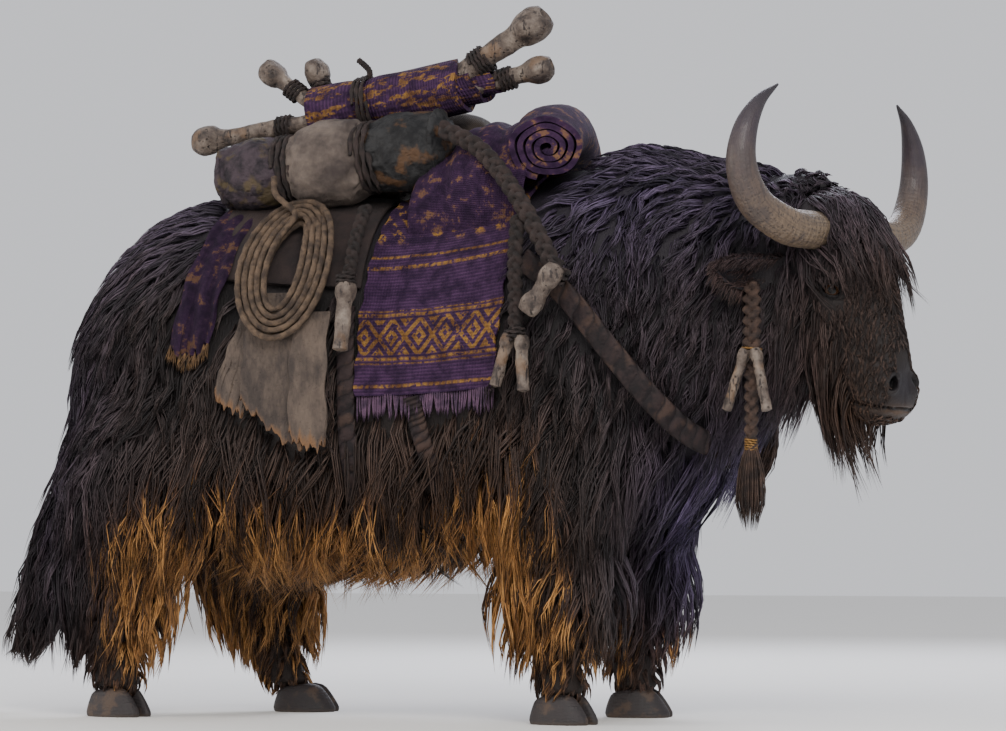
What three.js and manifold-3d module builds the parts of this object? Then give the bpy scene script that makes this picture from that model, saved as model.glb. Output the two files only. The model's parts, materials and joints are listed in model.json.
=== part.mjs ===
// A yak standing under its pack, life size, in millimetres: X ahead, Y to its left, Z up, floor at 0.
import * as THREE from "three";
import { mergeVertices } from "three/addons/utils/BufferGeometryUtils.js";
import Module from "manifold-3d";

const wasm = await Module();
wasm.setup();

// Driving dimensions of the body
const GAP = 0.3;
const REACH = 0.45;
const RUMP_X = -985;
const TOP_COAT = 57;
const SIDE_COAT = 60;
const PACK_COAT = 30;
const PACK_REAR_X = -520;
const PACK_FRONT_X = 330;
const ROOT_SINK = 24;
const SEED = 4127;

// Driving dimensions of the head
const HEAD_AT = [926, -20, 1245];
const HEAD_YAW = -18;
const FACE_PITCH = 66.7;
const POLL = [70, -30];
const EYE_RADIUS = 21;
const EYE_AT = [158, 96, -207];

// Driving dimensions of the legs and feet
const CLAW_LENGTH = 160;
const CLAW_WIDTH = 58;
const CLAW_HEIGHT = 68;
const FOOT_SPLAY = 15;

// Driving dimensions of the pack
const BLANKET_THICK = 24;
const PAD_THICK = 20;
const STRAP_THICK = 12;
const STRAP_RISE = 3;
const BED_IN = 6;

const UP = new THREE.Vector3(0, 0, 1);
const DOWN = new THREE.Vector3(0, 0, -1);
const BACK = new THREE.Vector3(-1, 0, 0);

const vec = (x, y, z) => new THREE.Vector3(x, y, z);
const mix = (a, b, t) => a + (b - a) * t;
const radians = THREE.MathUtils.degToRad;

// Colours and finishes, one for each kind of material
const FINISH = {
  coat: { color: 0x2a2226, roughness: 0.9 },
  face: { color: 0x3a2c2a, roughness: 0.8 },
  horn: { color: 0x8a7a6a, roughness: 0.55 },
  hoof: { color: 0x3b3530, roughness: 0.6 },
  eye: { color: 0x1a100a, roughness: 0.1 },
  blanket: { color: 0x4a2f55, roughness: 0.9 },
  pad: { color: 0x3a2a2e, roughness: 0.95 },
  bone: { color: 0x9a8a78, roughness: 0.7 },
  rope: { color: 0x6e5644, roughness: 0.9 },
  canvas: { color: 0x74685a, roughness: 0.9 },
  leather: { color: 0x2c2522, roughness: 0.6 },
  hide: { color: 0x6b5a48, roughness: 0.8 },
};

// A seeded draw between 0 and 1, so that every build is the same.
function seeded(seed) {
  let state = seed;
  return () => {
    state = (state + 0x6d2b79f5) | 0;
    let value = Math.imul(state ^ (state >>> 15), 1 | state);
    value = (value + Math.imul(value ^ (value >>> 7), 61 | value)) ^ value;
    return ((value ^ (value >>> 14)) >>> 0) / 4294967296;
  };
}

const draw = seeded(SEED);
const about = (value, spread) => value * (1 + spread * (2 * draw() - 1));

// A smooth curve through [place, value] stops, level past both ends.
function profile(stops) {
  const last = stops.length - 1;
  const slope = (k) => {
    const before = stops[Math.max(k - 1, 0)];
    const after = stops[Math.min(k + 1, last)];
    return (after[1] - before[1]) / (after[0] - before[0]);
  };
  return (at) => {
    if (at <= stops[0][0]) return stops[0][1];
    if (at >= stops[last][0]) return stops[last][1];
    let k = 0;
    while (at > stops[k + 1][0]) k += 1;
    const run = stops[k + 1][0] - stops[k][0];
    const t = (at - stops[k][0]) / run;
    const a = 2 * t ** 3 - 3 * t ** 2 + 1;
    const b = t ** 3 - 2 * t ** 2 + t;
    const c = t ** 3 - t ** 2;
    return a * stops[k][1] + b * run * slope(k) + (1 - a) * stops[k + 1][1] + c * run * slope(k + 1);
  };
}

// A closed geometry from points and faces, turned inside out where its volume comes out negative.
function closed(points, faces) {
  let volume = 0;
  for (const [a, b, c] of faces) {
    volume += points[a].dot(points[b].clone().cross(points[c]));
  }
  const index = faces.flatMap(([a, b, c]) => (volume < 0 ? [a, c, b] : [a, b, c]));
  const geometry = new THREE.BufferGeometry().setFromPoints(points);
  geometry.setIndex(index);
  return geometry;
}

// A skin over rings of equally many points; each end is drawn to a middle point or a given tip.
function loft(rings, tips = [null, null]) {
  const count = rings[0].length;
  const points = rings.flat();
  const faces = [];
  for (let row = 0; row + 1 < rings.length; row += 1) {
    for (let k = 0; k < count; k += 1) {
      const a = row * count + k;
      const b = row * count + ((k + 1) % count);
      faces.push([a, b, b + count], [a, b + count, a + count]);
    }
  }
  const middle = (ring) => ring.reduce((sum, p) => sum.add(p), vec(0, 0, 0)).divideScalar(count);
  const first = points.push(tips[0] ?? middle(rings[0])) - 1;
  const last = points.push(tips[1] ?? middle(rings[rings.length - 1])) - 1;
  const start = (rings.length - 1) * count;
  for (let k = 0; k < count; k += 1) {
    faces.push([first, (k + 1) % count, k]);
    faces.push([last, start + k, start + ((k + 1) % count)]);
  }
  return closed(points, faces);
}

// A skin over rings that come round to the first again.
function loop(rings) {
  const count = rings[0].length;
  const faces = [];
  for (let row = 0; row < rings.length; row += 1) {
    const next = ((row + 1) % rings.length) * count;
    for (let k = 0; k < count; k += 1) {
      const other = (k + 1) % count;
      faces.push([row * count + k, row * count + other, next + other]);
      faces.push([row * count + k, next + other, next + k]);
    }
  }
  return closed(rings.flat(), faces);
}

// A ring of points round a middle, on two half axes, rounder or squarer by its power.
function ring(middle, across, along, count, power = 2) {
  return Array.from({ length: count }, (_, k) => {
    const turn = (2 * Math.PI * k) / count;
    const bend = (value) => Math.sign(value) * Math.abs(value) ** (2 / power);
    const point = middle.clone().addScaledVector(across, bend(Math.cos(turn)));
    return point.addScaledVector(along, bend(Math.sin(turn)));
  });
}

// Rings set square to a path, with a half width and half height at each step.
function rod(path, size, sides, facing = UP) {
  const rings = path.map((point, k) => {
    const before = path[Math.max(k - 1, 0)];
    const after = path[Math.min(k + 1, path.length - 1)];
    const ahead = after.clone().sub(before).normalize();
    const side = ahead.clone().cross(facing).normalize();
    const top = side.clone().cross(ahead).normalize();
    const [wide, high] = size(k / (path.length - 1));
    return ring(point, side.multiplyScalar(wide), top.multiplyScalar(high), sides);
  });
  return loft(rings);
}

// A flat strap along points, each with the direction that faces away from the body.
function strap(points, outs, width, thick) {
  const rings = points.map((point, k) => {
    const before = points[Math.max(k - 1, 0)];
    const after = points[Math.min(k + 1, points.length - 1)];
    const ahead = after.clone().sub(before).normalize();
    const side = ahead.cross(outs[k]).normalize().multiplyScalar(width / 2);
    const out = outs[k].clone().normalize().multiplyScalar(thick / 2);
    return [
      point.clone().add(side).add(out),
      point.clone().sub(side).add(out),
      point.clone().sub(side).sub(out),
      point.clone().add(side).sub(out),
    ];
  });
  return loft(rings);
}

// Points at even steps on a smooth curve through a few places.
function route(places, steps) {
  return new THREE.CatmullRomCurve3(places.map((p) => vec(...p))).getPoints(steps);
}

// A round cord of eight sides along a smooth route.
function cord(places, radius, steps) {
  const section = new THREE.Shape();
  for (let k = 0; k < 8; k += 1) {
    const turn = (k * Math.PI) / 4;
    const method = k === 0 ? "moveTo" : "lineTo";
    section[method](radius * Math.cos(turn), radius * Math.sin(turn));
  }
  section.closePath();
  const extrudePath = new THREE.CatmullRomCurve3(places.map((p) => vec(...p)));
  return new THREE.ExtrudeGeometry(section, { steps, bevelEnabled: false, extrudePath });
}

// A bone from end to end: a slim shaft between two double knuckles.
function bone(from, to, shaft, knuckle, sides = 6) {
  const start = vec(...from);
  const end = vec(...to);
  const stations = [0, 0.07, 0.2, 0.8, 0.93, 1];
  const radii = [0.7, 1, 0, 0, 1, 0.7];
  const ahead = end.clone().sub(start).normalize();
  const side = ahead.clone().cross(UP).normalize();
  const top = side.clone().cross(ahead);
  const rings = stations.map((t, k) => {
    const radius = mix(shaft, knuckle, radii[k]);
    const wide = radius * (1 + 0.25 * radii[k]);
    const middle = start.clone().lerp(end, t);
    return ring(middle, side.clone().multiplyScalar(radius * 0.9), top.clone().multiplyScalar(wide), sides);
  });
  return loft(rings);
}

// The way hair lies on a surface: down with its weight and back along the body.
function lie(out, back, ahead = BACK) {
  const way = DOWN.clone().projectOnPlane(out);
  return way.addScaledVector(ahead.clone().projectOnPlane(out), back).normalize();
}

// A flat tapered lock: it leaves its root, lies along the coat, bends with its weight and ends in a tip.
const SHORT_LOCK = [0, 0.5];
const LONG_LOCK = [0, 0.45, 0.8];

function lock(root, out, way, size) {
  const { long, wide, thick = 14, lift = 26, sway = 0, rows = SHORT_LOCK } = size;
  const side = way.clone().cross(out).normalize();
  const places = [
    root.clone().addScaledVector(out, -ROOT_SINK).addScaledVector(way, -0.04 * long),
    root.clone().addScaledVector(out, lift).addScaledVector(way, 0.3 * long),
    root.clone().addScaledVector(out, lift).addScaledVector(way, 0.68 * long).addScaledVector(side, sway / 2),
    root.clone().addScaledVector(out, lift * 0.85).addScaledVector(way, long).addScaledVector(side, sway),
  ];
  const curve = new THREE.CubicBezierCurve3(...places);
  const broad = profile([[0, 0.44], [0.4, 0.42], [0.75, 0.25], [1, 0.05]]);
  const rings = rows.map((t) => {
    const ahead = curve.getTangentAt(t);
    const top = side.clone().cross(ahead).normalize();
    const middle = curve.getPointAt(t).addScaledVector(top, -0.3 * thick);
    const edge = side.clone().multiplyScalar(broad(t) * wide);
    return [middle.clone().add(edge), middle.clone().sub(edge), middle.addScaledVector(top, thick)];
  });
  return loft(rings, [null, places[3]]);
}

// Every second lock of a row lies over its neighbours.
const over = (row, k) => ({ ...row, lift: row.lift + (k % 2) * 20 });

// Places in a row at even steps, each moved a little by the draw.
function scattered(from, to, count, spread = 0.3) {
  const step = (to - from) / count;
  return Array.from({ length: count }, (_, k) => from + step * (k + 0.5 + spread * (2 * draw() - 1)));
}

// Torso: heights and half widths along X, of the coat's tips and of the flesh under it
const torsoTipTop = profile([
  [-1000, 850], [-960, 988], [-903, 1100], [-818, 1226], [-675, 1320], [-400, 1324],
  [0, 1305], [250, 1345], [400, 1400], [557, 1443], [712, 1395],
]);
const torsoTipLow = profile([
  [-985, 700], [-960, 600], [-850, 400], [-700, 300], [-500, 280], [-250, 281],
  [-118, 262], [17, 285], [200, 330], [400, 370], [600, 430], [720, 560],
]);
const torsoFleshLow = profile([
  [-985, 800], [-960, 770], [-850, 690], [-650, 590], [-300, 510], [0, 520],
  [300, 540], [500, 560], [620, 600], [720, 680],
]);
const torsoFleshWide = profile([
  [-985, 20], [-960, 110], [-850, 225], [-650, 288], [-300, 318], [0, 315],
  [300, 308], [500, 270], [620, 205], [700, 120], [720, 50],
]);
const torsoMiddle = profile([
  [-985, 840], [-850, 880], [-650, 900], [-300, 840], [0, 830], [300, 850], [550, 880], [720, 900],
]);
const torsoCoat = profile([
  [PACK_REAR_X - 120, TOP_COAT], [PACK_REAR_X, PACK_COAT], [PACK_FRONT_X, PACK_COAT],
  [PACK_FRONT_X + 90, TOP_COAT],
]);

// A point of the torso: turn 0 on the ridge of the back, positive to the left, 180 under the belly.
function torsoPoint(x, turn, reach) {
  const middle = torsoMiddle(x);
  const top = torsoTipTop(x) - torsoCoat(x) * (1 - reach);
  const low = mix(torsoFleshLow(x), torsoTipLow(x), reach);
  const wide = torsoFleshWide(x) + SIDE_COAT * reach * Math.min(1, (x - RUMP_X) / 60);
  const up = Math.cos(radians(turn));
  const out = Math.sin(radians(turn));
  const power = up > 0 ? 2.15 : 2.7;
  const bend = (value) => Math.sign(value) * Math.abs(value) ** (2 / power);
  const high = up > 0 ? top - middle : middle - low;
  return vec(x, wide * bend(out), middle + high * bend(up));
}

// The outward direction of a surface that is given by a function of two places.
function facing(surface, u, v, stepU, stepV, inside) {
  const alongU = surface(u + stepU, v).sub(surface(u - stepU, v));
  const alongV = surface(u, v + stepV).sub(surface(u, v - stepV));
  const out = alongU.cross(alongV).normalize();
  return out.dot(surface(u, v).sub(inside)) < 0 ? out.negate() : out;
}

function torsoOut(x, turn) {
  const surface = (u, v) => torsoPoint(u, v, REACH);
  return facing(surface, x, turn, 12, 3, vec(x, 0, torsoMiddle(x)));
}

// A point over the torso's core, raised along the outward direction.
function onTorso(x, turn, rise) {
  return torsoPoint(x, turn, REACH).addScaledVector(torsoOut(x, turn), rise);
}

// The turn at which the torso's core has a given height.
function torsoTurn(x, z) {
  let low = 0;
  let high = 180;
  for (let k = 0; k < 24; k += 1) {
    const half = (low + high) / 2;
    if (torsoPoint(x, half, REACH).z > z) low = half;
    else high = half;
  }
  return low;
}

function torsoBody(reach) {
  const stations = [-985, -960, -900, -800, -640, -440, -230, 0, 210, 390, 550, 660, 720];
  const rings = stations.map((x) => Array.from({ length: 16 }, (_, k) => torsoPoint(x, 22.5 * k, reach)));
  return loft(rings);
}

// Whether a place on the torso lies under the pack, where the coat is pressed flat.
function underPack({ x, y, z }) {
  const pad = x > PACK_REAR_X - 25 && x < -80 && z > 985;
  const cloth = x > -115 && x < PACK_FRONT_X + 20 && z > 765;
  const hides = y < 0 && x > -480 && x < -150 && z > 700;
  const rear = y < 0 && x > -625 && x < -420 && z > 880;
  return pad || cloth || hides || rear;
}

// Rows of locks along the torso: turn, count, length, width, lift and how far they lie back
const TORSO_ROWS = [
  { turn: 26, count: 7, long: 240, wide: 170, lift: 30, back: 0.9 },
  { turn: 52, count: 7, long: 300, wide: 180, lift: 32, back: 0.45 },
  { turn: 78, count: 8, long: 340, wide: 175, lift: 36, back: 0.2 },
  { turn: 103, count: 8, long: 300, wide: 180, lift: 32, back: 0.1, skirt: true },
  { turn: 128, count: 5, long: 280, wide: 160, lift: 16, back: 0.05, skirt: true },
];
const RIDGE_ROW = { count: 12, long: 185, wide: 140, lift: 36, back: 1 };
const COAT_FROM = -940;
const COAT_TO = 690;
const SKIRT_FROM = -660;
const SKIRT_TO = 330;

function torsoLock(x, turn, row) {
  const root = torsoPoint(x, turn, REACH);
  const out = torsoOut(x, turn);
  const calm = Math.min(1, 0.2 + (x - RUMP_X) / 260);
  const size = { ...row, wide: about(row.wide, 0.12), lift: row.lift * calm };
  size.long = about(row.long, 0.12) * mix(0.5, 1, calm);
  size.sway = row.long * 0.5 * (draw() - 0.5);
  if (row.skirt) size.long = 1.04 * (root.z - torsoTipLow(x)) + 40 * (draw() - 0.5);
  return lock(root, out, lie(out, row.back * calm), size);
}

function torsoLocks() {
  const ridge = scattered(COAT_FROM, COAT_TO, RIDGE_ROW.count);
  const places = ridge.map((x, k) => [x, 10 * (draw() - 0.5), over(RIDGE_ROW, k)]);
  for (const side of [-1, 1]) {
    for (const row of TORSO_ROWS) {
      const [from, to] = row.skirt ? [SKIRT_FROM, SKIRT_TO] : [COAT_FROM, COAT_TO];
      const spread = scattered(from, to, row.count);
      places.push(...spread.map((x, k) => [x, side * about(row.turn, 0.05), over(row, k)]));
    }
  }
  const open = places.filter(([x, turn]) => !underPack(torsoPoint(x, turn, REACH)));
  return open.map(([x, turn, row]) => torsoLock(x, turn, row));
}

// Neck: from inside the shoulders to inside the skull
const neckTipTop = profile([[560, 1440], [712, 1400], [800, 1384], [880, 1372], [965, 1345]]);
const neckTipLow = profile([[560, 470], [680, 490], [727, 520], [760, 590], [874, 711], [965, 840]]);
const neckTipWide = profile([[560, 325], [700, 282], [800, 240], [900, 200], [965, 165]]);
const neckShift = profile([[700, 0], [965, -25]]);

function neckPoint(x, turn, reach) {
  const top = neckTipTop(x) - TOP_COAT * (1 - reach);
  const low = neckTipLow(x) + 110 * (1 - reach);
  const wide = neckTipWide(x) - 50 * (1 - reach);
  const middle = mix(low, top, 0.55);
  const up = Math.cos(radians(turn));
  const out = Math.sin(radians(turn));
  const high = up > 0 ? top - middle : middle - low;
  return vec(x, neckShift(x) + wide * out, middle + high * up);
}

function neckBody(reach) {
  const stations = [600, 690, 760, 840, 965];
  const rings = stations.map((x) => Array.from({ length: 12 }, (_, k) => neckPoint(x, 30 * k, reach)));
  return loft(rings);
}

// Rows of locks round the neck, short on the crest and long under the throat
const NECK_ROWS = [
  { turn: 46, count: 3, long: 200, lift: 28, back: 0.9 },
  { turn: 86, count: 3, long: 230, lift: 30, back: 0.5 },
  { turn: 126, count: 2, long: 240, lift: 30, back: 0.3 },
];

const NECK_CREST = { long: 190, lift: 44, back: 1.2 };
// Locks that hang from the throat and chest: place along X, turn and the height of the tip
const THROAT = [
  [690, 168, 330], [706, 198, 360], [748, 166, 500], [800, 192, 590], [860, 172, 680], [930, 188, 785],
];

function onNeck(x, turn, rise) {
  const surface = (u, v) => neckPoint(u, v, REACH);
  const out = facing(surface, x, turn, 10, 4, vec(x, 0, surface(x, 90).z));
  return { point: surface(x, turn).addScaledVector(out, rise), out };
}

function neckLocks() {
  const places = [];
  for (const x of scattered(640, 950, 4)) places.push([x, 20 * (draw() - 0.5), NECK_CREST]);
  for (const side of [-1, 1]) {
    for (const row of NECK_ROWS) {
      const spread = scattered(640, 930, row.count);
      places.push(...spread.map((x, k) => [x, side * about(row.turn, 0.06), over(row, k)]));
    }
  }
  const sides = places.map(([x, turn, { long, lift, back }]) => {
    const { point, out } = onNeck(x, turn, 0);
    return lock(point, out, lie(out, back), { long: about(long, 0.12), wide: about(160, 0.12), lift });
  });
  const throat = THROAT.map(([x, turn, tip]) => {
    const { point } = onNeck(x, turn, -ROOT_SINK);
    return lock(point, BACK.clone().negate(), DOWN, { long: point.z - tip, wide: 125, lift: 14 });
  });
  return [...sides, ...throat];
}

// Head: its own directions, and places given ahead of, beside and above the middle of the poll
const yaw = radians(HEAD_YAW);
const AHEAD = vec(Math.cos(yaw), Math.sin(yaw), 0);
const ASIDE = vec(-Math.sin(yaw), Math.cos(yaw), 0);
const pitch = radians(FACE_PITCH);
const FACE_DOWN = AHEAD.clone().multiplyScalar(Math.cos(pitch)).addScaledVector(UP, -Math.sin(pitch));
const FACE_OUT = AHEAD.clone().multiplyScalar(Math.sin(pitch)).addScaledVector(UP, Math.cos(pitch));

function inHead(ahead, aside, up) {
  const point = vec(...HEAD_AT).addScaledVector(AHEAD, ahead).addScaledVector(ASIDE, aside);
  return point.addScaledVector(UP, up);
}

function headWay(ahead, aside, up) {
  return AHEAD.clone().multiplyScalar(ahead).addScaledVector(ASIDE, aside).addScaledVector(UP, up);
}

// Sections of the skull along the face: half width, depth to the front and depth to the back
const skullWide = profile([
  [-55, 45], [-35, 88], [10, 110], [80, 122], [150, 118], [210, 103], [280, 83], [350, 69],
  [410, 67], [450, 75], [485, 76], [508, 62], [518, 36],
]);
const skullFront = profile([
  [-55, 30], [-35, 80], [10, 108], [80, 122], [150, 118], [210, 111], [280, 101], [350, 91],
  [410, 76], [450, 58], [485, 44], [508, 30], [518, 20],
]);
const skullBack = profile([
  [-55, 60], [-35, 110], [10, 150], [80, 165], [150, 165], [210, 155], [280, 138], [350, 115],
  [410, 98], [450, 88], [485, 80], [508, 60], [518, 38],
]);

// A point of the skull: turn 0 on the face, 90 on the left side, 180 under the jaw.
function skullPoint(down, turn, grow = 0) {
  const front = Math.cos(radians(turn));
  const side = Math.sin(radians(turn));
  const depth = (front > 0 ? skullFront(down) : skullBack(down)) + grow;
  const bend = (value) => Math.sign(value) * Math.abs(value) ** 0.92;
  const point = inHead(POLL[0], 0, POLL[1]).addScaledVector(FACE_DOWN, down);
  point.addScaledVector(FACE_OUT, depth * bend(front));
  return point.addScaledVector(ASIDE, (skullWide(down) + grow) * bend(side));
}

function skullOut(down, turn) {
  const inside = inHead(POLL[0], 0, POLL[1]).addScaledVector(FACE_DOWN, down);
  return facing((u, v) => skullPoint(u, v), down, turn, 8, 4, inside);
}

function skull(grow) {
  const stations = [-55, -35, 10, 80, 150, 210, 280, 350, 410, 450, 485, 508, 518];
  return loft(stations.map((s) => Array.from({ length: 12 }, (_, k) => skullPoint(s, 30 * k, grow))));
}

// The forelock hangs over the brow, the crown lies back, cheeks and beard hang from the jaw
function headLocks() {
  const locks = [];
  const grow = (down, turn, way, size) => {
    locks.push(lock(skullPoint(down, turn), skullOut(down, turn), way, size));
  };
  const overFace = (turn) => FACE_DOWN.clone().addScaledVector(ASIDE, turn * 0.006).normalize();
  for (const [down, count, long] of [[-25, 4, 220], [45, 4, 220]]) {
    for (const turn of scattered(-62, 62, count, 0.2)) {
      const size = { long: about(long, 0.1), wide: about(96, 0.12), lift: 46, rows: LONG_LOCK };
      grow(down, turn, overFace(turn), size);
    }
  }
  for (const turn of scattered(-60, 60, 2, 0.2)) {
    const way = lie(skullOut(-20, turn), 1.3, AHEAD.clone().negate());
    grow(-20, turn, way, { long: about(150, 0.12), wide: 120, lift: 66 });
  }
  for (const side of [-1, 1]) {
    const cheek = [[150, 128, 210], [235, 152, 200]];
    for (const [down, turn, long] of cheek) {
      const out = skullOut(down, side * turn);
      grow(down, side * turn, lie(out, 0.25), { long: about(long, 0.12), wide: 105, lift: 16 });
    }
  }
  for (const [down, turn, long] of [[245, 168, 300], [250, 196, 300], [330, 160, 290],
    [335, 200, 290], [400, 180, 250]]) {
    const out = skullOut(down, turn);
    const way = DOWN.clone().addScaledVector(AHEAD, -0.12).normalize();
    grow(down, turn, way, { long: about(long, 0.08), wide: 88, thick: 16, lift: 8 });
  }
  return locks;
}

// The mouth: a line round the muzzle, from the right corner past the front to the left one
const MOUTH = [[184, 66, -472], [236, 67, -482], [284, 49, -491], [309, 20, -496]];
const MOUTH_OUT = [[-0.1, 1], [0.3, 0.95], [0.75, 0.65], [1, 0.25]];

function mouthLine(rise, sink) {
  const right = MOUTH.map(([a, b, c]) => inHead(a, -b, c + rise));
  const left = MOUTH.map(([a, b, c]) => inHead(a, b, c + rise)).reverse();
  const outs = MOUTH_OUT.map(([a, b]) => headWay(a, -b, 0));
  const others = MOUTH_OUT.map(([a, b]) => headWay(a, b, 0)).reverse();
  const points = [...right, ...left];
  const ways = [...outs, ...others];
  points.forEach((point, k) => point.addScaledVector(ways[k].normalize(), -sink));
  return { points, ways };
}

function ball(middle, radii, ways, wide = 8, high = 6) {
  const geometry = new THREE.SphereGeometry(1, wide, high);
  const basis = new THREE.Matrix4().makeBasis(...ways);
  geometry.scale(...radii);
  geometry.applyMatrix4(basis);
  geometry.translate(middle.x, middle.y, middle.z);
  return geometry;
}

const headWays = [AHEAD, ASIDE, UP];

// Horns: round and thick at the base, out and forward, then up and in to the tip
const HORN_PLACES = [[108, 60, -62], [128, 140, -66], [122, 235, -60], [102, 336, -12], [95, 381, 72],
  [100, 372, 156], [110, 327, 226], [120, 265, 270]];
const hornRadius = profile([[0, 47], [0.3, 45], [0.55, 40], [0.75, 30], [0.9, 15], [1, 4]]);

function horn(side) {
  const places = HORN_PLACES.map(([a, b, c]) => inHead(a, side * b, c).toArray());
  const path = route(places, 10);
  return rod(path, (t) => [hornRadius(t), hornRadius(t)], 8, AHEAD);
}

// Ears: a hairy leaf curled into a cup that faces ahead and a little down
function ear(side) {
  const base = inHead(30, side * 112, -140);
  const tip = inHead(-30, side * 318, -150);
  const along = tip.clone().sub(base);
  const open = headWay(0.86, 0, -0.5);
  const across = along.clone().cross(open).normalize();
  const cup = across.clone().cross(along).normalize();
  if (cup.dot(open) < 0) cup.negate();
  const width = profile([[0, 26], [0.25, 38], [0.55, 46], [0.8, 34], [0.95, 12]]);
  const at = (t, turn, share) => {
    const radius = width(t) * share;
    const sag = 14 * Math.sin(Math.PI * t);
    const middle = base.clone().addScaledVector(along, t).addScaledVector(DOWN, sag);
    middle.addScaledVector(across, radius * Math.sin(turn));
    return middle.addScaledVector(cup, width(t) * 0.3 - radius * 0.75 * Math.cos(turn));
  };
  const rings = [0, 0.2, 0.4, 0.6, 0.8, 0.95].map((t) => [
    ...[-1.7, -0.95, 0, 0.95, 1.7].map((turn) => at(t, turn, 1)),
    ...[1.45, 0, -1.45].map((turn) => at(t, turn, 0.74)),
  ]);
  return loft(rings, [at(0, 0, 0.87), at(1, 0, 0.87)]);
}

function eyeball(side) {
  return ball(inHead(EYE_AT[0], side * EYE_AT[1], EYE_AT[2]), [EYE_RADIUS, EYE_RADIUS, EYE_RADIUS],
    headWays, 8, 6);
}

// A lid: a rounded edge laid on the eyeball from corner to corner, above or below.
function lid(side, above) {
  const middle = inHead(EYE_AT[0], side * EYE_AT[1], EYE_AT[2]);
  const out = headWay(0.5, side * 0.86, 0).normalize();
  const across = UP.clone().cross(out).normalize();
  const points = [-80, -40, 0, 40, 80].map((turn) => {
    const swing = radians(turn);
    const lift = Math.cos(swing) * (above ? 0.62 : -0.7);
    const way = out.clone().multiplyScalar(Math.cos(swing * 0.85));
    way.addScaledVector(across, Math.sin(swing) * 0.95).addScaledVector(UP, lift).normalize();
    return middle.clone().addScaledVector(way, EYE_RADIUS - 1);
  });
  return rod(points, (t) => [mix(4, 8, Math.sin(Math.PI * t)), mix(4, 8, Math.sin(Math.PI * t))], 4, out);
}

// Legs: [height, X, half length along X, half width] of the coat's tips and of the leg under it
const LEGS = {
  foreleg: {
    tips: [[70, -12, 88, 76], [140, -58, 122, 98], [240, -62, 192, 126], [390, -36, 250, 148],
      [540, -10, 246, 158], [680, -10, 235, 165], [780, -10, 200, 150]],
    flesh: [[60, 0, 58, 52], [120, -8, 52, 46], [240, -6, 55, 50], [340, -2, 72, 64],
      [460, 0, 92, 80], [560, -10, 125, 100], [680, -20, 155, 115], [780, -20, 150, 110]],
    inward: 10,
  },
  hindleg: {
    tips: [[70, -14, 86, 74], [150, -30, 100, 88], [220, -16, 160, 114], [300, 0, 232, 142],
      [420, 22, 275, 158], [560, 50, 275, 178], [700, 90, 240, 190], [820, 110, 180, 170]],
    flesh: [[60, 0, 60, 52], [120, -12, 56, 48], [240, -20, 62, 54], [340, -34, 82, 66],
      [430, -30, 110, 84], [540, 10, 160, 110], [680, 80, 200, 135], [820, 110, 170, 130]],
    inward: 20,
  },
};
const FEET = {
  foreleg_right: { kind: "foreleg", at: [388, -205], lean: -10, splay: -FOOT_SPLAY },
  foreleg_left: { kind: "foreleg", at: [446, 205], lean: -20, splay: 6 },
  hindleg_right: { kind: "hindleg", at: [-800, -205], lean: 40, splay: -FOOT_SPLAY },
  hindleg_left: { kind: "hindleg", at: [-462, 205], lean: -180, bow: 0.6, splay: 8 },
};

function legColumn(foot, rows) {
  const side = Math.sign(foot.at[1]);
  const top = rows[rows.length - 1][0];
  return rows.map(([z, x, long, wide]) => {
    const climb = (z / top) ** (foot.bow ?? 1.3);
    const y = foot.at[1] - side * LEGS[foot.kind].inward * climb;
    return { middle: vec(foot.at[0] + x + foot.lean * climb, y, z), long, wide };
  });
}

// The outline of a leg at a height, between the flesh and the tips of its coat.
function legAt(foot, z, reach) {
  const kind = LEGS[foot.kind];
  const between = (rows, pick) => profile(legColumn(foot, rows).map((row) => [row.middle.z, pick(row)]))(z);
  const size = (pick) => mix(between(kind.flesh, pick), between(kind.tips, pick), reach);
  return {
    middle: vec(size((row) => row.middle.x), size((row) => row.middle.y), z),
    long: size((row) => row.long),
    wide: size((row) => row.wide),
  };
}

function legPoint(foot, z, turn, reach) {
  const row = legAt(foot, z, reach);
  const swing = radians(turn);
  return row.middle.clone().add(vec(row.long * Math.cos(swing), row.wide * Math.sin(swing), 0));
}

function legBody(foot, reach) {
  const stations = foot.kind === "foreleg"
    ? [62, 130, 240, 380, 550, 740]
    : [62, 130, 240, 380, 560, 780];
  return loft(stations.map((z) => Array.from({ length: 8 }, (_, k) => legPoint(foot, z, 45 * k, reach))));
}

// Rows of hanging locks round each leg: height, count, length and width
const LEG_ROWS = [
  { z: 520, count: 3, long: 250, wide: 190 },
  { z: 365, count: 5, long: 225, wide: 145 },
  { z: 235, count: 5, long: 145, wide: 118 },
  { z: 156, count: 4, long: 88, wide: 92 },
];

function legLocks(foot) {
  const locks = [];
  const surface = (u, v) => legPoint(foot, u, v, REACH);
  for (const { z, count, long, wide } of LEG_ROWS) {
    for (const [k, turn] of scattered(0, 360, count, 0.15).entries()) {
      const out = facing(surface, z, turn, 12, 8, legAt(foot, z, REACH).middle);
      const root = surface(z, turn);
      const lift = 0.95 * legPoint(foot, z - 0.6 * long, turn, 1).sub(root).dot(out);
      const size = over({ long: about(long, 0.1), wide: about(wide, 0.12), lift: Math.max(lift, 14) }, k);
      locks.push(lock(root, out, lie(out, 0.12), size));
    }
  }
  return locks;
}

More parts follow.
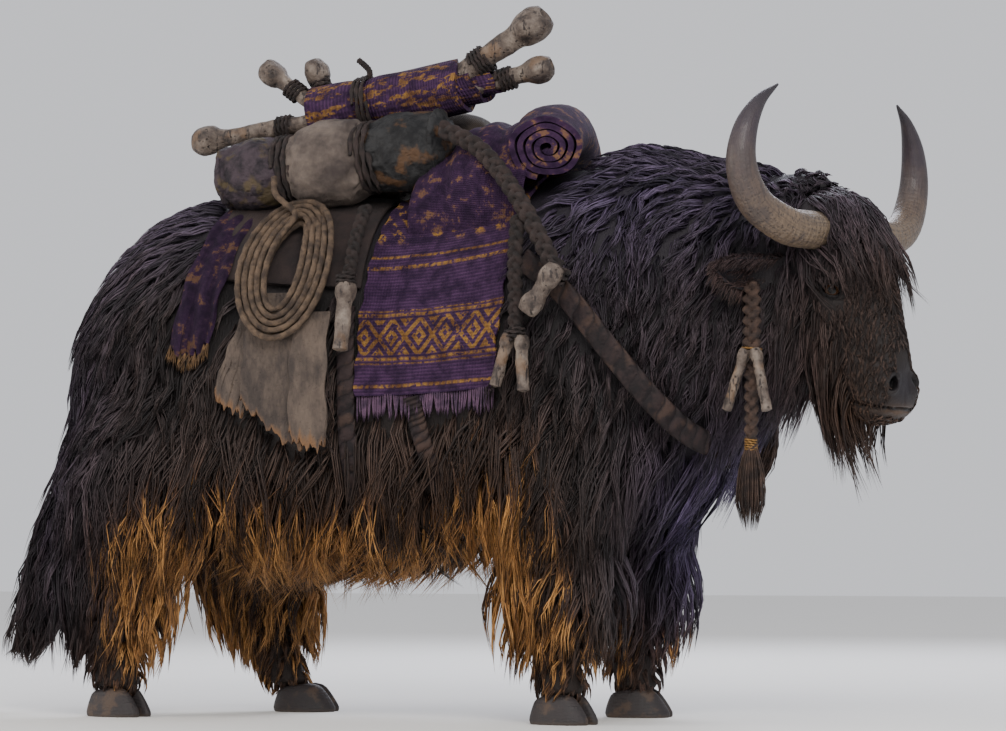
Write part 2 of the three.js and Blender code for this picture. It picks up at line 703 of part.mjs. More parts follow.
// One claw of a cloven foot: flat below, pointed ahead, straight on the side of the cleft.
function claw(foot, outside) {
  const outline = [[-0.46, 0.1], [-0.3, 0], [0.3, 0], [0.54, 0.12], [0.4, 0.72], [0.05, 1], [-0.3, 0.92],
    [-0.47, 0.5]];
  const rows = [[0, 1, 0], [CLAW_HEIGHT * 0.35, 0.95, -3], [CLAW_HEIGHT, 0.72, -14]];
  const swing = radians(foot.splay + outside * 3);
  const rings = rows.map(([z, scale, back]) => outline.map(([a, b]) => {
    const x = a * CLAW_LENGTH * scale + back;
    const y = outside * (6 + b * CLAW_WIDTH * scale);
    const turned = vec(x, y, z).applyAxisAngle(UP, swing);
    return turned.add(vec(...foot.at, 0));
  }));
  return loft(rings);
}

// Tail: a hanging core that widens to a brush near the floor
const TAIL_PLACES = [[-862, 0, 1120], [-900, 0, 1010], [-945, 0, 850], [-1010, 0, 630], [-1088, 0, 400],
  [-1160, 0, 210]];
const tailTip = profile([[0, 40], [0.15, 60], [0.4, 78], [0.75, 98], [0.92, 88], [1, 40]]);

function tailBody(reach) {
  const path = route(TAIL_PLACES, 7);
  return rod(path, (t) => [tailTip(t) * mix(0.3, 1, reach) * 1.2, tailTip(t) * mix(0.3, 1, reach)], 8, BACK);
}

// The brush: rows of locks down the tail, each row hanging past the next
function tailLocks() {
  const locks = [];
  const curve = new THREE.CatmullRomCurve3(TAIL_PLACES.map((p) => vec(...p)));
  for (const t of [0.08, 0.32, 0.56, 0.8]) {
    const middle = curve.getPointAt(t);
    const ahead = curve.getTangentAt(t);
    for (const turn of scattered(0, 360, t < 0.4 ? 3 : 4)) {
      const out = vec(Math.cos(radians(turn)), Math.sin(radians(turn)), 0).projectOnPlane(ahead).normalize();
      const root = middle.clone().addScaledVector(out, tailTip(t) * mix(0.3, 1, REACH));
      const long = Math.min(about(270, 0.1), (root.z - 118) * 0.98);
      const way = ahead.clone().add(DOWN).normalize();
      locks.push(lock(root, out, way, { long, wide: about(105, 0.12), lift: 26 }));
    }
  }
  return locks;
}

// A cloth over the back: rows from one side to the other, each from a rear edge to a front edge.
function drape(turns, rearEdge, frontEdge, columns, thick, hem) {
  const row = (turn, drop) => {
    const at = Math.abs(turn) / 90;
    const xs = Array.from({ length: columns }, (_, k) => mix(rearEdge(at), frontEdge(at), k / (columns - 1)));
    const outer = xs.map((x) => onTorso(x, turn, thick - BED_IN).addScaledVector(DOWN, drop));
    const inner = xs.map((x) => onTorso(x, turn, -BED_IN).addScaledVector(DOWN, drop)).reverse();
    return [...outer, ...inner];
  };
  const rows = turns.map((turn) => row(turn, 0));
  if (hem > 0) {
    rows.unshift(row(turns[0], hem));
    rows.push(row(turns[turns.length - 1], hem));
  }
  return loft(rows);
}

const blanketRear = (at) => mix(-63, -94, at);
const blanketFront = (at) => mix(325, 264, at);
const BLANKET_TURN = 90;
const BLANKET_HEM = 36;
const FRINGE_LENGTH = 62;

function blanket() {
  const turns = Array.from({ length: 11 }, (_, k) => mix(-BLANKET_TURN, BLANKET_TURN, k / 10));
  return drape(turns, blanketRear, blanketFront, 4, BLANKET_THICK, BLANKET_HEM);
}

// The fringe: a strip under each hem, cut into pointed strands.
function fringe(side) {
  const ends = 14;
  const rings = Array.from({ length: ends + 1 }, (_, k) => {
    const x = mix(blanketRear(1) + 5, blanketFront(1) - 5, k / ends);
    const top = onTorso(x, side * BLANKET_TURN, BLANKET_THICK / 2 - BED_IN + 4);
    top.addScaledVector(DOWN, BLANKET_HEM - 5);
    const long = k % 2 === 0 ? FRINGE_LENGTH * 0.25 : about(FRINGE_LENGTH, 0.1);
    const low = top.clone().addScaledVector(DOWN, long);
    const half = vec(0, 6, 0);
    return [top.clone().add(half), top.clone().sub(half), low.clone().sub(half), low.clone().add(half)];
  });
  return loft(rings);
}

function saddlePad() {
  const turns = Array.from({ length: 9 }, (_, k) => mix(-62, 62, k / 8));
  return drape(turns, () => PACK_REAR_X, () => -99, 4, PAD_THICK, 0);
}

// A hide or cloth that hangs on the right side: columns along X, rows down to a ragged edge.
function flap(xs, topZ, lowZs, rise, thick) {
  const rows = [0, 0.35, 0.7, 1].map((t) => {
    const at = (k, lift) => {
      const z = mix(topZ, lowZs[k], t);
      const x = mix(xs[k][0], xs[k][1], t);
      const turn = -Math.min(torsoTurn(x, z), 92);
      const point = onTorso(x, turn, rise + lift);
      return vec(point.x, point.y, z);
    };
    const outer = xs.map((_, k) => at(k, thick));
    const inner = xs.map((_, k) => at(k, 0)).reverse();
    return [...outer, ...inner];
  });
  return loft(rows);
}

// A strap laid on the torso, from place to place as [x, z] on one side.
function sideStrap(places, side, rise) {
  const smooth = route(places.map(([x, z]) => [x, 0, z]), places.length * 2);
  const points = smooth.map((p) => onTorso(p.x, side * torsoTurn(p.x, p.z), rise));
  const outs = smooth.map((p) => torsoOut(p.x, side * torsoTurn(p.x, p.z)));
  return { points, outs };
}

// A girth: from under the pack on the right, down the flank, under the belly and up the left.
function girth(places, width) {
  const right = sideStrap(places, -1, STRAP_RISE);
  const left = sideStrap(places, 1, STRAP_RISE);
  const foot = places[places.length - 1];
  const turns = [150, 165, 180, 195, 210];
  const under = turns.map((turn) => onTorso(foot[0] + 10, -turn, STRAP_RISE));
  const underOut = turns.map((turn) => torsoOut(foot[0] + 10, -turn));
  const points = [...right.points, ...under, ...left.points.reverse()];
  const outs = [...right.outs, ...underOut, ...left.outs.reverse()];
  return strap(points, outs, width, STRAP_THICK);
}

const REAR_GIRTH = [[-128, 1010], [-122, 880], [-120, 720], [-112, 560], [-104, 450]];
const FRONT_GIRTH = [[50, 790], [66, 720], [100, 600], [132, 500]];

// The breast strap: from the pack past the shoulder, round the chest and back on the left.
function breastStrap() {
  const half = [[330, 322, 1120], [434, 330, 1035], [540, 322, 905], [640, 296, 780], [706, 236, 704]];
  const chest = [[742, 150], [752, 165], [756, 180], [752, 195], [742, 210]].map(([x, turn]) => (
    onNeck(x, turn, 4).point.toArray()));
  const right = half.map(([x, y, z]) => [x, -y, z]);
  const left = half.map(([x, y, z]) => [x, y, z]).reverse();
  const points = route([...right, ...chest.reverse(), ...left], 18);
  const outs = points.map((p) => vec((p.x - 450) * 0.5, p.y, 0).normalize().addScaledVector(DOWN, 0.2));
  return strap(points, outs, 58, 16);
}

// A ring of rope drawn round a bundle.
function lashing(middle, ahead, radius, thick, wide) {
  const side = ahead.clone().cross(UP).normalize();
  const top = side.clone().cross(ahead).normalize();
  const rings = Array.from({ length: 12 }, (_, k) => {
    const turn = (2 * Math.PI * k) / 12;
    const out = side.clone().multiplyScalar(Math.cos(turn)).addScaledVector(top, Math.sin(turn));
    const place = middle.clone().addScaledVector(out, radius);
    return ring(place, out.multiplyScalar(thick), ahead.clone().multiplyScalar(wide), 4);
  });
  return loop(rings);
}

// The coil of rope that hangs at the right side of the pack: an upright ring of wound turns.
const COIL = { x: -288, top: 1262, low: 918, half: 125, ring: 44, thick: 26 };

function ropeCoil() {
  const middleZ = (COIL.top + COIL.low) / 2;
  const high = (COIL.top - COIL.low) / 2 - COIL.ring;
  const long = COIL.half - COIL.ring;
  const rings = Array.from({ length: 14 }, (_, k) => {
    const turn = (2 * Math.PI * k) / 14;
    const z = middleZ + high * Math.sin(turn);
    const x = COIL.x + long * Math.cos(turn) - (z - middleZ) * -0.05;
    const out = torsoOut(COIL.x, -torsoTurn(COIL.x, z));
    const place = onTorso(x, -torsoTurn(x, z), PAD_THICK + COIL.thick);
    const across = vec(Math.cos(turn), 0, Math.sin(turn)).projectOnPlane(out).normalize();
    return ring(place, across.multiplyScalar(COIL.ring), out.clone().multiplyScalar(COIL.thick), 6);
  });
  return loop(rings);
}

// A plait that hangs from the cheek and ends in a tassel of hair.
function cheekPlait(side, top, low) {
  const path = route([top, [mix(top[0], low[0], 0.4) + 8, side * 222, mix(top[2], low[2], 0.35)], low], 9);
  const places = path.map((p) => inHead(p.x, p.y, p.z));
  const radius = profile([[0, 12], [0.1, 18], [0.66, 17], [0.78, 32], [0.92, 40], [1, 16]]);
  return rod(places, (t) => [radius(t), radius(t)], 6, AHEAD);
}

function cheekBone(from, to) {
  return bone(inHead(...from).toArray(), inHead(...to).toArray(), 9, 15);
}

// Every node: its name, its finish, the pieces joined in it and the cuts made in it, hardest first
const nodes = [];
const node = (name, finish, pieces, cuts = []) => nodes.push({ name, finish, pieces, cuts });
const SIDES = [["right", -1], ["left", 1]];

for (const [name, side] of SIDES) {
  node(`horn_${name}`, "horn", [horn(side)]);
  node(`eye_${name}`, "eye", [eyeball(side)]);
}
for (const [name, foot] of Object.entries(FEET)) {
  node(`hoof_${name}_outer`, "hoof", [claw(foot, Math.sign(foot.at[1]))]);
  node(`hoof_${name}_inner`, "hoof", [claw(foot, -Math.sign(foot.at[1]))]);
}

// Bones in the load
node("bone_front_long", "bone", [bone([-34, -172, 1552], [296, -76, 1742], 31, 48)]);
node("bone_front_short", "bone", [bone([176, -74, 1574], [302, -46, 1622], 24, 40)]);
node("bone_rear_long", "bone", [bone([-346, -84, 1496], [-660, -70, 1462], 24, 42)]);
node("bone_rear_left", "bone", [bone([-360, -54, 1566], [-470, -60, 1652], 20, 36)]);
node("bone_rear_right", "bone", [bone([-318, -30, 1594], [-348, -20, 1660], 20, 36)]);

// The rolled rug on top and its rope
const RUG = { from: vec(-331, -50, 1518), to: vec(165, -50, 1588), radius: 70 };
const rugWay = RUG.to.clone().sub(RUG.from).normalize();
const rugAt = (t) => RUG.from.clone().lerp(RUG.to, t);
const rugTie = [0.3].map((t) => lashing(rugAt(t), rugWay, RUG.radius + 13, 9, 16));
const rugKnot = cord([[-176, -60, 1622], [-186, -66, 1640], [-206, -70, 1656]], 9, 2);
node("rug_tie", "rope", [...rugTie, rugKnot]);
const rugPath = [0, 0.06, 0.5, 0.94, 1].map((t) => rugAt(t));
node("rug_roll", "blanket", [rod(rugPath, (t) => {
  const end = t === 0 || t === 1 ? 0.84 : 1;
  return [RUG.radius * end, RUG.radius * end];
}, 10)]);

// The long bundle on the right: a canvas middle between two leather cases, tied twice
const BUNDLE = { from: vec(-535, -160, 1352), to: vec(78, -160, 1420), radius: 84 };
const bundleWay = BUNDLE.to.clone().sub(BUNDLE.from).normalize();
const bundleAt = (t) => BUNDLE.from.clone().lerp(BUNDLE.to, t);
const bundlePart = (from, to, sizes) => rod(
  sizes.map((_, k) => bundleAt(mix(from, to, k / (sizes.length - 1)))),
  (t) => {
    const size = sizes[Math.round(t * (sizes.length - 1))];
    return [size, size];
  },
  10,
);
node("bundle_tie_rear", "rope", [lashing(bundleAt(0.31), bundleWay, 96, 9, 11)]);
node("bundle_tie_front", "rope", [lashing(bundleAt(0.66), bundleWay, 98, 9, 11)]);
const SEAM = GAP / BUNDLE.from.distanceTo(BUNDLE.to);
node("bundle_canvas", "canvas", [bundlePart(0.31 + SEAM, 0.66 - SEAM, [82, 98, 103, 98, 84])]);
node("bundle_rear_case", "leather", [bundlePart(0, 0.31, [62, 84, 88, 82])]);
node("bundle_front_case", "leather", [bundlePart(0.66, 1, [84, 92, 90, 66])]);
const leftBundle = [[-520, 105, 1385], [-400, 105, 1398], [-200, 105, 1418], [0, 105, 1436], [70, 105, 1440]];
node("left_bundle", "canvas", [rod(route(leftBundle, 5), (t) => {
  const size = 118 - 46 * Math.abs(2 * t - 1) ** 4;
  return [size, size];
}, 12)]);

// Ropes and charms at the pack's front
const LASH_ROPE = [
  [88, -252, 1452], [190, -268, 1398], [300, -318, 1285], [372, -352, 1180], [430, -372, 1078],
];
node("toggle_bone", "bone", [bone([438, -398, 1092], [362, -398, 985], 20, 30)]);
node("lash_rope", "rope", [cord(LASH_ROPE, 17, 12)]);
const CHARM_DROP = [[318, -336, 1222], [322, -368, 1120], [326, -376, 1020], [328, -382, 930]];
node("front_charm_bone_a", "bone", [bone([316, -392, 935], [282, -394, 812], 11, 18)]);
node("front_charm_bone_b", "bone", [bone([346, -392, 930], [352, -394, 800], 12, 19)]);
node("front_charm_rope", "rope", [cord(CHARM_DROP, 14, 6)]);

// The coil, the hides, the rear cloth and the charm at the right flank
node("charm_bone", "bone", [bone([-112, -372, 1072], [-118, -398, 905], 17, 30)]);
node("charm_rope", "rope", [cord([[-100, -275, 1262], [-106, -325, 1180], [-110, -358, 1090]], 13, 6)]);
node("rope_coil", "rope", [ropeCoil()]);
node("hide_flap_front", "hide", [flap(
  [[-250, -262], [-215, -222], [-180, -186], [-160, -162]], 1000, [700, 676, 664, 684], 30, 12)]);
node("hide_flap_middle", "hide", [flap(
  [[-372, -400], [-330, -340], [-280, -285], [-238, -226]], 1050, [782, 740, 690, 668], 16, 12)]);
node("hide_flap_rear", "hide", [flap(
  [[-400, -478], [-372, -440], [-350, -395]], 1000, [800, 772, 752], 3, 12)]);
node("rear_cloth", "blanket", [flap(
  [[-520, -600], [-490, -560], [-455, -520], [-425, -485]], 1275, [925, 900, 905, 935], 4, 20)]);

// Straps
node("breast_strap", "leather", [breastStrap()]);
node("girth_rear", "leather", [girth(REAR_GIRTH, 46)]);
node("girth_front", "leather", [girth(FRONT_GIRTH, 46)]);

// The rolled front of the blanket over the withers, the blanket and the pad
const withersPlaces = [
  [340, -288, 1352], [330, -150, 1412], [304, 0, 1434], [276, 140, 1412], [248, 262, 1352],
];
const withers = route(withersPlaces, 7);
const fold = route([[238, -236, 1342], [222, 0, 1402], [190, 220, 1342]], 4);
node("withers_roll", "blanket", [rod(withers, () => [92, 88], 10, UP), rod(fold, () => [78, 120], 8, UP)]);
node("blanket", "blanket", [blanket(), fringe(-1), fringe(1)]);
node("saddle_pad", "pad", [saddlePad()]);

// The head's charms
for (const [name, side] of SIDES) {
  const shift = side < 0 ? 0 : -100;
  const top = [4 + shift, side * 205, -190];
  const low = [10 + shift * 3, side * 224, side < 0 ? -784 : -680];
  const knot = side < 0 ? -350 : -330;
  const lean = shift * 1.6;
  node(`cheek_bone_${name}_a`, "bone", [
    cheekBone([14 + lean, side * 246, knot], [-39 + lean, side * 250, knot - 142])]);
  node(`cheek_bone_${name}_b`, "bone", [
    cheekBone([38 + lean, side * 242, knot], [72 + lean, side * 244, knot - 145])]);
  node(`cheek_braid_${name}`, "rope", [cheekPlait(side, top, low)]);
}

// The animal
for (const [name, side] of SIDES) node(`ear_${name}`, "coat", [ear(side)]);

const mouth = mouthLine(0, 0);
const lips = [mouthLine(11, 13), mouthLine(-11, 15)].map(({ points }) => rod(points, () => [15, 11], 4, UP));
const nostrils = SIDES.map(([, side]) => ball(inHead(300, side * 42, -428), [28, 9, 14],
  [headWay(0.8, side * 0.6, 0), headWay(-side * 0.6, 0.8, 0), UP]));
const wings = SIDES.map(([, side]) => ball(inHead(262, side * 42, -424), [36, 26, 30], headWays, 7, 5));
const lids = SIDES.flatMap(([, side]) => [lid(side, true), lid(side, false)]);
node("head", "face", [skull(0), ...lips, ...wings, ...lids, ...headLocks()],
  [...nostrils, strap(mouth.points, mouth.ways, 6, 34)]);
node("neck", "coat", [neckBody(REACH), ...neckLocks()]);
node("torso", "coat", [torsoBody(REACH), ...torsoLocks()]);
for (const [name, foot] of Object.entries(FEET)) {
  node(name, "coat", [legBody(foot, REACH), ...legLocks(foot)]);
}
node("tail", "coat", [tailBody(REACH), ...tailLocks()]);

// Moves every face of a piece outward by a distance, edges and corners following.
function grown(geometry, distance) {
  const shape = welded(geometry);
  const place = shape.getAttribute("position");
  const index = shape.getIndex().array;
  const corner = (k) => vec().fromBufferAttribute(place, k);
  const blank = () => ({ m: new Float64Array(6), r: new Float64Array(3) });
  const sums = Array.from({ length: place.count }, blank);
  for (let k = 0; k < index.length; k += 3) {
    const [a, b, c] = [index[k], index[k + 1], index[k + 2]];
    const n = corner(b).sub(corner(a)).cross(corner(c).sub(corner(a))).normalize();
    for (const at of [a, b, c]) {
      const { m, r } = sums[at];
      [n.x * n.x, n.x * n.y, n.x * n.z, n.y * n.y, n.y * n.z, n.z * n.z].forEach((v, i) => { m[i] += v; });
      [n.x, n.y, n.z].forEach((v, i) => { r[i] += v * distance; });
    }
  }
  sums.forEach(({ m, r }, k) => {
    const soft = 0.003;
    const normal = new THREE.Matrix3().set(
      m[0] + soft, m[1], m[2], m[1], m[3] + soft, m[4], m[2], m[4], m[5] + soft);
    const move = vec(...r).applyMatrix3(normal.invert()).clampLength(0, 4 * distance);
    place.setXYZ(k, place.getX(k) + move.x, place.getY(k) + move.y, place.getZ(k) + move.z);
  });
  return shape;
}

function welded(geometry) {
  const shape = geometry.clone();
  for (const name of ["normal", "uv"]) shape.deleteAttribute(name);
  return mergeVertices(shape, 1e-3);
}

function solid(geometry) {
  const shape = welded(geometry);
  const vertProperties = Float32Array.from(shape.getAttribute("position").array);
  const triVerts = Uint32Array.from(shape.getIndex().array);
  return new wasm.Manifold(new wasm.Mesh({ numProp: 3, vertProperties, triVerts }));
}

const joined = (pieces) => pieces.map(solid).reduce((sum, piece) => sum.add(piece));

// The largest closed surface of a solid, which fills sealed hollows and drops scraps.
function largest(body) {
  return body.decompose().reduce((best, part) => (part.volume() > best.volume() ? part : best));
}

function toGeometry(body) {
  const { vertProperties, triVerts } = body.getMesh();
  const geometry = new THREE.BufferGeometry();
  geometry.setAttribute("position", new THREE.BufferAttribute(vertProperties, 3));
  geometry.setIndex(new THREE.BufferAttribute(triVerts, 1));
  return geometry;
}

// Builds the nodes in order: each is cut clear of all that were made before it.
const yak = new THREE.Group();
const made = [];
for (const { name, finish, pieces, cuts } of nodes) {
  let body = joined(pieces);
  if (cuts.length > 0) body = body.subtract(joined(cuts));
  const box = new THREE.Box3();
  for (const piece of pieces) {
    box.union(new THREE.Box3().setFromBufferAttribute(piece.getAttribute("position")));
  }
  for (const other of made) {
    if (other.box.intersectsBox(box)) body = body.subtract(other.clear);
  }
  made.push({ box: box.clone().expandByScalar(2), clear: joined(pieces.map((p) => grown(p, GAP))) });
  const material = new THREE.MeshStandardMaterial({ ...FINISH[finish], metalness: 0 });
  const mesh = new THREE.Mesh(toGeometry(largest(body)), material);
  mesh.name = name;
  yak.add(mesh);
}

export default yak;
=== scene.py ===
import json
import logging
import math
from dataclasses import dataclass, field
from enum import Enum
from typing import Callable, Sequence

import bpy
import numpy as np
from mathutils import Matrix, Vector
from mathutils.bvhtree import BVHTree
from mathutils.geometry import barycentric_transform

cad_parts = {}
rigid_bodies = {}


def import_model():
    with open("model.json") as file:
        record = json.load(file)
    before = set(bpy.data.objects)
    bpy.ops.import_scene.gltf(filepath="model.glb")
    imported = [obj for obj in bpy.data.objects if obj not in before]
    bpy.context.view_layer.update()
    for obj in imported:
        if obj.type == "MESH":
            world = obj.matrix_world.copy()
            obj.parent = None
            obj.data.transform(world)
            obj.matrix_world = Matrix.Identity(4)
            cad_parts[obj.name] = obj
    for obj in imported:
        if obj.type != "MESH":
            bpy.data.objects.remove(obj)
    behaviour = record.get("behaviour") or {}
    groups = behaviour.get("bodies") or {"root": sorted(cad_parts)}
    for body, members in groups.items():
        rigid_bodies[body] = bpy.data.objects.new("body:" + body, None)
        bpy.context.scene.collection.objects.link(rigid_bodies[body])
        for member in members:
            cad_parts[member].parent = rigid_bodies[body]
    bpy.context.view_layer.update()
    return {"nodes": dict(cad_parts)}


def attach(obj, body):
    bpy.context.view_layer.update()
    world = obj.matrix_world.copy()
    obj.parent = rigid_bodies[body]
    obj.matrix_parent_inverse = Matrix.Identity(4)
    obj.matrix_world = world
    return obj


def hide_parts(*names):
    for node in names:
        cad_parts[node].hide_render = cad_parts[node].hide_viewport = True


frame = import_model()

# A still, life-size pack yak. Routes and profiles are in millimetres, meshes in metres.
log = logging.getLogger("yak")
MM = 0.001
SEED = 4127
# Shares of the way from the flesh to the coat's tips: where the load lies, and the skin
REACH = 0.45
SKIN_REACH = 0.25
RUMP_X = -985
PACK_REAR_X = -520
PACK_FRONT_X = 330
TOP_COAT = 57
# How many frames the stuffing runs, and how near to its ties the cloth is held
CLOTH_STEPS = 20
HELD_WITHIN = 16
UP = np.array([0.0, 0.0, 1.0])
DOWN = -UP
BACK = np.array([-1.0, 0.0, 0.0])
OUTWARD = np.array([0.0, -1.0, 0.0])
SIDES = (("right", -1), ("left", 1))
# One number or an array of them, and a function of a form's two running values, u and v
Numbers = float | np.ndarray
Shape = Callable[[np.ndarray, np.ndarray], np.ndarray]


# Numbers and curves
def mix(a: Numbers, b: Numbers, t: Numbers) -> Numbers:
    """Give the value a share t of the way from a to b."""
    return a + (b - a) * t


def ease(low: float, high: float, at: np.ndarray) -> np.ndarray:
    """Rise smoothly from 0 at low to 1 at high."""
    t = np.clip((np.asarray(at, float) - low) / (high - low), 0, 1)
    return t * t * (3 - 2 * t)


def unit(v: np.ndarray) -> np.ndarray:
    """Give vectors the length 1."""
    return v / np.maximum(np.linalg.norm(v, axis=-1, keepdims=True), 1e-9)


def stack(x: Numbers, y: Numbers, z: Numbers) -> np.ndarray:
    """Join three coordinates into points."""
    return np.stack(np.broadcast_arrays(x, y, z), axis=-1).astype(float)


def bend(value: np.ndarray, power: np.ndarray) -> np.ndarray:
    """Raise a signed value to a power and keep its sign."""
    return np.sign(value) * np.abs(value) ** power


def hump(points: np.ndarray, middle: Sequence[float], size: Sequence[float]) -> np.ndarray:
    """Measure how near points are to a middle, 1 there and 0 far away.

    Args:
        points: Places, one a row.
        middle: The middle of the zone.
        size: The zone's spread along X, Y and Z.

    Returns:
        One share for each point.
    """
    away = (points - np.asarray(middle, float)) / np.asarray(size, float)
    return np.exp(-np.sum(away * away, axis=-1))


class Profile:
    """A smooth curve of one value through named stops."""

    def __init__(self, *stops: tuple[float, float]) -> None:
        """Keep the stops and the slope at each.

        Args:
            stops: Places along the curve, each with its value.
        """
        self.at, self.value = np.array(stops, float).T
        count = np.arange(len(stops))
        before = np.maximum(count - 1, 0)
        after = np.minimum(count + 1, len(stops) - 1)
        self.slope = (self.value[after] - self.value[before]) / (self.at[after] - self.at[before])

    def __call__(self, at: Numbers) -> np.ndarray:
        """Read the curve at one place or many.

        Args:
            at: One place or many.

        Returns:
            The value at each.
        """
        at = np.clip(np.asarray(at, float), self.at[0], self.at[-1])
        k = np.clip(np.searchsorted(self.at, at, side="right") - 1, 0, len(self.at) - 2)
        run = self.at[k + 1] - self.at[k]
        t = (at - self.at[k]) / run
        a = 2 * t ** 3 - 3 * t ** 2 + 1
        b = (t ** 3 - 2 * t ** 2 + t) * run * self.slope[k]
        c = (t ** 3 - t ** 2) * run * self.slope[k + 1]
        return a * self.value[k] + b + (1 - a) * self.value[k + 1] + c


def route(places: Sequence[Sequence[float]], steps: int) -> np.ndarray:
    """Lay a smooth route through places.

    Args:
        places: The points that the route passes.
        steps: The number of stretches to cut it into.

    Returns:
        The route's points, one more than the steps.
    """
    p = np.array(places, float)
    p = np.vstack([2 * p[0] - p[1], p, 2 * p[-1] - p[-2]])
    last = len(p) - 3
    found = []
    for place in np.linspace(0, last, steps + 1):
        k = min(int(place), last - 1)
        t = place - k
        a, b, c, d = p[k:k + 4]
        ab, bc, cd = (max(np.linalg.norm(v), 1e-6) ** 0.5 for v in (b - a, c - b, d - c))
        start = ((b - a) / ab - (c - a) / (ab + bc) + (c - b) / bc) * bc
        end = ((c - b) / bc - (d - b) / (bc + cd) + (d - c) / cd) * bc
        found.append(b + start * t + (3 * (c - b) - 2 * start - end) * t ** 2
                     + (2 * (b - c) + start + end) * t ** 3)
    return np.array(found)


def run_length(path: np.ndarray) -> float:
    """Measure a path from end to end."""
    return float(np.sum(np.linalg.norm(np.diff(path, axis=0), axis=1)))


def runs(path: np.ndarray) -> np.ndarray:
    """Measure how far each point of a path is along it."""
    return np.concatenate([[0], np.cumsum(np.linalg.norm(np.diff(path, axis=0), axis=1))])


def read_at(at: np.ndarray, far: np.ndarray, path: np.ndarray) -> np.ndarray:
    """Read a path, whose points lie at the distances far, at other distances."""
    return np.stack([np.interp(at, far, path[:, k]) for k in range(3)], axis=1)


def evened(path: np.ndarray, count: int) -> np.ndarray:
    """Space the points of a path evenly along it."""
    far = runs(path)
    return read_at(np.linspace(0, far[-1], count), far, path)


def straight(start: np.ndarray, end: np.ndarray, count: int) -> np.ndarray:
    """Lay points evenly from a start to an end."""
    return mix(start, end, np.linspace(0, 1, count)[:, None])


def distance(points: np.ndarray, path: np.ndarray) -> np.ndarray:
    """Give each point's distance from the nearest point of a path."""
    return np.min(np.linalg.norm(points[:, None] - path[None], axis=2), axis=1)


def frames(path: np.ndarray, facing: np.ndarray | None = None) -> tuple[np.ndarray, np.ndarray]:
    """Find two directions across a path at each of its points.

    Args:
        path: The points.
        facing: A direction that the first of them stays square to, or None for the least twist.

    Returns:
        The side and the top direction at each point.
    """
    ahead = unit(np.gradient(path, axis=0))
    if facing is not None:
        side = unit(np.cross(ahead, facing))
        return side, unit(np.cross(side, ahead))
    start = np.cross(ahead[0], UP if abs(ahead[0][2]) < 0.9 else BACK)
    sides = [unit(start)]
    for way in ahead[1:]:
        sides.append(unit(sides[-1] - way * np.dot(sides[-1], way)))
    side = np.array(sides)
    return side, unit(np.cross(side, ahead))


# Mesh work
def deselect() -> None:
    """Leave edit mode and let go of every object."""
    if bpy.context.mode != "OBJECT":
        bpy.ops.object.mode_set(mode="OBJECT")
    bpy.ops.object.select_all(action="DESELECT")


def take(*pieces: bpy.types.Object) -> bpy.types.Object:
    """Select only these pieces and make the first one active.

    Args:
        pieces: The pieces, the active one first.

    Returns:
        The first piece.
    """
    deselect()
    for piece in pieces:
        piece.select_set(True)
    bpy.context.view_layer.objects.active = pieces[0]
    return pieces[0]


def places_of(piece: bpy.types.Object) -> np.ndarray:
    """Read a piece's vertices in millimetres.

    Args:
        piece: The piece.

    Returns:
        One place for each vertex.
    """
    flat = np.empty(len(piece.data.vertices) * 3)
    piece.data.vertices.foreach_get("co", flat)
    return flat.reshape(-1, 3) / MM


def set_places(piece: bpy.types.Object, places: np.ndarray) -> None:
    """Move a piece's vertices to places in millimetres."""
    piece.data.vertices.foreach_set("co", (places * MM).ravel())
    piece.data.update()


def normals_of(piece: bpy.types.Object) -> np.ndarray:
    """Read the direction in which each vertex of a piece faces.

    Args:
        piece: The piece.

    Returns:
        One direction for each vertex.
    """
    flat = np.empty(len(piece.data.vertices) * 3)
    piece.data.vertices.foreach_get("normal", flat)
    return flat.reshape(-1, 3)


def set_attribute(piece: bpy.types.Object, name: str, values: np.ndarray) -> None:
    """Write one number for each vertex of a piece."""
    layer = piece.data.attributes.new(name, "FLOAT", "POINT")
    layer.data.foreach_set("value", np.asarray(values, np.float32))


def modify(piece: bpy.types.Object, kind: str, **settings: object) -> bpy.types.Object:
    """Add one modifier to a piece and apply it.

    Args:
        piece: The piece.
        kind: The modifier's type.
        settings: The modifier's settings.

    Returns:
        The piece.
    """
    take(piece)
    modifier = piece.modifiers.new(kind.title(), kind)
    for key, value in settings.items():
        setattr(modifier, key, value)
    bpy.ops.object.modifier_apply(modifier=modifier.name)
    return piece


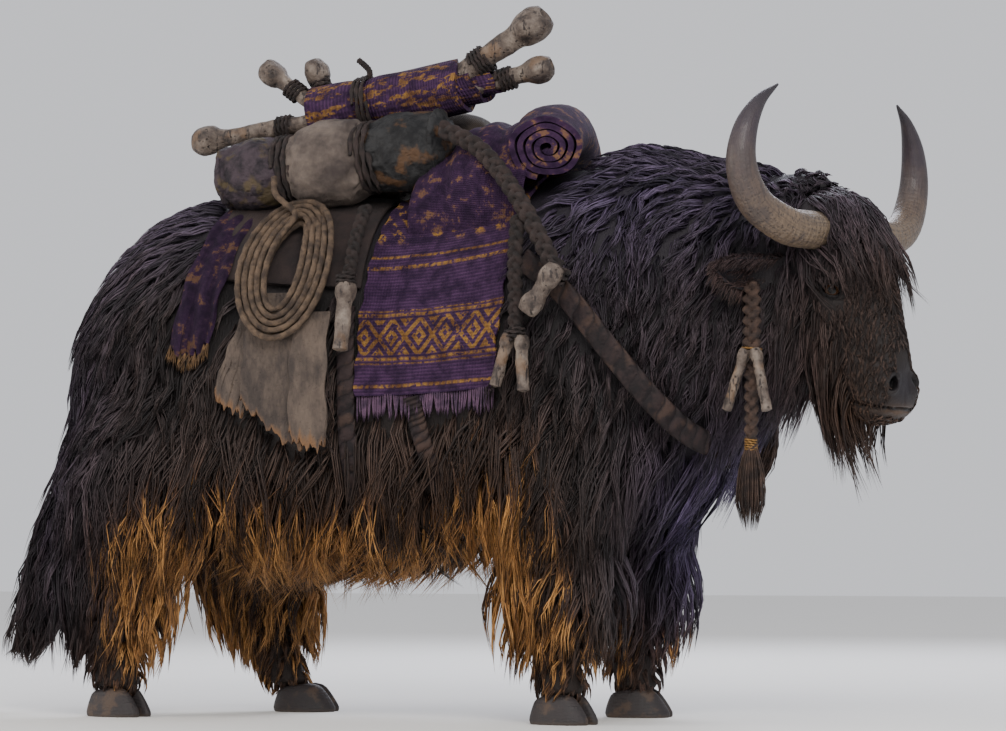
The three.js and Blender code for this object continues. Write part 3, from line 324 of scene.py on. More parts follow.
def puffed(piece: bpy.types.Object, held: np.ndarray, voxel: float = 0.0075, pressure: float = 4.0,
           most: float = 14.0) -> bpy.types.Object:
    """Blow a stuffed piece up as cloth that is held along its ties, and keep the result.

    Args:
        piece: The closed piece, a little smaller than it should be.
        held: Points in millimetres near which the cloth is held.
        voxel: The size of the new faces in metres.
        pressure: The pressure inside.
        most: How far a point may move in millimetres.

    Returns:
        The piece.
    """
    modify(piece, "REMESH", mode="VOXEL", voxel_size=voxel, use_smooth_shade=True)
    before = places_of(piece)
    group = piece.vertex_groups.new(name="held")
    near = np.flatnonzero(distance(before, held) < HELD_WITHIN)
    group.add([int(k) for k in near], 1.0, "REPLACE")
    cloth = piece.modifiers.new("Cloth", "CLOTH")
    settings = cloth.settings
    settings.quality, settings.mass = 5, 0.3
    settings.tension_stiffness = settings.compression_stiffness = 12
    settings.bending_stiffness = 0.4
    settings.shrink_min = -0.10
    settings.use_pressure, settings.uniform_pressure_force = True, pressure
    settings.vertex_group_mass = "held"
    settings.effector_weights.gravity = 0
    cloth.collision_settings.use_collision = False
    for step in range(1, CLOTH_STEPS + 1):
        bpy.context.scene.frame_set(step)
    take(piece)
    bpy.ops.object.modifier_apply(modifier=cloth.name)
    bpy.context.scene.frame_set(1)
    move = places_of(piece) - before
    far = np.linalg.norm(move, axis=1, keepdims=True)
    set_places(piece, before + move * np.minimum(1, most / np.maximum(far, 0.001)))
    piece.vertex_groups.clear()
    modify(piece, "SUBSURF", levels=1, render_levels=1)
    bpy.ops.object.shade_smooth()
    return piece


def joined(name: str, pieces: Sequence[bpy.types.Object]) -> bpy.types.Object:
    """Join pieces into one object of a name.

    Args:
        name: The joined piece's name.
        pieces: The pieces.

    Returns:
        The joined piece.
    """
    piece = take(*pieces)
    if len(pieces) > 1:
        bpy.ops.object.join()
    piece.name = piece.data.name = name
    return piece


def formed(name: str, columns: int, rows: int, shape: Shape,
           merge: float = 0.02) -> bpy.types.Object:
    """Shape a grid into a surface, with its seam and its poles closed.

    Args:
        name: The piece's name.
        columns: Faces round the surface, u from 0 to 1.
        rows: Faces along the surface, v from 0 to 1.
        shape: Gives the places in millimetres for arrays of u and v.
        merge: Vertices nearer than this in millimetres become one.

    Returns:
        The new piece.
    """
    deselect()
    bpy.ops.mesh.primitive_grid_add(x_subdivisions=columns, y_subdivisions=rows, size=2)
    piece = bpy.context.object
    piece.name = piece.data.name = name
    flat = places_of(piece) * MM
    u = np.round((flat[:, 0] + 1) / 2 * columns) / columns
    v = np.round((flat[:, 1] + 1) / 2 * rows) / rows
    set_places(piece, shape(u, v))
    bpy.ops.object.mode_set(mode="EDIT")
    bpy.ops.mesh.select_all(action="SELECT")
    bpy.ops.mesh.remove_doubles(threshold=merge * MM)
    bpy.ops.mesh.normals_make_consistent(inside=False)
    bpy.ops.object.mode_set(mode="OBJECT")
    bpy.ops.object.shade_smooth_by_angle(angle=math.radians(55))
    return piece


def rod(name: str, path: np.ndarray, size: Shape, columns: int = 16,
        facing: np.ndarray | None = None, dimple: float = 0) -> bpy.types.Object:
    """Sweep a closed section along a path and round off both ends.

    Args:
        name: The piece's name.
        path: The middle line.
        size: Gives the radius for arrays of the share along the path and the turn in radians,
            or a pair of radii, across and along the facing direction.
        columns: Faces round the section.
        facing: The direction that the section's first axis stays square to.
        dimple: How far the far end's middle sinks in.

    Returns:
        The new piece.
    """
    side, top = frames(path, facing)
    ahead = unit(np.gradient(path, axis=0))
    last = len(path) - 1
    rows = last + 4

    def shape(u: np.ndarray, v: np.ndarray) -> np.ndarray:
        """Set the section round each point of the path, smaller in the rounded ends."""
        row = np.round(v * rows).astype(int)
        k = np.clip(row - 2, 0, last)
        share = np.select([row == 0, row == 1, row == rows - 1, row == rows], [0, 0.7, 0.7, 0], 1)
        turn = 2 * np.pi * u
        radius = size(k / last, turn)
        wide, high = radius if isinstance(radius, tuple) else (radius, radius)
        small = np.minimum(wide, high)
        sink = np.select([row < 2, row == rows], [-(1 - share) * small * 0.35,
                                                  small * 0.35 - dimple], 0)
        sink = np.where(row == rows - 1, 0.1 * small, sink)
        point = path[k] + side[k] * (wide * share * np.cos(turn))[:, None]
        point = point + top[k] * (high * share * np.sin(turn))[:, None]
        return point + ahead[k] * sink[:, None]

    return formed(name, columns, rows, shape)


def strands(offsets: Sequence[tuple[float, float]], swing: Callable[[np.ndarray, int], tuple],
            thick: float) -> Callable[[np.ndarray, np.ndarray], np.ndarray]:
    """Give the outline of a bundle of round strands about their middle line.

    Args:
        offsets: One entry a strand, the phase and the share of its thickness.
        swing: Gives a strand's place across and deep for the share along and its phase.
        thick: A strand's radius in millimetres.

    Returns:
        A function of the share along and the turn that gives the radius.
    """
    def size(t: np.ndarray, turn: np.ndarray) -> np.ndarray:
        """Give the outline's radius, the furthest strand in each direction."""
        found = np.full(np.shape(turn), thick * 0.35)
        for phase, share in offsets:
            x, y = swing(t, phase)
            reach = x * np.cos(turn) + y * np.sin(turn)
            off = x * np.sin(turn) - y * np.cos(turn)
            room = (thick * share) ** 2 - off ** 2
            found = np.maximum(found, np.where(room > 0, reach + np.sqrt(np.maximum(room, 0)), 0))
        return found
    return size


def twisted(radius: float, plies: int, turns: float) -> Shape:
    """Give the section of a laid rope of some plies that turns along its length.

    Args:
        radius: The rope's radius.
        plies: The number of strands.
        turns: How often they go round.

    Returns:
        The section's radius as a function.
    """
    thick = radius * (0.56 if plies == 3 else 0.52)

    def swing(t: np.ndarray, phase: float) -> tuple:
        """Turn a strand about the middle."""
        at = 2 * np.pi * (turns * t + phase)
        return (radius - thick) * np.cos(at), (radius - thick) * np.sin(at)
    return strands([(k / plies, 1.0) for k in range(plies)], swing, thick)


def plaited(radius: float, crossings: float) -> Shape:
    """Give the section of a three-strand plait with its crossings along its length.

    Args:
        radius: Half the plait's width.
        crossings: The number of crossings.

    Returns:
        The section's radius as a function.
    """
    thick = radius * 0.47

    def swing(t: np.ndarray, phase: float) -> tuple:
        """Swing a strand from side to side."""
        at = 2 * np.pi * (crossings * t / 3 + phase)
        return (radius - thick) * np.sin(at), 0.6 * (radius - thick) * np.sin(2 * at)
    return strands([(k / 3, 1.0) for k in range(3)], swing, thick)


# Shader arithmetic
class Value:
    """A socket of a finish that takes part in plain arithmetic."""

    def __init__(self, graph: "Graph", socket: bpy.types.NodeSocket) -> None:
        """Keep the socket and the graph it belongs to."""
        self.graph = graph
        self.socket = socket

    def math(self, operation: str, *others: "Input") -> "Value":
        """Add a Math node with this value first."""
        inputs = dict(enumerate((self, *others)))
        return self.graph.node("ShaderNodeMath", {"operation": operation}, inputs)

    def __add__(self, other: "Input") -> "Value":
        """Add."""
        return self.math("ADD", other)

    def __mul__(self, other: "Input") -> "Value":
        """Multiply."""
        return self.math("MULTIPLY", other)

    def __sub__(self, other: "Input") -> "Value":
        """Subtract."""
        return self.math("SUBTRACT", other)

    def __rsub__(self, other: "Input") -> "Value":
        """Subtract this from another."""
        return self.graph.node("ShaderNodeMath", {"operation": "SUBTRACT"}, {0: other, 1: self})

    def __truediv__(self, other: "Input") -> "Value":
        """Divide."""
        return self.math("DIVIDE", other)

    __radd__ = __add__
    __rmul__ = __mul__

    def largest(self, *others: "Input") -> "Value":
        """Give the largest of this and others.

        Args:
            others: Values or numbers.

        Returns:
            The largest.
        """
        found = self
        for other in others:
            found = found.math("MAXIMUM", other)
        return found

    def wave(self) -> "Value":
        """Swing between 0 and 1 once for each whole number."""
        return (self * (2 * math.pi)).math("SINE") * 0.5 + 0.5

    def between(self, low: float, high: float) -> "Value":
        """Rise smoothly from 0 at low to 1 at high."""
        return self.graph.node("ShaderNodeMapRange", {"interpolation_type": "SMOOTHSTEP"},
                               {"Value": self, "From Min": low, "From Max": high})

    def band(self, middle: float, half: float, soft: float) -> "Value":
        """Be 1 within a distance of a middle and 0 outside."""
        return 1 - (self - middle).math("ABSOLUTE").between(half - soft, half + soft)


class Graph:
    """The nodes of one finish."""

    def __init__(self, name: str) -> None:
        """Start an empty material.

        Args:
            name: The material's name.
        """
        self.material = bpy.data.materials.new(name)
        self.material.use_nodes = True
        self.tree = self.material.node_tree
        self.tree.nodes.clear()

    def node(self, kind: str, settings: dict | None = None, inputs: dict | None = None,
             output: int | str = 0) -> Value:
        """Add one node.

        Args:
            kind: The node's type.
            settings: Its settings, and stops for a ramp.
            inputs: Values or links of its sockets by name or number.
            output: The socket to hand on.

        Returns:
            The chosen output.
        """
        made = self.tree.nodes.new(kind)
        for key, value in (settings or {}).items():
            if key == "stops":
                ramp = made.color_ramp.elements
                while len(ramp) < len(value):
                    ramp.new(1)
                for stop, (place, colour) in zip(ramp, value):
                    stop.position = place
                    stop.color = (*colour, 1)
            else:
                setattr(made, key, value)
        for key, value in (inputs or {}).items():
            if isinstance(value, Value):
                self.tree.links.new(value.socket, made.inputs[key])
            else:
                made.inputs[key].default_value = value
        return Value(self, made.outputs[output] if made.outputs else None)

    def place(self) -> Value:
        """Give the place on the piece in metres."""
        return self.node("ShaderNodeTexCoord", output="Object")

    def uv(self) -> Value:
        """Give the place on the piece's own unwrap."""
        return self.node("ShaderNodeUVMap")

    def axis(self, vector: Value, number: int) -> Value:
        """Give one coordinate of a vector."""
        return self.node("ShaderNodeSeparateXYZ", inputs={0: vector}, output=number)

    def attribute(self, name: str, output: str = "Fac") -> Value:
        """Give a number or, as Vector, three numbers that the vertices carry."""
        return self.node("ShaderNodeAttribute", {"attribute_name": name}, output=output)

    def along(self, scale: Sequence[float], turn: Sequence[float] = (0, 0, 0),
              vector: Value | None = None) -> Value:
        """Stretch and turn the place or another vector."""
        return self.node("ShaderNodeMapping", inputs={
            "Vector": vector or self.place(), "Scale": tuple(scale), "Rotation": tuple(turn)})

    def noise(self, vector: Value, scale: float, detail: float = 3, rough: float = 0.55) -> Value:
        """Give smooth noise from 0 to 1."""
        return self.node("ShaderNodeTexNoise", inputs={
            "Vector": vector, "Scale": scale, "Detail": detail, "Roughness": rough})

    def cells(self, vector: Value, scale: float) -> Value:
        """Give the distance to scattered points."""
        return self.node("ShaderNodeTexVoronoi", inputs={"Vector": vector, "Scale": scale})

    def tint(self, share: "Input", first: "Input", second: "Input", blend: str = "MIX") -> Value:
        """Mix two colours.

        Args:
            share: The share of the second colour.
            first: The first colour.
            second: The second colour.
            blend: How the second goes over the first.

        Returns:
            The mixed colour.
        """
        def colour(value: "Input") -> "Input":
            """Give three numbers the fourth that a colour socket has."""
            return value if isinstance(value, Value) else (*value, 1)
        return self.node("ShaderNodeMix", {"data_type": "RGBA", "blend_type": blend},
                         {0: share, 6: colour(first), 7: colour(second)}, output=2)

    def surface(self, colour: "Input", roughness: "Input", height: Value | None = None,
                depth: float = 0.002, **constants: float) -> bpy.types.Material:
        """Finish the material.

        Args:
            colour: The base colour, a value or three numbers.
            roughness: The roughness.
            height: The relief, 0 low and 1 high.
            depth: How deep the relief is in metres.
            constants: Other sockets of the shader, with spaces as underscores.

        Returns:
            The material.
        """
        inputs = {"Base Color": colour if isinstance(colour, Value) else (*colour, 1),
                  "Roughness": roughness}
        inputs.update({key.replace("_", " "): value for key, value in constants.items()})
        if height is not None:
            inputs["Normal"] = self.node("ShaderNodeBump", inputs={
                "Strength": 1.0, "Distance": depth, "Height": height})
        shader = self.node("ShaderNodeBsdfPrincipled", inputs=inputs)
        self.node("ShaderNodeOutputMaterial", inputs={"Surface": shader})
        return self.material


Input = Value | float | Sequence[float]


# Finishes
@dataclass(frozen=True)
class Finish:
    """A finish that is made once and shared by its pieces."""

    name: str

    def make(self, graph: Graph) -> bpy.types.Material:
        """Build the nodes."""
        raise NotImplementedError

    def dress(self, *pieces: bpy.types.Object) -> None:
        """Give pieces this finish.

        Args:
            pieces: The pieces.
        """
        name = f"{self.name}_finish"
        material = bpy.data.materials.get(name) or self.make(Graph(name))
        for piece in pieces:
            piece.data.materials.clear()
            piece.data.materials.append(material)


@dataclass(frozen=True)
class Coat(Finish):
    """Hair: painted dark at the root as shade, with golden tips low on the body, partly rusty hair
    and partly painted warm light from below, and a painted violet sheen on the back and chest.
    """

    name: str = "coat"
    hair: bool = True

    def make(self, graph: Graph) -> bpy.types.Material:
        """Build the nodes for the locks or for the skin under them.

        Args:
            graph: Takes the nodes.

        Returns:
            The finished material.
        """
        tip, shade = graph.attribute("tip"), graph.attribute("shade")
        gold, cool = graph.attribute("gold"), graph.attribute("cool")
        brown = graph.attribute("brown")
        place = graph.place()
        patch = graph.noise(place, 6.0, 2)
        mottle = graph.noise(place, 60.0, 3)
        dark = graph.tint(shade, (0.013, 0.010, 0.011), (0.072, 0.052, 0.050))
        warm = graph.tint(shade, (0.028, 0.014, 0.009), (0.135, 0.074, 0.045))
        # Painted violet sheen: the rim light on the chest and the light on the back, painted into
        # the hair's colour
        painted_violet = graph.tint(shade, (0.025, 0.018, 0.048), (0.190, 0.136, 0.300))
        base = graph.tint(brown, dark, warm)
        base = graph.tint(cool * (0.55 + patch * 0.6), base, painted_violet)
        # The golden tips are partly rusty hair and partly painted warm light from below, brightest
        # at the tips as painted highlights
        lit = gold * 1.35 + tip * 0.7 + (patch - 0.5) * 1.2 + (shade - 0.45) * 1.2
        glow = (lit - 0.84).between(0.0, 0.85) * gold.between(0.04, 0.4)
        rust = graph.tint(shade, (0.060, 0.023, 0.009), (0.190, 0.078, 0.026))
        warm_lit_gold = graph.tint(shade, (0.340, 0.140, 0.036), (0.880, 0.460, 0.150))
        rust_and_warm_light = graph.tint((glow * (0.5 + tip * 0.6)).between(0.35, 1.0), rust, warm_lit_gold)
        colour = graph.tint(glow, base, rust_and_warm_light)
        # The roots are painted darker as shade and the tips lighter as light, and violet where the
        # sheen is painted
        ends = graph.tint(cool, (0.150, 0.100, 0.078), (0.170, 0.150, 0.270))
        colour = graph.tint((tip - 0.5).between(0.0, 0.5) * shade * 0.5, colour, ends)
        if self.hair:
            fibre = graph.noise(graph.attribute("fibre", "Vector"), 0.75, 2, 0.6)
            # The dark gaps between the fibres are painted shade between the hairs
            gap = 1 - fibre.between(0.34, 0.56)
            colour = graph.tint(gap * 0.8, colour, (0.003, 0.0025, 0.003))
            return graph.surface(colour, 0.5 + mottle * 0.2, fibre, 0.0022,
                                 Specular_IOR_Level=0.35)
        leather = graph.attribute("leather")
        grain = graph.noise(graph.along((1, 1, 0.35)), 260.0, 3)
        pores = graph.cells(place, 340.0)
        # The skin's own dark tone is deepened nearly to black as painted shade under the locks
        colour = graph.tint(0.84, colour, (0.003, 0.0025, 0.003))
        nose = graph.tint(mottle, (0.004, 0.003, 0.005), (0.015, 0.011, 0.016))
        ochre = graph.tint(mottle, (0.050, 0.025, 0.011), (0.190, 0.100, 0.042))
        nose = graph.tint(graph.attribute("ochre"), nose, ochre)
        colour = graph.tint(leather, colour, nose)
        # Painted shade inside the nostrils and along the mouth's line, and the dark rims of the
        # lids
        colour = graph.tint(graph.attribute("deep"), colour, (0.003, 0.002, 0.003))
        height = grain * (1 - leather) + leather * (pores.between(0.0, 0.5) * 0.4
                                                    + graph.noise(place, 90.0, 3) * 0.5)
        return graph.surface(colour, 0.66 - leather * 0.2, height, 0.0035, Specular_IOR_Level=0.35)


@dataclass(frozen=True)
class Horn(Finish):
    """Horn: grey-tan with growth rings at the base, dark and smooth towards the tip."""

    name: str = "horn"

    def make(self, graph: Graph) -> bpy.types.Material:
        """Build the nodes; v runs from the root to the tip.

        Args:
            graph: Takes the nodes.

        Returns:
            The finished material.
        """
        along = graph.axis(graph.uv(), 1)
        place = graph.place()
        mottle = graph.noise(place, 38.0, 5, 0.65)
        streak = graph.noise(graph.along((26, 3, 1), vector=graph.uv()), 2.4, 4)
        ramp = graph.node("ShaderNodeValToRGB", {"stops": [
            (0.0, (0.055, 0.038, 0.027)), (0.12, (0.150, 0.108, 0.070)),
            (0.34, (0.135, 0.092, 0.058)), (0.56, (0.070, 0.048, 0.040)),
            (0.74, (0.030, 0.020, 0.028)), (1.0, (0.009, 0.007, 0.013))]},
            {0: along + (mottle - 0.5) * 0.30})
        pits = graph.cells(place, 120.0).between(0.16, 0.42)
        ring = (along * 46 + mottle * 1.3).wave()
        fade = 1 - along.between(0.35, 0.75)
        colour = graph.tint(streak.between(0.42, 0.7) * 0.6, ramp, (0.030, 0.021, 0.020))
        colour = graph.tint((1 - pits) * 0.6 * fade, colour, (0.022, 0.015, 0.014))
        colour = graph.tint((1 - ring) * fade * 0.12, colour, (0.032, 0.022, 0.018))
        blotch = (graph.noise(graph.along((1, 1, 0.5)), 17.0, 4, 0.7) - 0.52).between(0.0, 0.12)
        colour = graph.tint(blotch * 0.65, colour, (0.034, 0.024, 0.024))
        height = ring * fade * 0.22 + pits * 0.3 * fade + mottle * 0.5 + streak * 0.4
        return graph.surface(colour, 0.42 + mottle * 0.25, height, 0.004, Coat_Weight=0.08)


@dataclass(frozen=True)
class Hoof(Finish):
    """Hoof: dark grey horn with rings and mud at the edge."""

    name: str = "hoof"

    def make(self, graph: Graph) -> bpy.types.Material:
        """Build the nodes.

        Args:
            graph: Takes the nodes.

        Returns:
            The finished material.
        """
        place = graph.place()
        rise = graph.axis(place, 2)
        mottle = graph.noise(place, 55.0, 4)
        rings = (rise * 120 + mottle * 2.2).wave()
        fine = graph.noise(graph.along((1, 1, 0.12)), 190.0, 2)
        colour = graph.tint(mottle, (0.006, 0.005, 0.006), (0.030, 0.022, 0.023))
        grime = graph.noise(place, 21.0, 4, 0.65)
        colour = graph.tint((grime - 0.5).between(0.0, 0.15) * 0.7, colour, (0.070, 0.042, 0.026))
        sole = (0.012 - rise).between(0.0, 0.012)
        colour = graph.tint(sole * 0.5, colour, (0.070, 0.050, 0.036))
        return graph.surface(colour, 0.55 + mottle * 0.2, rings * 0.12 + fine * 0.5 + grime, 0.003)


@dataclass(frozen=True)
class Eye(Finish):
    """Eye: dark amber round a black pupil under a wet surface; v runs from the pupil outwards."""

    name: str = "eye"

    def make(self, graph: Graph) -> bpy.types.Material:
        """Build the nodes.

        Args:
            graph: Takes the nodes.

        Returns:
            The finished material.
        """
        out = graph.axis(graph.uv(), 1)
        rays = graph.noise(graph.along((60, 3, 1), vector=graph.uv()), 3.0, 3)
        iris = graph.tint(rays, (0.012, 0.006, 0.004), (0.052, 0.024, 0.011))
        colour = graph.tint(out.between(0.27, 0.31), iris, (0.010, 0.006, 0.005))
        colour = graph.tint(1 - out.between(0.15, 0.17), colour, (0.001, 0.001, 0.001))
        return graph.surface(colour, 0.2, Specular_IOR_Level=0.2, Coat_Weight=0.2,
                             Coat_Roughness=0.05)


@dataclass(frozen=True)
class Bone(Finish):
    """Old bone: grey-tan, pitted and cracked, with painted shade in the hollow of its end and
    painted warm highlights.
    """

    name: str = "bone"

    def make(self, graph: Graph) -> bpy.types.Material:
        """Build the nodes.

        Args:
            graph: Takes the nodes.

        Returns:
            The finished material.
        """
        place = graph.place()
        mottle = graph.noise(place, 24.0, 5, 0.62)
        fine = graph.noise(place, 150.0, 3)
        pits = graph.cells(place, 62.0).between(0.05, 0.26)
        colour = graph.node("ShaderNodeValToRGB", {"stops": [
            (0.34, (0.024, 0.017, 0.015)), (0.45, (0.070, 0.051, 0.041)),
            (0.56, (0.130, 0.102, 0.084)), (0.72, (0.235, 0.192, 0.155))]}, {0: mottle})
        # Warm orange patches are painted highlights
        colour = graph.tint((graph.noise(place, 13.0, 3) - 0.58).between(0.0, 0.1) * 0.35, colour,
                            (0.170, 0.085, 0.030))
        crack = graph.noise(graph.along((1, 1, 0.22)), 90.0, 3, 0.6)
        colour = graph.tint(1 - crack.between(0.36, 0.42), colour, (0.022, 0.015, 0.013))
        colour = graph.tint((1 - pits) * 0.75, colour, (0.022, 0.015, 0.012))
        # The end's hollow is painted dark as shade
        colour = graph.tint(graph.attribute("hollow"), colour, (0.016, 0.010, 0.010))
        colour = graph.tint((fine - 0.55).between(0.0, 0.15) * 0.4, colour, (0.140, 0.100, 0.075))
        return graph.surface(colour, 0.72, pits * 0.7 + mottle + crack * 0.5 + fine * 0.2, 0.005)


class Pattern(Enum):
    """What is woven into a cloth."""

    BLANKET = "blanket"
    BANDS = "bands"
    PLAIN = "plain"


@dataclass(frozen=True)
class Weave(Finish):
    """Purple wool cloth with ochre-gold woven patterns, in the cloth's own u and v."""

    name: str = "blanket_weave"
    pattern: Pattern = Pattern.BLANKET
    width: float = 0.38
    length: float = 1.55
    rib: float = 0.0085

    def make(self, graph: Graph) -> bpy.types.Material:
        """Build the nodes: ribs, threads, and the pattern by the distance from the hem.

        Args:
            graph: Takes the nodes.

        Returns:
            The finished material.
        """
        turn, v = (graph.axis(graph.uv(), k) for k in (0, 1))
        across = turn * self.width
        place = graph.place()
        wobble = (graph.noise(place, 14.0, 3) - 0.5) * 0.006
        hem = v.math("MINIMUM", 1 - v) * self.length + wobble
        thread = (hem / self.rib).wave()
        warp = (across / (self.rib * 0.9)).wave()
        fuzz = graph.noise(place, 210.0, 2)
        wear = graph.noise(place, 30.0, 4, 0.62)
        purple = graph.tint(wear.between(0.3, 0.7), (0.016, 0.006, 0.020), (0.066, 0.028, 0.074))
        purple = graph.tint(thread * 0.5 + fuzz * 0.3, purple, (0.011, 0.004, 0.021))
        gold = graph.tint(wear.between(0.3, 0.7), (0.080, 0.034, 0.011), (0.250, 0.132, 0.032))
        gold = graph.tint(fuzz * 0.6 * (1 - thread), gold, (0.060, 0.026, 0.014))
        if self.pattern is Pattern.BLANKET:
            mask = self.band_pattern(across, hem, wear)
        elif self.pattern is Pattern.BANDS:
            mask = self.roll_pattern(turn, wear)
        else:
            mask = (wear - 0.54).between(0.0, 0.08) * 0.5
        ragged = (graph.noise(place, 95.0, 3) - 0.36).between(0.0, 0.12)
        colour = graph.tint(mask * ragged, purple, gold)
        height = thread * 0.5 + warp * 0.35 + fuzz * 0.35
        return graph.surface(colour, 0.92, height, 0.0032, Specular_IOR_Level=0.2)

    def band_pattern(self, across: Value, hem: Value, wear: Value) -> Value:
        """Draw the hem line, the diamond band, the double stripes and the worn figures above.

        Args:
            across: The place across the cloth in metres.
            hem: The distance from the hem in metres.
            wear: Smooth noise that leaves the upper figures in patches.

        Returns:
            How much gold shows.
        """
        cell = (across / 0.074 + 0.25).math("FRACT") - 0.5
        middle, half = 0.142, 0.044
        diamond = cell.math("ABSOLUTE") * 2 + (hem - middle).math("ABSOLUTE") / half
        figure = diamond.band(1.0, 0.18, 0.05).largest(
            diamond.band(0.36, 0.17, 0.04), diamond.band(1.74, 0.2, 0.04))
        figure = figure * hem.band(middle, half, 0.002)
        first, *others = (hem.band(at, thick, 0.002) for at, thick in (
            (0.196, 0.0042), (0.088, 0.0042), (0.022, 0.004), (0.206, 0.0016), (0.076, 0.0016),
            (0.322, 0.0046), (0.352, 0.0036)))
        lines = first.largest(*others)
        dash = ((across / 0.017) * (2 * math.pi)).math("SINE")
        lines = lines * (0.55 + dash.between(-0.9, 0.1) * 0.45)
        worn = (wear - 0.485).between(0.0, 0.05) * hem.between(0.385, 0.41)
        check = ((across + hem * 0.8) / 0.052).math("FRACT").band(0.5, 0.26, 0.08)
        return lines.largest(figure, worn * check)

    def roll_pattern(self, turn: Value, wear: Value) -> Value:
        """Draw worn gold streaks along a roll, in bands round it.

        Args:
            turn: The place across the cloth, 0 to 1.
            wear: Smooth noise that makes the gold uneven.

        Returns:
            How much gold shows.
        """
        graph = turn.graph
        streak = graph.noise(graph.along((62, 7, 1), vector=graph.uv()), 1.0, 3, 0.6)
        band = (turn * 6.8 + 0.1).math("FRACT").band(0.5, 0.34, 0.12)
        return band * (streak - 0.50).between(0.0, 0.06) * (0.35 + wear)


@dataclass(frozen=True)
class Canvas(Finish):
    """Heavy cloth in one colour range with a plain weave and stains."""

    name: str = "canvas"
    low: tuple[float, float, float] = (0.040, 0.029, 0.027)
    high: tuple[float, float, float] = (0.215, 0.170, 0.140)

    def make(self, graph: Graph) -> bpy.types.Material:
        """Build the nodes.

        Args:
            graph: Takes the nodes.

        Returns:
            The finished material.
        """
        place = graph.place()
        stain = graph.noise(place, 12.0, 5, 0.65)
        fine = graph.noise(place, 170.0, 2)
        warp = ((graph.axis(place, 0) * 1500).math("SINE")
                * (graph.axis(place, 2) * 1500).math("SINE")) * 0.5 + 0.5
        colour = graph.tint(stain.between(0.3, 0.72), self.low, self.high)
        colour = graph.tint(fine * 0.4 + warp * 0.25, colour, self.low)
        crumple = graph.cells(graph.along((1, 1, 1.3)), 21.0)
        height = warp * 0.3 + fine * 0.4 + stain * 0.7 + crumple * 1.6
        return graph.surface(colour, 0.9, height, 0.006)


@dataclass(frozen=True)
class Leather(Finish):
    """Worn leather: creased, mottled, lighter on its ridges."""

    name: str = "leather"
    dark: tuple[float, float, float] = (0.018, 0.014, 0.016)
    middle: tuple[float, float, float] = (0.062, 0.045, 0.042)
    patch: tuple[float, float, float] = (0.200, 0.110, 0.045)
    wraps: float = 0.0

    def make(self, graph: Graph) -> bpy.types.Material:
        """Build the nodes; wraps winds a lace round a strap every so many metres of its length.

        Args:
            graph: Takes the nodes.

        Returns:
            The finished material.
        """
        place = graph.place()
        mottle = graph.noise(place, 26.0, 5, 0.66)
        crease = graph.cells(graph.along((1, 1, 1.6)), 55.0)
        fine = graph.noise(place, 190.0, 3)
        colour = graph.tint(mottle.between(0.34, 0.66), self.dark, self.middle)
        colour = graph.tint((graph.noise(place, 17.0, 4) - 0.52).between(0.0, 0.12) * 0.7,
                            colour, self.patch)
        height = mottle * 0.8 + crease.between(0.0, 0.5) * 0.4 + fine * 0.3
        if self.wraps:
            run = graph.axis(graph.uv(), 1) * self.wraps + graph.axis(graph.uv(), 0) * 2
            wind = (run.math("FRACT") - 0.5).math("ABSOLUTE") * 2
            # The grooves between the turns of the lace are painted dark as shade
            colour = graph.tint(wind.between(0.7, 1.0) * 0.8, colour, (0.010, 0.007, 0.008))
            height = height * 0.6 + (1 - wind * wind) * 1.2
        return graph.surface(colour, 0.62 + mottle * 0.2, height, 0.0045, Specular_IOR_Level=0.25)


@dataclass(frozen=True)
class Rope(Finish):
    """Twisted fibre; the plies are in the mesh, and the fibres run along them."""

    name: str = "rope"
    low: tuple[float, float, float] = (0.028, 0.017, 0.011)
    high: tuple[float, float, float] = (0.175, 0.115, 0.072)
    lay: float = 9.0

    def make(self, graph: Graph) -> bpy.types.Material:
        """Build the nodes.

        Args:
            graph: Takes the nodes.

        Returns:
            The finished material.
        """
        place = graph.place()
        run = graph.axis(graph.uv(), 0) * 26 + graph.axis(graph.uv(), 1) * self.lay * 60
        fibre = run.wave()
        mottle = graph.noise(place, 40.0, 4, 0.6)
        fine = graph.noise(place, 330.0, 2)
        colour = graph.tint(mottle.between(0.3, 0.7), self.low, self.high)
        colour = graph.tint(fibre * 0.25 + fine * 0.45, colour, self.low)
        return graph.surface(colour, 0.85, fibre * 0.35 + fine * 0.6, 0.0016)


@dataclass(frozen=True)
class Hide(Finish):
    """Rough hide: grey-tan, with a torn golden edge; v runs from the hanging edge down."""

    name: str = "hide"
    edge: float = 0.91

    def make(self, graph: Graph) -> bpy.types.Material:
        """Build the nodes.

        Args:
            graph: Takes the nodes.

        Returns:
            The finished material.
        """
        down = graph.axis(graph.uv(), 1)
        place = graph.place()
        mottle = graph.noise(graph.along((1, 1, 0.5)), 17.0, 5, 0.66)
        fine = graph.noise(graph.along((1, 1, 0.3)), 160.0, 3)
        colour = graph.tint(mottle.between(0.3, 0.7), (0.024, 0.017, 0.015), (0.125, 0.092, 0.070))
        rim = (down + (mottle - 0.5) * 0.35).between(self.edge, 1.02)
        colour = graph.tint(rim * 0.8, colour, (0.185, 0.085, 0.026))
        colour = graph.tint(fine * 0.5, colour, (0.030, 0.021, 0.018))
        pits = graph.cells(place, 90.0).between(0.0, 0.4)
        return graph.surface(colour, 0.84, mottle + fine * 0.5 + pits * 0.3, 0.005)


@dataclass(frozen=True)
class Plain(Finish):
    """A surface of one colour with slight mottling, such as the floor or a metal wrap."""

    name: str = "floor"
    colour: tuple[float, float, float] = (0.80, 0.79, 0.77)
    roughness: float = 0.9
    metal: float = 0.0

    def make(self, graph: Graph) -> bpy.types.Material:
        """Build the nodes.

        Args:
            graph: Takes the nodes.

        Returns:
            The finished material.
        """
        mottle = graph.noise(graph.place(), 3.0 if self.metal == 0 else 160.0, 3)
        darker = tuple(c * (0.97 if self.metal == 0 else 0.4) for c in self.colour)
        return graph.surface(graph.tint(mottle, darker, self.colour), self.roughness,
                             mottle, 0.0004, Metallic=self.metal)


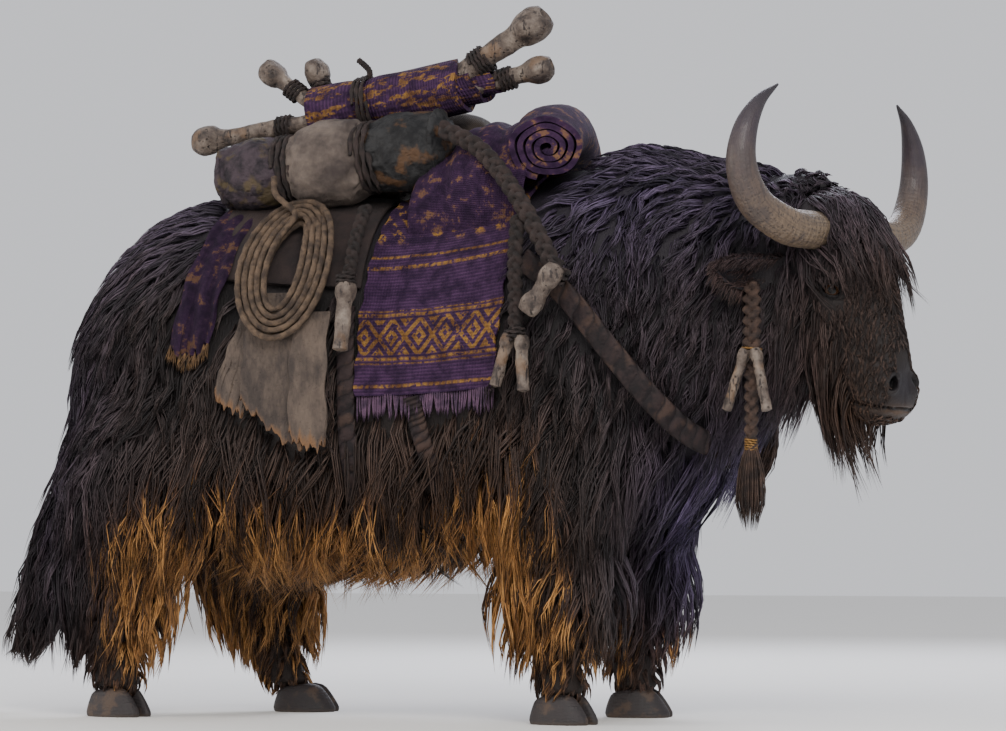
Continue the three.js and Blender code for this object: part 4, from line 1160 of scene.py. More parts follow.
TAN_ROPE = Rope()
DARK_ROPE = Rope("dark_rope", (0.009, 0.006, 0.006), (0.056, 0.034, 0.030), 9.0)
PLAIT = Rope("plait", (0.014, 0.008, 0.007), (0.100, 0.056, 0.038), 5.0)
STRAP = Leather("strap", (0.006, 0.004, 0.005), (0.026, 0.016, 0.016),
                (0.048, 0.028, 0.021), 44.0)
REAR_CASE = Leather("case_leather", (0.009, 0.007, 0.010), (0.045, 0.032, 0.040),
                    (0.075, 0.055, 0.024))
FRONT_CASE = Leather("case_leather_front", (0.005, 0.005, 0.006), (0.024, 0.024, 0.025),
                     (0.085, 0.042, 0.018))
BRASS = Plain("wrap_thread", (0.300, 0.160, 0.045), 0.55, 0.4)


# The animal's form, from the same profiles as the solids
class Torso:
    """The trunk: turn 0 on the ridge of the back, positive to the left, 180 under the belly."""

    TIP_TOP = Profile((-1000, 850), (-960, 988), (-903, 1100), (-818, 1226), (-675, 1320),
                      (-400, 1324), (0, 1305), (250, 1345), (400, 1400), (557, 1443), (712, 1395))
    TIP_LOW = Profile((-985, 700), (-960, 600), (-850, 400), (-700, 300), (-500, 280), (-250, 281),
                      (-118, 262), (17, 285), (200, 330), (400, 370), (600, 430), (720, 560))
    FLESH_LOW = Profile((-985, 800), (-960, 770), (-850, 690), (-650, 590), (-300, 510), (0, 520),
                        (300, 540), (500, 560), (620, 600), (720, 680))
    FLESH_WIDE = Profile((-985, 20), (-960, 110), (-850, 225), (-650, 288), (-300, 318), (0, 315),
                         (300, 308), (500, 270), (620, 205), (700, 120), (720, 50))
    MIDDLE = Profile((-985, 840), (-850, 880), (-650, 900), (-300, 840), (0, 830), (300, 850),
                     (550, 880), (720, 900))
    COAT = Profile((PACK_REAR_X - 120, TOP_COAT), (PACK_REAR_X, 30), (PACK_FRONT_X, 30),
                   (PACK_FRONT_X + 90, TOP_COAT))

    @classmethod
    def point(cls, x: np.ndarray, turn: np.ndarray, reach: float = REACH) -> np.ndarray:
        """Give places on the trunk, between the flesh at reach 0 and the coat's tips at 1.

        Args:
            x: Places along X.
            turn: Turns in degrees.
            reach: The share of the way from the flesh to the coat's tips.

        Returns:
            Places on the trunk.
        """
        x, turn = np.broadcast_arrays(np.asarray(x, float), np.asarray(turn, float))
        middle = cls.MIDDLE(x)
        top = cls.TIP_TOP(x) - cls.COAT(x) * (1 - reach)
        low = mix(cls.FLESH_LOW(x), cls.TIP_LOW(x), reach)
        wide = cls.FLESH_WIDE(x) + 60 * reach * np.minimum(1, (x - RUMP_X) / 60)
        up, out = np.cos(np.radians(turn)), np.sin(np.radians(turn))
        power = np.where(up > 0, 2 / 2.15, 2 / 2.7)
        high = np.where(up > 0, top - middle, middle - low)
        return stack(x, wide * bend(out, power), middle + high * bend(up, power))

    @classmethod
    def out(cls, x: np.ndarray, turn: np.ndarray) -> np.ndarray:
        """Give the directions in which the trunk's core faces.

        Args:
            x: Places along X.
            turn: Turns in degrees.

        Returns:
            Directions outwards.
        """
        x, turn = np.broadcast_arrays(np.asarray(x, float), np.asarray(turn, float))
        along = cls.point(x + 12, turn) - cls.point(x - 12, turn)
        across = cls.point(x, turn + 3) - cls.point(x, turn - 3)
        out = unit(np.cross(along, across))
        inside = cls.point(x, turn) - stack(x, 0, cls.MIDDLE(x))
        return out * np.where(np.sum(out * inside, axis=-1) < 0, -1, 1)[..., None]

    @classmethod
    def over(cls, x: np.ndarray, turn: np.ndarray, rise: float) -> np.ndarray:
        """Give places raised over the trunk's core."""
        return cls.point(x, turn) + cls.out(x, turn) * np.asarray(rise, float)[..., None]

    @classmethod
    def turn_at(cls, x: np.ndarray, z: np.ndarray) -> np.ndarray:
        """Find the turn at which the trunk's core has a height.

        Args:
            x: Places along X.
            z: Heights.

        Returns:
            Turns in degrees, on the left.
        """
        x, z = np.broadcast_arrays(np.asarray(x, float), np.asarray(z, float))
        low, high = np.zeros(x.shape), np.full(x.shape, 180.0)
        for _ in range(24):
            half = (low + high) / 2
            above = cls.point(x, half)[..., 2] > z
            low, high = np.where(above, half, low), np.where(above, high, half)
        return low


class Neck:
    """The neck, from inside the shoulders to inside the skull."""

    TIP_TOP = Profile((560, 1440), (712, 1400), (800, 1384), (880, 1372), (965, 1345))
    TIP_LOW = Profile((560, 470), (680, 490), (727, 520), (760, 590), (874, 711), (965, 840))
    TIP_WIDE = Profile((560, 325), (700, 282), (800, 240), (900, 200), (965, 165))
    SHIFT = Profile((700, 0), (965, -25))

    @classmethod
    def point(cls, x: np.ndarray, turn: np.ndarray, reach: float = REACH) -> np.ndarray:
        """Give places on the neck.

        Args:
            x: Places along X.
            turn: Turns in degrees.
            reach: The share of the way from the flesh to the coat's tips.

        Returns:
            Places on the neck.
        """
        top = cls.TIP_TOP(x) - TOP_COAT * (1 - reach)
        low = cls.TIP_LOW(x) + 110 * (1 - reach)
        wide = cls.TIP_WIDE(x) - 50 * (1 - reach)
        middle = mix(low, top, 0.55)
        up, out = np.cos(np.radians(turn)), np.sin(np.radians(turn))
        high = np.where(up > 0, top - middle, middle - low)
        return stack(x, cls.SHIFT(x) + wide * out, middle + high * up)


class Head:
    """The head: its own directions, and places ahead of, beside and above the poll."""

    AT = np.array([926.0, -20.0, 1245.0])
    TURNED = math.radians(-18)
    SLOPE = math.radians(66.7)
    AHEAD = np.array([math.cos(TURNED), math.sin(TURNED), 0])
    ASIDE = np.array([-math.sin(TURNED), math.cos(TURNED), 0])
    FACE_DOWN = AHEAD * math.cos(SLOPE) - UP * math.sin(SLOPE)
    FACE_OUT = AHEAD * math.sin(SLOPE) + UP * math.cos(SLOPE)
    CROWN = (70, 0, -30)
    WIDE = Profile((-55, 45), (-35, 88), (10, 110), (80, 122), (150, 118), (210, 103), (280, 83),
                   (350, 69), (410, 67), (450, 75), (485, 76), (508, 62), (518, 36))
    FRONT = Profile((-55, 30), (-35, 80), (10, 108), (80, 122), (150, 118), (210, 111), (280, 101),
                    (350, 91), (410, 76), (450, 58), (485, 44), (508, 30), (518, 20))
    REAR = Profile((-55, 60), (-35, 110), (10, 150), (80, 165), (150, 165), (210, 155), (280, 138),
                   (350, 115), (410, 98), (450, 88), (485, 80), (508, 60), (518, 38))
    EYE = np.array([158.0, 96.0, -207.0])
    EYE_RADIUS = 21

    @classmethod
    def place(cls, ahead: Numbers, aside: Numbers, up: Numbers) -> np.ndarray:
        """Give places from the head's own coordinates."""
        ahead, aside, up = (np.asarray(a, float)[..., None] for a in (ahead, aside, up))
        return cls.AT + cls.AHEAD * ahead + cls.ASIDE * aside + UP * up

    @classmethod
    def way(cls, ahead: float, aside: float, up: float) -> np.ndarray:
        """Give a direction from the head's own coordinates."""
        return unit(cls.AHEAD * ahead + cls.ASIDE * aside + UP * up)

    @classmethod
    def own(cls, points: np.ndarray) -> np.ndarray:
        """Give the head's own coordinates of places."""
        away = points - cls.AT
        return np.stack([away @ cls.AHEAD, away @ cls.ASIDE, away[..., 2]], axis=-1)

    @classmethod
    def folded(cls, points: np.ndarray) -> np.ndarray:
        """Give the head's own coordinates of places, the right side folded to the left.

        Args:
            points: Places in millimetres, one a row.

        Returns:
            The folded places.
        """
        own = cls.own(points)
        own[:, 1] = np.abs(own[:, 1])
        return own

    @classmethod
    def skull(cls, down: np.ndarray, turn: np.ndarray) -> np.ndarray:
        """Give places on the skull: turn 0 on the face, 90 on the left side, 180 under the jaw.

        Args:
            down: How far down the face.
            turn: The turn from the face's middle.

        Returns:
            Places on the skull.
        """
        front, side = np.cos(np.radians(turn)), np.sin(np.radians(turn))
        depth = np.where(front > 0, cls.FRONT(down), cls.REAR(down))
        point = cls.place(*cls.CROWN) + cls.FACE_DOWN * np.asarray(down, float)[..., None]
        point = point + cls.FACE_OUT * (depth * bend(front, 0.92))[..., None]
        return point + cls.ASIDE * (cls.WIDE(down) * bend(side, 0.92))[..., None]


@dataclass(frozen=True)
class Leg:
    """One leg: where it stands and the widths of its coat and of the leg under it."""

    name: str
    fore: bool
    at: tuple[float, float]
    lean: float
    splay: float
    bow: float = 1.3

    # Height, the middle's shift along X, and the half widths along X and Y
    FORE_TIPS = (
        (70, -12, 88, 76), (140, -58, 122, 98), (240, -62, 192, 126), (390, -36, 250, 148),
        (540, -10, 246, 158), (680, -10, 235, 165), (780, -10, 200, 150))
    FORE_FLESH = (
        (60, 0, 58, 52), (120, -8, 52, 46), (240, -6, 55, 50), (340, -2, 72, 64),
        (460, 0, 92, 80), (560, -10, 125, 100), (680, -20, 155, 115), (780, -20, 150, 110))
    HIND_TIPS = (
        (70, -14, 86, 74), (150, -30, 100, 88), (220, -16, 160, 114), (300, 0, 232, 142),
        (420, 22, 275, 158), (560, 50, 275, 178), (700, 90, 240, 190), (820, 110, 180, 170))
    HIND_FLESH = (
        (60, 0, 60, 52), (120, -12, 56, 48), (240, -20, 62, 54), (340, -34, 82, 66),
        (430, -30, 110, 84), (540, 10, 160, 110), (680, 80, 200, 135), (820, 110, 170, 130))

    def sizes(self, z: np.ndarray, reach: float) -> tuple[np.ndarray, ...]:
        """Give the middle's X and Y and the half widths along X and Y at a height.

        Args:
            z: Heights.
            reach: The share of the way from the flesh to the coat's tips.

        Returns:
            The four measures.
        """
        fore, hind = (self.FORE_FLESH, self.FORE_TIPS), (self.HIND_FLESH, self.HIND_TIPS)
        side = math.copysign(1, self.at[1])
        inward = 10 if self.fore else 20
        found = []
        for table in fore if self.fore else hind:
            top = table[-1][0]
            climb = [(row[0] / top) ** self.bow for row in table]
            heights = [row[0] for row in table]
            columns = (
                [self.at[0] + row[1] + self.lean * c for row, c in zip(table, climb)],
                [self.at[1] - side * inward * c for c in climb],
                [row[2] for row in table], [row[3] for row in table])
            found.append([Profile(*zip(heights, column))(z) for column in columns])
        return tuple(mix(flesh, tip, reach) for flesh, tip in zip(*found))

    def point(self, z: np.ndarray, turn: np.ndarray, reach: float) -> np.ndarray:
        """Give places on the leg.

        Args:
            z: Heights.
            turn: Turns in degrees.
            reach: The share of the way from the flesh to the coat's tips.

        Returns:
            Places on the leg.
        """
        x, y, long, wide = self.sizes(z, reach)
        swing = np.radians(turn)
        return stack(x + long * np.cos(swing), y + wide * np.sin(swing), z)


LEGS = (
    Leg("foreleg_right", True, (388, -205), -10, -15),
    Leg("foreleg_left", True, (446, 205), -20, 6),
    Leg("hindleg_right", False, (-800, -205), 40, -15),
    Leg("hindleg_left", False, (-462, 205), -180, 8, 0.6),
)
FLESH = ("head", "neck", "torso", "tail", *(leg.name for leg in LEGS))


class Tail:
    """The hanging tail, which widens to a brush near the floor."""

    PLACES = ((-862, 0, 1120), (-900, 0, 1010), (-945, 0, 850), (-1010, 0, 630), (-1088, 0, 400),
              (-1160, 0, 210))
    TIP = Profile((0, 40), (0.15, 60), (0.4, 78), (0.75, 98), (0.92, 88), (1, 40))


# Skin
@dataclass
class Skin:
    """One skin over the whole animal, with the folds of the face."""

    body_voxel: float = 0.012
    head_voxel: float = 0.0048

    def build(self) -> bpy.types.Object:
        """Make the skin, unwrap it and mark its zones."""
        body = joined("body_skin", self.body_forms())
        modify(body, "REMESH", mode="VOXEL", voxel_size=self.body_voxel, use_smooth_shade=True)
        modify(body, "SMOOTH", factor=0.5, iterations=5)
        head = joined("head_skin", self.head_forms())
        modify(head, "REMESH", mode="VOXEL", voxel_size=self.head_voxel, use_smooth_shade=True)
        modify(head, "SMOOTH", factor=0.5, iterations=3)
        self.refine(head)
        self.sculpt(head)
        self.open_eyes(head)
        take(body)
        union = body.modifiers.new("Union", "BOOLEAN")
        union.operation, union.solver, union.object = "UNION", "MANIFOLD", head
        bpy.ops.object.modifier_apply(modifier=union.name)
        bpy.data.objects.remove(head)
        body.name = body.data.name = "skin"
        take(body)
        bpy.ops.object.shade_smooth()
        bpy.ops.object.mode_set(mode="EDIT")
        bpy.ops.mesh.select_all(action="SELECT")
        bpy.ops.uv.smart_project(angle_limit=math.radians(66), island_margin=0.003)
        bpy.ops.object.mode_set(mode="OBJECT")
        body.data.uv_layers[0].name = "OFBake"
        places = places_of(body)
        zones = Zones(places)
        set_attribute(body, "tip", np.zeros(len(places)))
        set_attribute(body, "deep", self.deep(places))
        set_attribute(body, "shade", np.full(len(places), 0.42))
        for name in Zones.NAMES:
            set_attribute(body, name, getattr(zones, name) * (0.5 if name == "gold" else 1.0))
        Coat("skin_coat", hair=False).dress(body)
        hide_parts("head", "neck", "torso", "tail", *[leg.name for leg in LEGS])
        return body

    def deep(self, points: np.ndarray) -> np.ndarray:
        """Mark the painted shade inside the nostrils and along the mouth's line, and the dark rims
        of the lids.

        Args:
            points: Places in millimetres, one a row.

        Returns:
            One share for each place.
        """
        own = Head.folded(points)
        found = np.exp(-(self.from_mouth(own) / 4.6) ** 4)
        for _, side in SIDES:
            found = np.maximum(found, 1 - ease(0.75, 1.12, self.nostril(points, side)[1]))
        rim = np.linalg.norm(own - Head.EYE, axis=1)
        return np.maximum(found, 0.85 * np.exp(-(rim / 25.5) ** 10))

    def body_forms(self) -> list[bpy.types.Object]:
        """Form the trunk, the neck, the legs and the tail under the coat."""
        def trunk(u: np.ndarray, v: np.ndarray) -> np.ndarray:
            """Form the trunk, closed at both ends."""
            x = mix(RUMP_X, 720, ease(0, 1, v) * 0.35 + v * 0.65)
            points = Torso.point(x, 360 * u, SKIN_REACH)
            ends = (v == 0) | (v == 1)
            points[ends, 1], points[ends, 2] = 0, Torso.MIDDLE(x[ends])
            return points

        def neck(u: np.ndarray, v: np.ndarray) -> np.ndarray:
            """Form the neck, with its ends inside the trunk and the head."""
            x = mix(590, 965, v)
            points = Neck.point(x, 360 * u, SKIN_REACH)
            ends = (v == 0) | (v == 1)
            points[ends] = Neck.point(x[ends], np.zeros(ends.sum()), SKIN_REACH) - UP * 200
            return points

        pieces = [formed("trunk", 64, 60, trunk), formed("neck", 48, 16, neck)]
        for leg in LEGS:
            def limb(u: np.ndarray, v: np.ndarray, leg: Leg = leg) -> np.ndarray:
                """Form a leg, closed at both ends."""
                z = mix(58, 740 if leg.fore else 780, v)
                reach = 0.02 + 0.22 * ease(180, 420, z)
                points = leg.point(z, 360 * u, reach)
                ends = (v == 0) | (v == 1)
                x, y, _, _ = leg.sizes(z[ends], 0.1)
                points[ends] = stack(x, y, z[ends])
                return points
            pieces.append(formed(leg.name + "_form", 32, 40, limb))
        nape = route([(840, 0, 1282), (925, -8, 1290), (1005, -22, 1282)], 12)
        pieces.append(rod("nape_form", nape, lambda t, turn: 50 - 12 * t, 20, UP))
        path = route(Tail.PLACES, 24)
        pieces.append(rod("tail_form", path, lambda t, turn: Tail.TIP(t) * 0.42, 16, BACK))
        return pieces

    def head_forms(self) -> list[bpy.types.Object]:
        """Form the skull and the wings of the nostrils."""
        def skull(u: np.ndarray, v: np.ndarray) -> np.ndarray:
            """Form the skull, closed at both ends."""
            down = mix(-55, 518, ease(0, 1, v) * 0.3 + v * 0.7)
            points = Head.skull(down, 360 * u)
            ends = (v == 0) | (v == 1)
            points[ends] = Head.place(*Head.CROWN) + Head.FACE_DOWN * down[ends, None]
            return points

        pieces = [formed("skull", 72, 80, skull)]
        for _, side in SIDES:
            pieces.append(self.wing(side))
        return pieces

    def wing(self, side: int) -> bpy.types.Object:
        """Form the raised wing of a nostril.

        Args:
            side: 1 on the left, -1 on the right.

        Returns:
            The wing.
        """
        path = route([Head.place(228, side * 40, -392), Head.place(262, side * 43, -414),
                      Head.place(284, side * 44, -436), Head.place(272, side * 38, -462)], 8)
        return rod("wing", path, lambda t, turn: 16 + 12 * np.sin(np.pi * t), 12, Head.ASIDE)

    @staticmethod
    def refine(head: bpy.types.Object) -> None:
        """Halve the faces round the eyes, the nostrils and the mouth.

        Args:
            head: The head's skin.
        """
        own = Head.folded(places_of(head))
        close = (np.linalg.norm(own - Head.EYE, axis=1) < 52) | (own[:, 2] < -392)
        take(head)
        bpy.ops.object.mode_set(mode="EDIT")
        bpy.ops.mesh.select_all(action="DESELECT")
        bpy.ops.object.mode_set(mode="OBJECT")
        faces = [all(close[c] for c in face.vertices) for face in head.data.polygons]
        head.data.polygons.foreach_set("select", faces)
        bpy.ops.object.mode_set(mode="EDIT")
        bpy.ops.mesh.select_mode(type="FACE")
        bpy.ops.mesh.subdivide(number_cuts=1, smoothness=0.6)
        bpy.ops.object.mode_set(mode="OBJECT")

    @staticmethod
    def eye_frame(side: int) -> tuple[np.ndarray, ...]:
        """Give an eye's middle, and its directions out, across towards the nose, and up.

        Args:
            side: 1 on the left, -1 on the right.

        Returns:
            The middle and three directions.
        """
        middle = Head.place(Head.EYE[0], side * Head.EYE[1], Head.EYE[2])
        out = Head.way(0.62, side * 0.80, -0.06)
        across = unit(np.cross(UP, out)) * -side
        return middle, out, across, unit(np.cross(out, across)) * np.sign(np.cross(out, across)[2])

    def open_eyes(self, head: bpy.types.Object) -> None:
        """Open the skin over each eyeball and roll the lids round it.

        Args:
            head: The head's skin.
        """
        points = places_of(head)
        for _, side in SIDES:
            middle, out, across, top = self.eye_frame(side)
            away = points - middle
            h, a, b = away @ out, away @ across, away @ top
            b = b + a * 0.16
            gap = np.hypot(a / 21.0, b / np.where(b > 0, 11.0, 12.5))
            ball = np.sqrt(np.maximum(Head.EYE_RADIUS ** 2 - a ** 2 - b ** 2, 0))
            front = (h > -6) & (np.hypot(a, b) < 60)
            lid = ball + mix(2.0, 5.5, ease(1.0, 1.35, gap))
            fold = np.where(b > 0, -3.0, -2.0) * np.exp(-((gap - 1.75) / 0.2) ** 2)
            round_it = mix(lid, h, ease(1.25, 2.3, gap)) + fold
            wanted = np.where(gap < 1, np.minimum(h, ball - 6), round_it)
            points = points + out * np.where(front, wanted - h, 0)[:, None]
        set_places(head, points)

    def sculpt(self, head: bpy.types.Object) -> None:
        """Press in the nostrils, the mouth, the sockets and the folds, and raise brow and chin.

        Args:
            head: The head's skin.
        """
        points, out = places_of(head), normals_of(head)
        own = Head.folded(points)
        move = np.zeros(len(points))
        for middle, size, depth in (
            ((166, 118, -176), (46, 34, 14), 9),
            ((150, 112, -243), (52, 30, 15), 4),
            ((112, 120, -228), (30, 34, 40), -7),
            ((200, 84, -236), (26, 26, 26), -7),
            ((205, 70, -330), (60, 26, 60), -6),
            ((120, 108, -330), (60, 34, 50), 7),
            ((262, 0, -512), (46, 42, 20), 8),
            ((236, 52, -500), (60, 22, 14), 6),
            ((262, 58, -468), (50, 24, 12), 6),
            ((318, 0, -462), (18, 5, 26), -5),
        ):
            move += depth * hump(own, middle, size)
        for line, size, depth in (
            (((190, 84, -268), (206, 72, -262), (216, 64, -252)), 6.0, -4),
            (((140, 110, -258), (162, 104, -268), (186, 92, -266)), 5.0, -4),
            (((128, 124, -186), (150, 126, -170), (176, 116, -160)), 5.0, -5),
        ):
            move += depth * np.exp(-(distance(own, route(line, 24)) / size) ** 2)
        move -= 12 * np.exp(-(self.from_mouth(own) / 4.2) ** 2)
        points = points + out * move[:, None]
        for _, side in SIDES:
            inward, gap = self.nostril(points, side)
            pit = -30 * (1 - ease(0.45, 1.0, gap)) + 5.5 * np.exp(-((gap - 1.32) / 0.26) ** 2)
            points = points - inward * (pit * (gap < 2.5))[:, None]
        set_places(head, points)

    @staticmethod
    def from_mouth(own: np.ndarray) -> np.ndarray:
        """Give the distance from the mouth's line, seen from the side, in own coordinates.

        Args:
            own: Places in the head's coordinates.

        Returns:
            One distance for each place.
        """
        line = route([(150, 0, -456), (196, 0, -470), (236, 0, -481), (276, 0, -489),
                      (340, 0, -498)], 30)[:, [0, 2]]
        return distance(own[:, ::2], line)

    @staticmethod
    def nostril(points: np.ndarray, side: int) -> tuple[np.ndarray, np.ndarray]:
        """Give a nostril's direction inwards, and how far out places are, 1 at its rim.

        Args:
            points: Places in millimetres, one a row.
            side: 1 on the left, -1 on the right.

        Returns:
            The direction, and one share for each place.
        """
        middle = Head.place(300, side * 48, -431)
        inward = -Head.way(0.80, side * 0.58, 0.05)
        across = unit(np.cross(UP, inward))
        away = points - middle
        a, b = away @ across * -side, away @ UP
        gap = np.hypot((a + b * 0.35) / 15.0, b / 20.0)
        return inward, np.where(np.abs(away @ inward) < 48, gap, 9.0)


class Zones:
    """How gold, violet or brown the coat is at places, and where bare leather shows; the gold is
    partly painted warm light from below and the violet is a painted sheen.
    """

    NAMES = ("gold", "cool", "brown", "leather", "ochre")
    # Golden patches, partly rusty hair and partly painted warm light from below, on both sides, on
    # one side, and on the head: strength, middle and spread
    BOTH_SIDES = (
        (0.95, (-390, 260, 320), (230, 300, 235)), (0.62, (-30, 230, 330), (230, 300, 180)),
        (0.75, (-150, 260, 330), (85, 300, 170)), (1.05, (245, 260, 390), (160, 300, 290)),
        (0.78, (-640, 260, 320), (170, 260, 240)), (0.60, (-700, 260, 120), (130, 260, 140)),
        (0.42, (400, 260, 170), (150, 260, 130)))
    ONE_SIDE = ((0.6, (-330, 215, 200), (110, 120, 230)), (0.6, (600, 200, 100), (70, 200, 110)))
    ON_HEAD = ((0.24, (262, 0, -150), (60, 120, 80)), (0.45, (235, 0, -490), (70, 90, 30)))

    def __init__(self, points: np.ndarray) -> None:
        """Work out each zone's share at the places in millimetres.

        Args:
            points: Places in millimetres, one a row.
        """
        x, z = points[:, 0], points[:, 2]
        own = Head.own(points)
        folded = np.stack([x, np.abs(points[:, 1]), z], axis=1)
        legs = 1 - ease(110, 260, z)
        self.gold = np.clip(sum(
            strength * hump(where, middle, spread)
            for where, patches in ((folded, self.BOTH_SIDES), (points, self.ONE_SIDE),
                                   (own, self.ON_HEAD))
            for strength, middle, spread in patches), 0, 1)
        # The violet share is a painted sheen: rim light on the chest, and the back, rump and neck
        # painted with it, more towards the top
        chest = hump(points, (720, 100, 480), (190, 260, 300))
        back = ease(960, 1320, z) * (1 - ease(860, 960, x) * 0.5)
        rump = hump(folded, (-960, 100, 700), (230, 300, 520))
        neck = hump(folded, (560, 200, 1180), (330, 300, 330))
        self.cool = np.clip(chest * 1.6 + back * 0.4 + rump * 0.38 + neck * 0.22, 0, 1)
        face = hump(own, (190, 0, -270), (190, 170, 230))
        flank = hump(folded, (-60, 200, 620), (420, 300, 260))
        beard = hump(own, (170, 0, -560), (160, 160, 160))
        # The brown share follows the gold as well, and so carries part of the painted warm light
        self.brown = np.clip(
            face * 0.5 + self.gold * 0.9 + legs * 0.7 + flank * 0.6 + beard, 0, 1)
        muzzle = hump(own, (322, 0, -438), (44, 62, 52)) * 1.5
        lips = hump(own, (270, 0, -492), (70, 80, 18)) * 0.9
        self.leather = np.clip(muzzle + lips - 0.25, 0, 1)
        self.ochre = np.clip(hump(own, (255, 0, -500), (80, 90, 24)) * 1.1
                             + hump(own, (180, 70, -470), (30, 30, 22)), 0, 1) * (
            1 - np.clip(muzzle, 0, 1))


# Hair and threads
SHARES = np.array([0.0, 0.18, 0.42, 0.70, 1.0])
THREAD = (1.0, 1.0, 0.95, 0.8)
LOCK = (1.0, 1.05, 0.85, 0.52)
# A strand's points: four rings of three and the tip
RING_TURNS = np.arange(3) * 2 * np.pi / 3
STRAND_POINTS = 13


def strand_mesh(name: str, lines: np.ndarray, widths: np.ndarray, taper: Sequence[float] = THREAD,
                roots: np.ndarray | None = None) -> bpy.types.Object:
    """Make many tapered three-sided strands as one mesh.

    Args:
        name: The piece's name.
        lines: Five points for each strand, from its root to its tip.
        widths: Each strand's radius at the root in millimetres.
        taper: The share of that radius at the first four points.
        roots: Each root's place on the skin's unwrap, or None.

    Returns:
        The new piece, with each vertex's share along its strand as the attribute tip.
    """
    count = len(lines)
    ahead = unit(np.gradient(lines, axis=1))
    reference = np.where(np.abs(ahead[..., 2:]) > 0.8, np.array([1.0, 0, 0]), UP)
    side = unit(np.cross(ahead, reference))
    top = np.cross(side, ahead)
    rings = []
    for k in range(4):
        radius = (widths * taper[k])[:, None]
        for turn in RING_TURNS:
            around = side[:, k] * math.cos(turn) + top[:, k] * math.sin(turn)
            rings.append(lines[:, k] + radius * around)
    vertices = np.stack(rings + [lines[:, 4]], axis=1)
    quads = [[3 * k + a, 3 * k + b, 3 * k + 3 + b, 3 * k + 3 + a]
             for k in range(3) for a, b in ((0, 1), (1, 2), (2, 0))]
    corners = [c for quad in quads for c in quad] + [9, 10, 12, 10, 11, 12, 11, 9, 12, 2, 1, 0]
    sizes = [4] * len(quads) + [3] * 4
    index = (np.array(corners)[None] + STRAND_POINTS * np.arange(count)[:, None]).ravel()
    totals = np.tile(sizes, count)
    mesh = bpy.data.meshes.new(name)
    mesh.vertices.add(STRAND_POINTS * count)
    mesh.vertices.foreach_set("co", (vertices * MM).astype(np.float32).ravel())
    mesh.loops.add(len(index))
    mesh.loops.foreach_set("vertex_index", index.astype(np.int32))
    mesh.polygons.add(len(totals))
    starts = np.concatenate([[0], np.cumsum(totals)[:-1]])
    mesh.polygons.foreach_set("loop_start", starts.astype(np.int32))
    mesh.polygons.foreach_set("use_smooth", np.ones(len(totals), bool))
    mesh.update(calc_edges=True)
    tips = np.append(np.repeat(SHARES[:4], 3), 1.0)
    if roots is not None:
        across = np.append(np.tile([0.0, 0.0015, 0.003], 4), 0.0015)
        along = tips * 0.003
        spots = roots[:, None, :] + np.stack([across, along], axis=1)[None]
        layer = mesh.uv_layers.new(name="OFBake")
        layer.data.foreach_set("uv", spots.reshape(-1, 2)[index].astype(np.float32).ravel())
    piece = bpy.data.objects.new(name, mesh)
    bpy.context.scene.collection.objects.link(piece)
    set_attribute(piece, "tip", np.tile(tips, count))
    turns = np.append(np.tile(RING_TURNS, 4), 0)
    radii = np.append(np.repeat(np.array(taper), 3), 0)[None] * widths[:, None]
    along = np.linalg.norm(np.diff(lines, axis=1), axis=2).sum(axis=1)[:, None] * tips[None]
    own = (np.arange(count) * 13.7 % 911)[:, None]
    fibre = np.stack([radii * np.cos(turns) + own, radii * np.sin(turns), along * 0.05 + own],
                     axis=2)
    layer = mesh.attributes.new("fibre", "FLOAT_VECTOR", "POINT")
    layer.data.foreach_set("vector", fibre.astype(np.float32).ravel())
    return piece


def tree_of(pieces: Sequence[bpy.types.Object]) -> BVHTree:
    """Make one search tree over the faces of pieces, in metres.

    Args:
        pieces: The pieces.

    Returns:
        The tree.
    """
    vertices, faces = [], []
    for piece in pieces:
        start = len(vertices)
        vertices += [vertex.co.copy() for vertex in piece.data.vertices]
        faces += [[start + c for c in face.vertices] for face in piece.data.polygons]
    return BVHTree.FromPolygons(vertices, faces)


def spaced(points: np.ndarray, gap: float) -> np.ndarray:
    """Keep points, in their order, that are no nearer to each other than a gap.

    Args:
        points: The candidates.
        gap: The least distance.

    Returns:
        The indices of those kept.
    """
    cells: dict[tuple[int, ...], list[tuple[float, ...]]] = {}
    near = [(a, b, c) for a in (-1, 0, 1) for b in (-1, 0, 1) for c in (-1, 0, 1)]
    kept = []
    keys = np.floor(points / gap).astype(int).tolist()
    for number, ((x, y, z), (i, j, k)) in enumerate(zip(points.tolist(), keys)):
        others = (o for a, b, c in near for o in cells.get((i + a, j + b, k + c), ()))
        if all((x - o[0]) ** 2 + (y - o[1]) ** 2 + (z - o[2]) ** 2 > gap * gap for o in others):
            cells.setdefault((i, j, k), []).append((x, y, z))
            kept.append(number)
    return np.array(kept, int)


@dataclass
class Growth:
    """How the coat grows at each root: direction, length, lift and thickness."""

    flow: np.ndarray
    long: np.ndarray
    lift: np.ndarray
    cling: np.ndarray
    thick: np.ndarray
    spread: np.ndarray


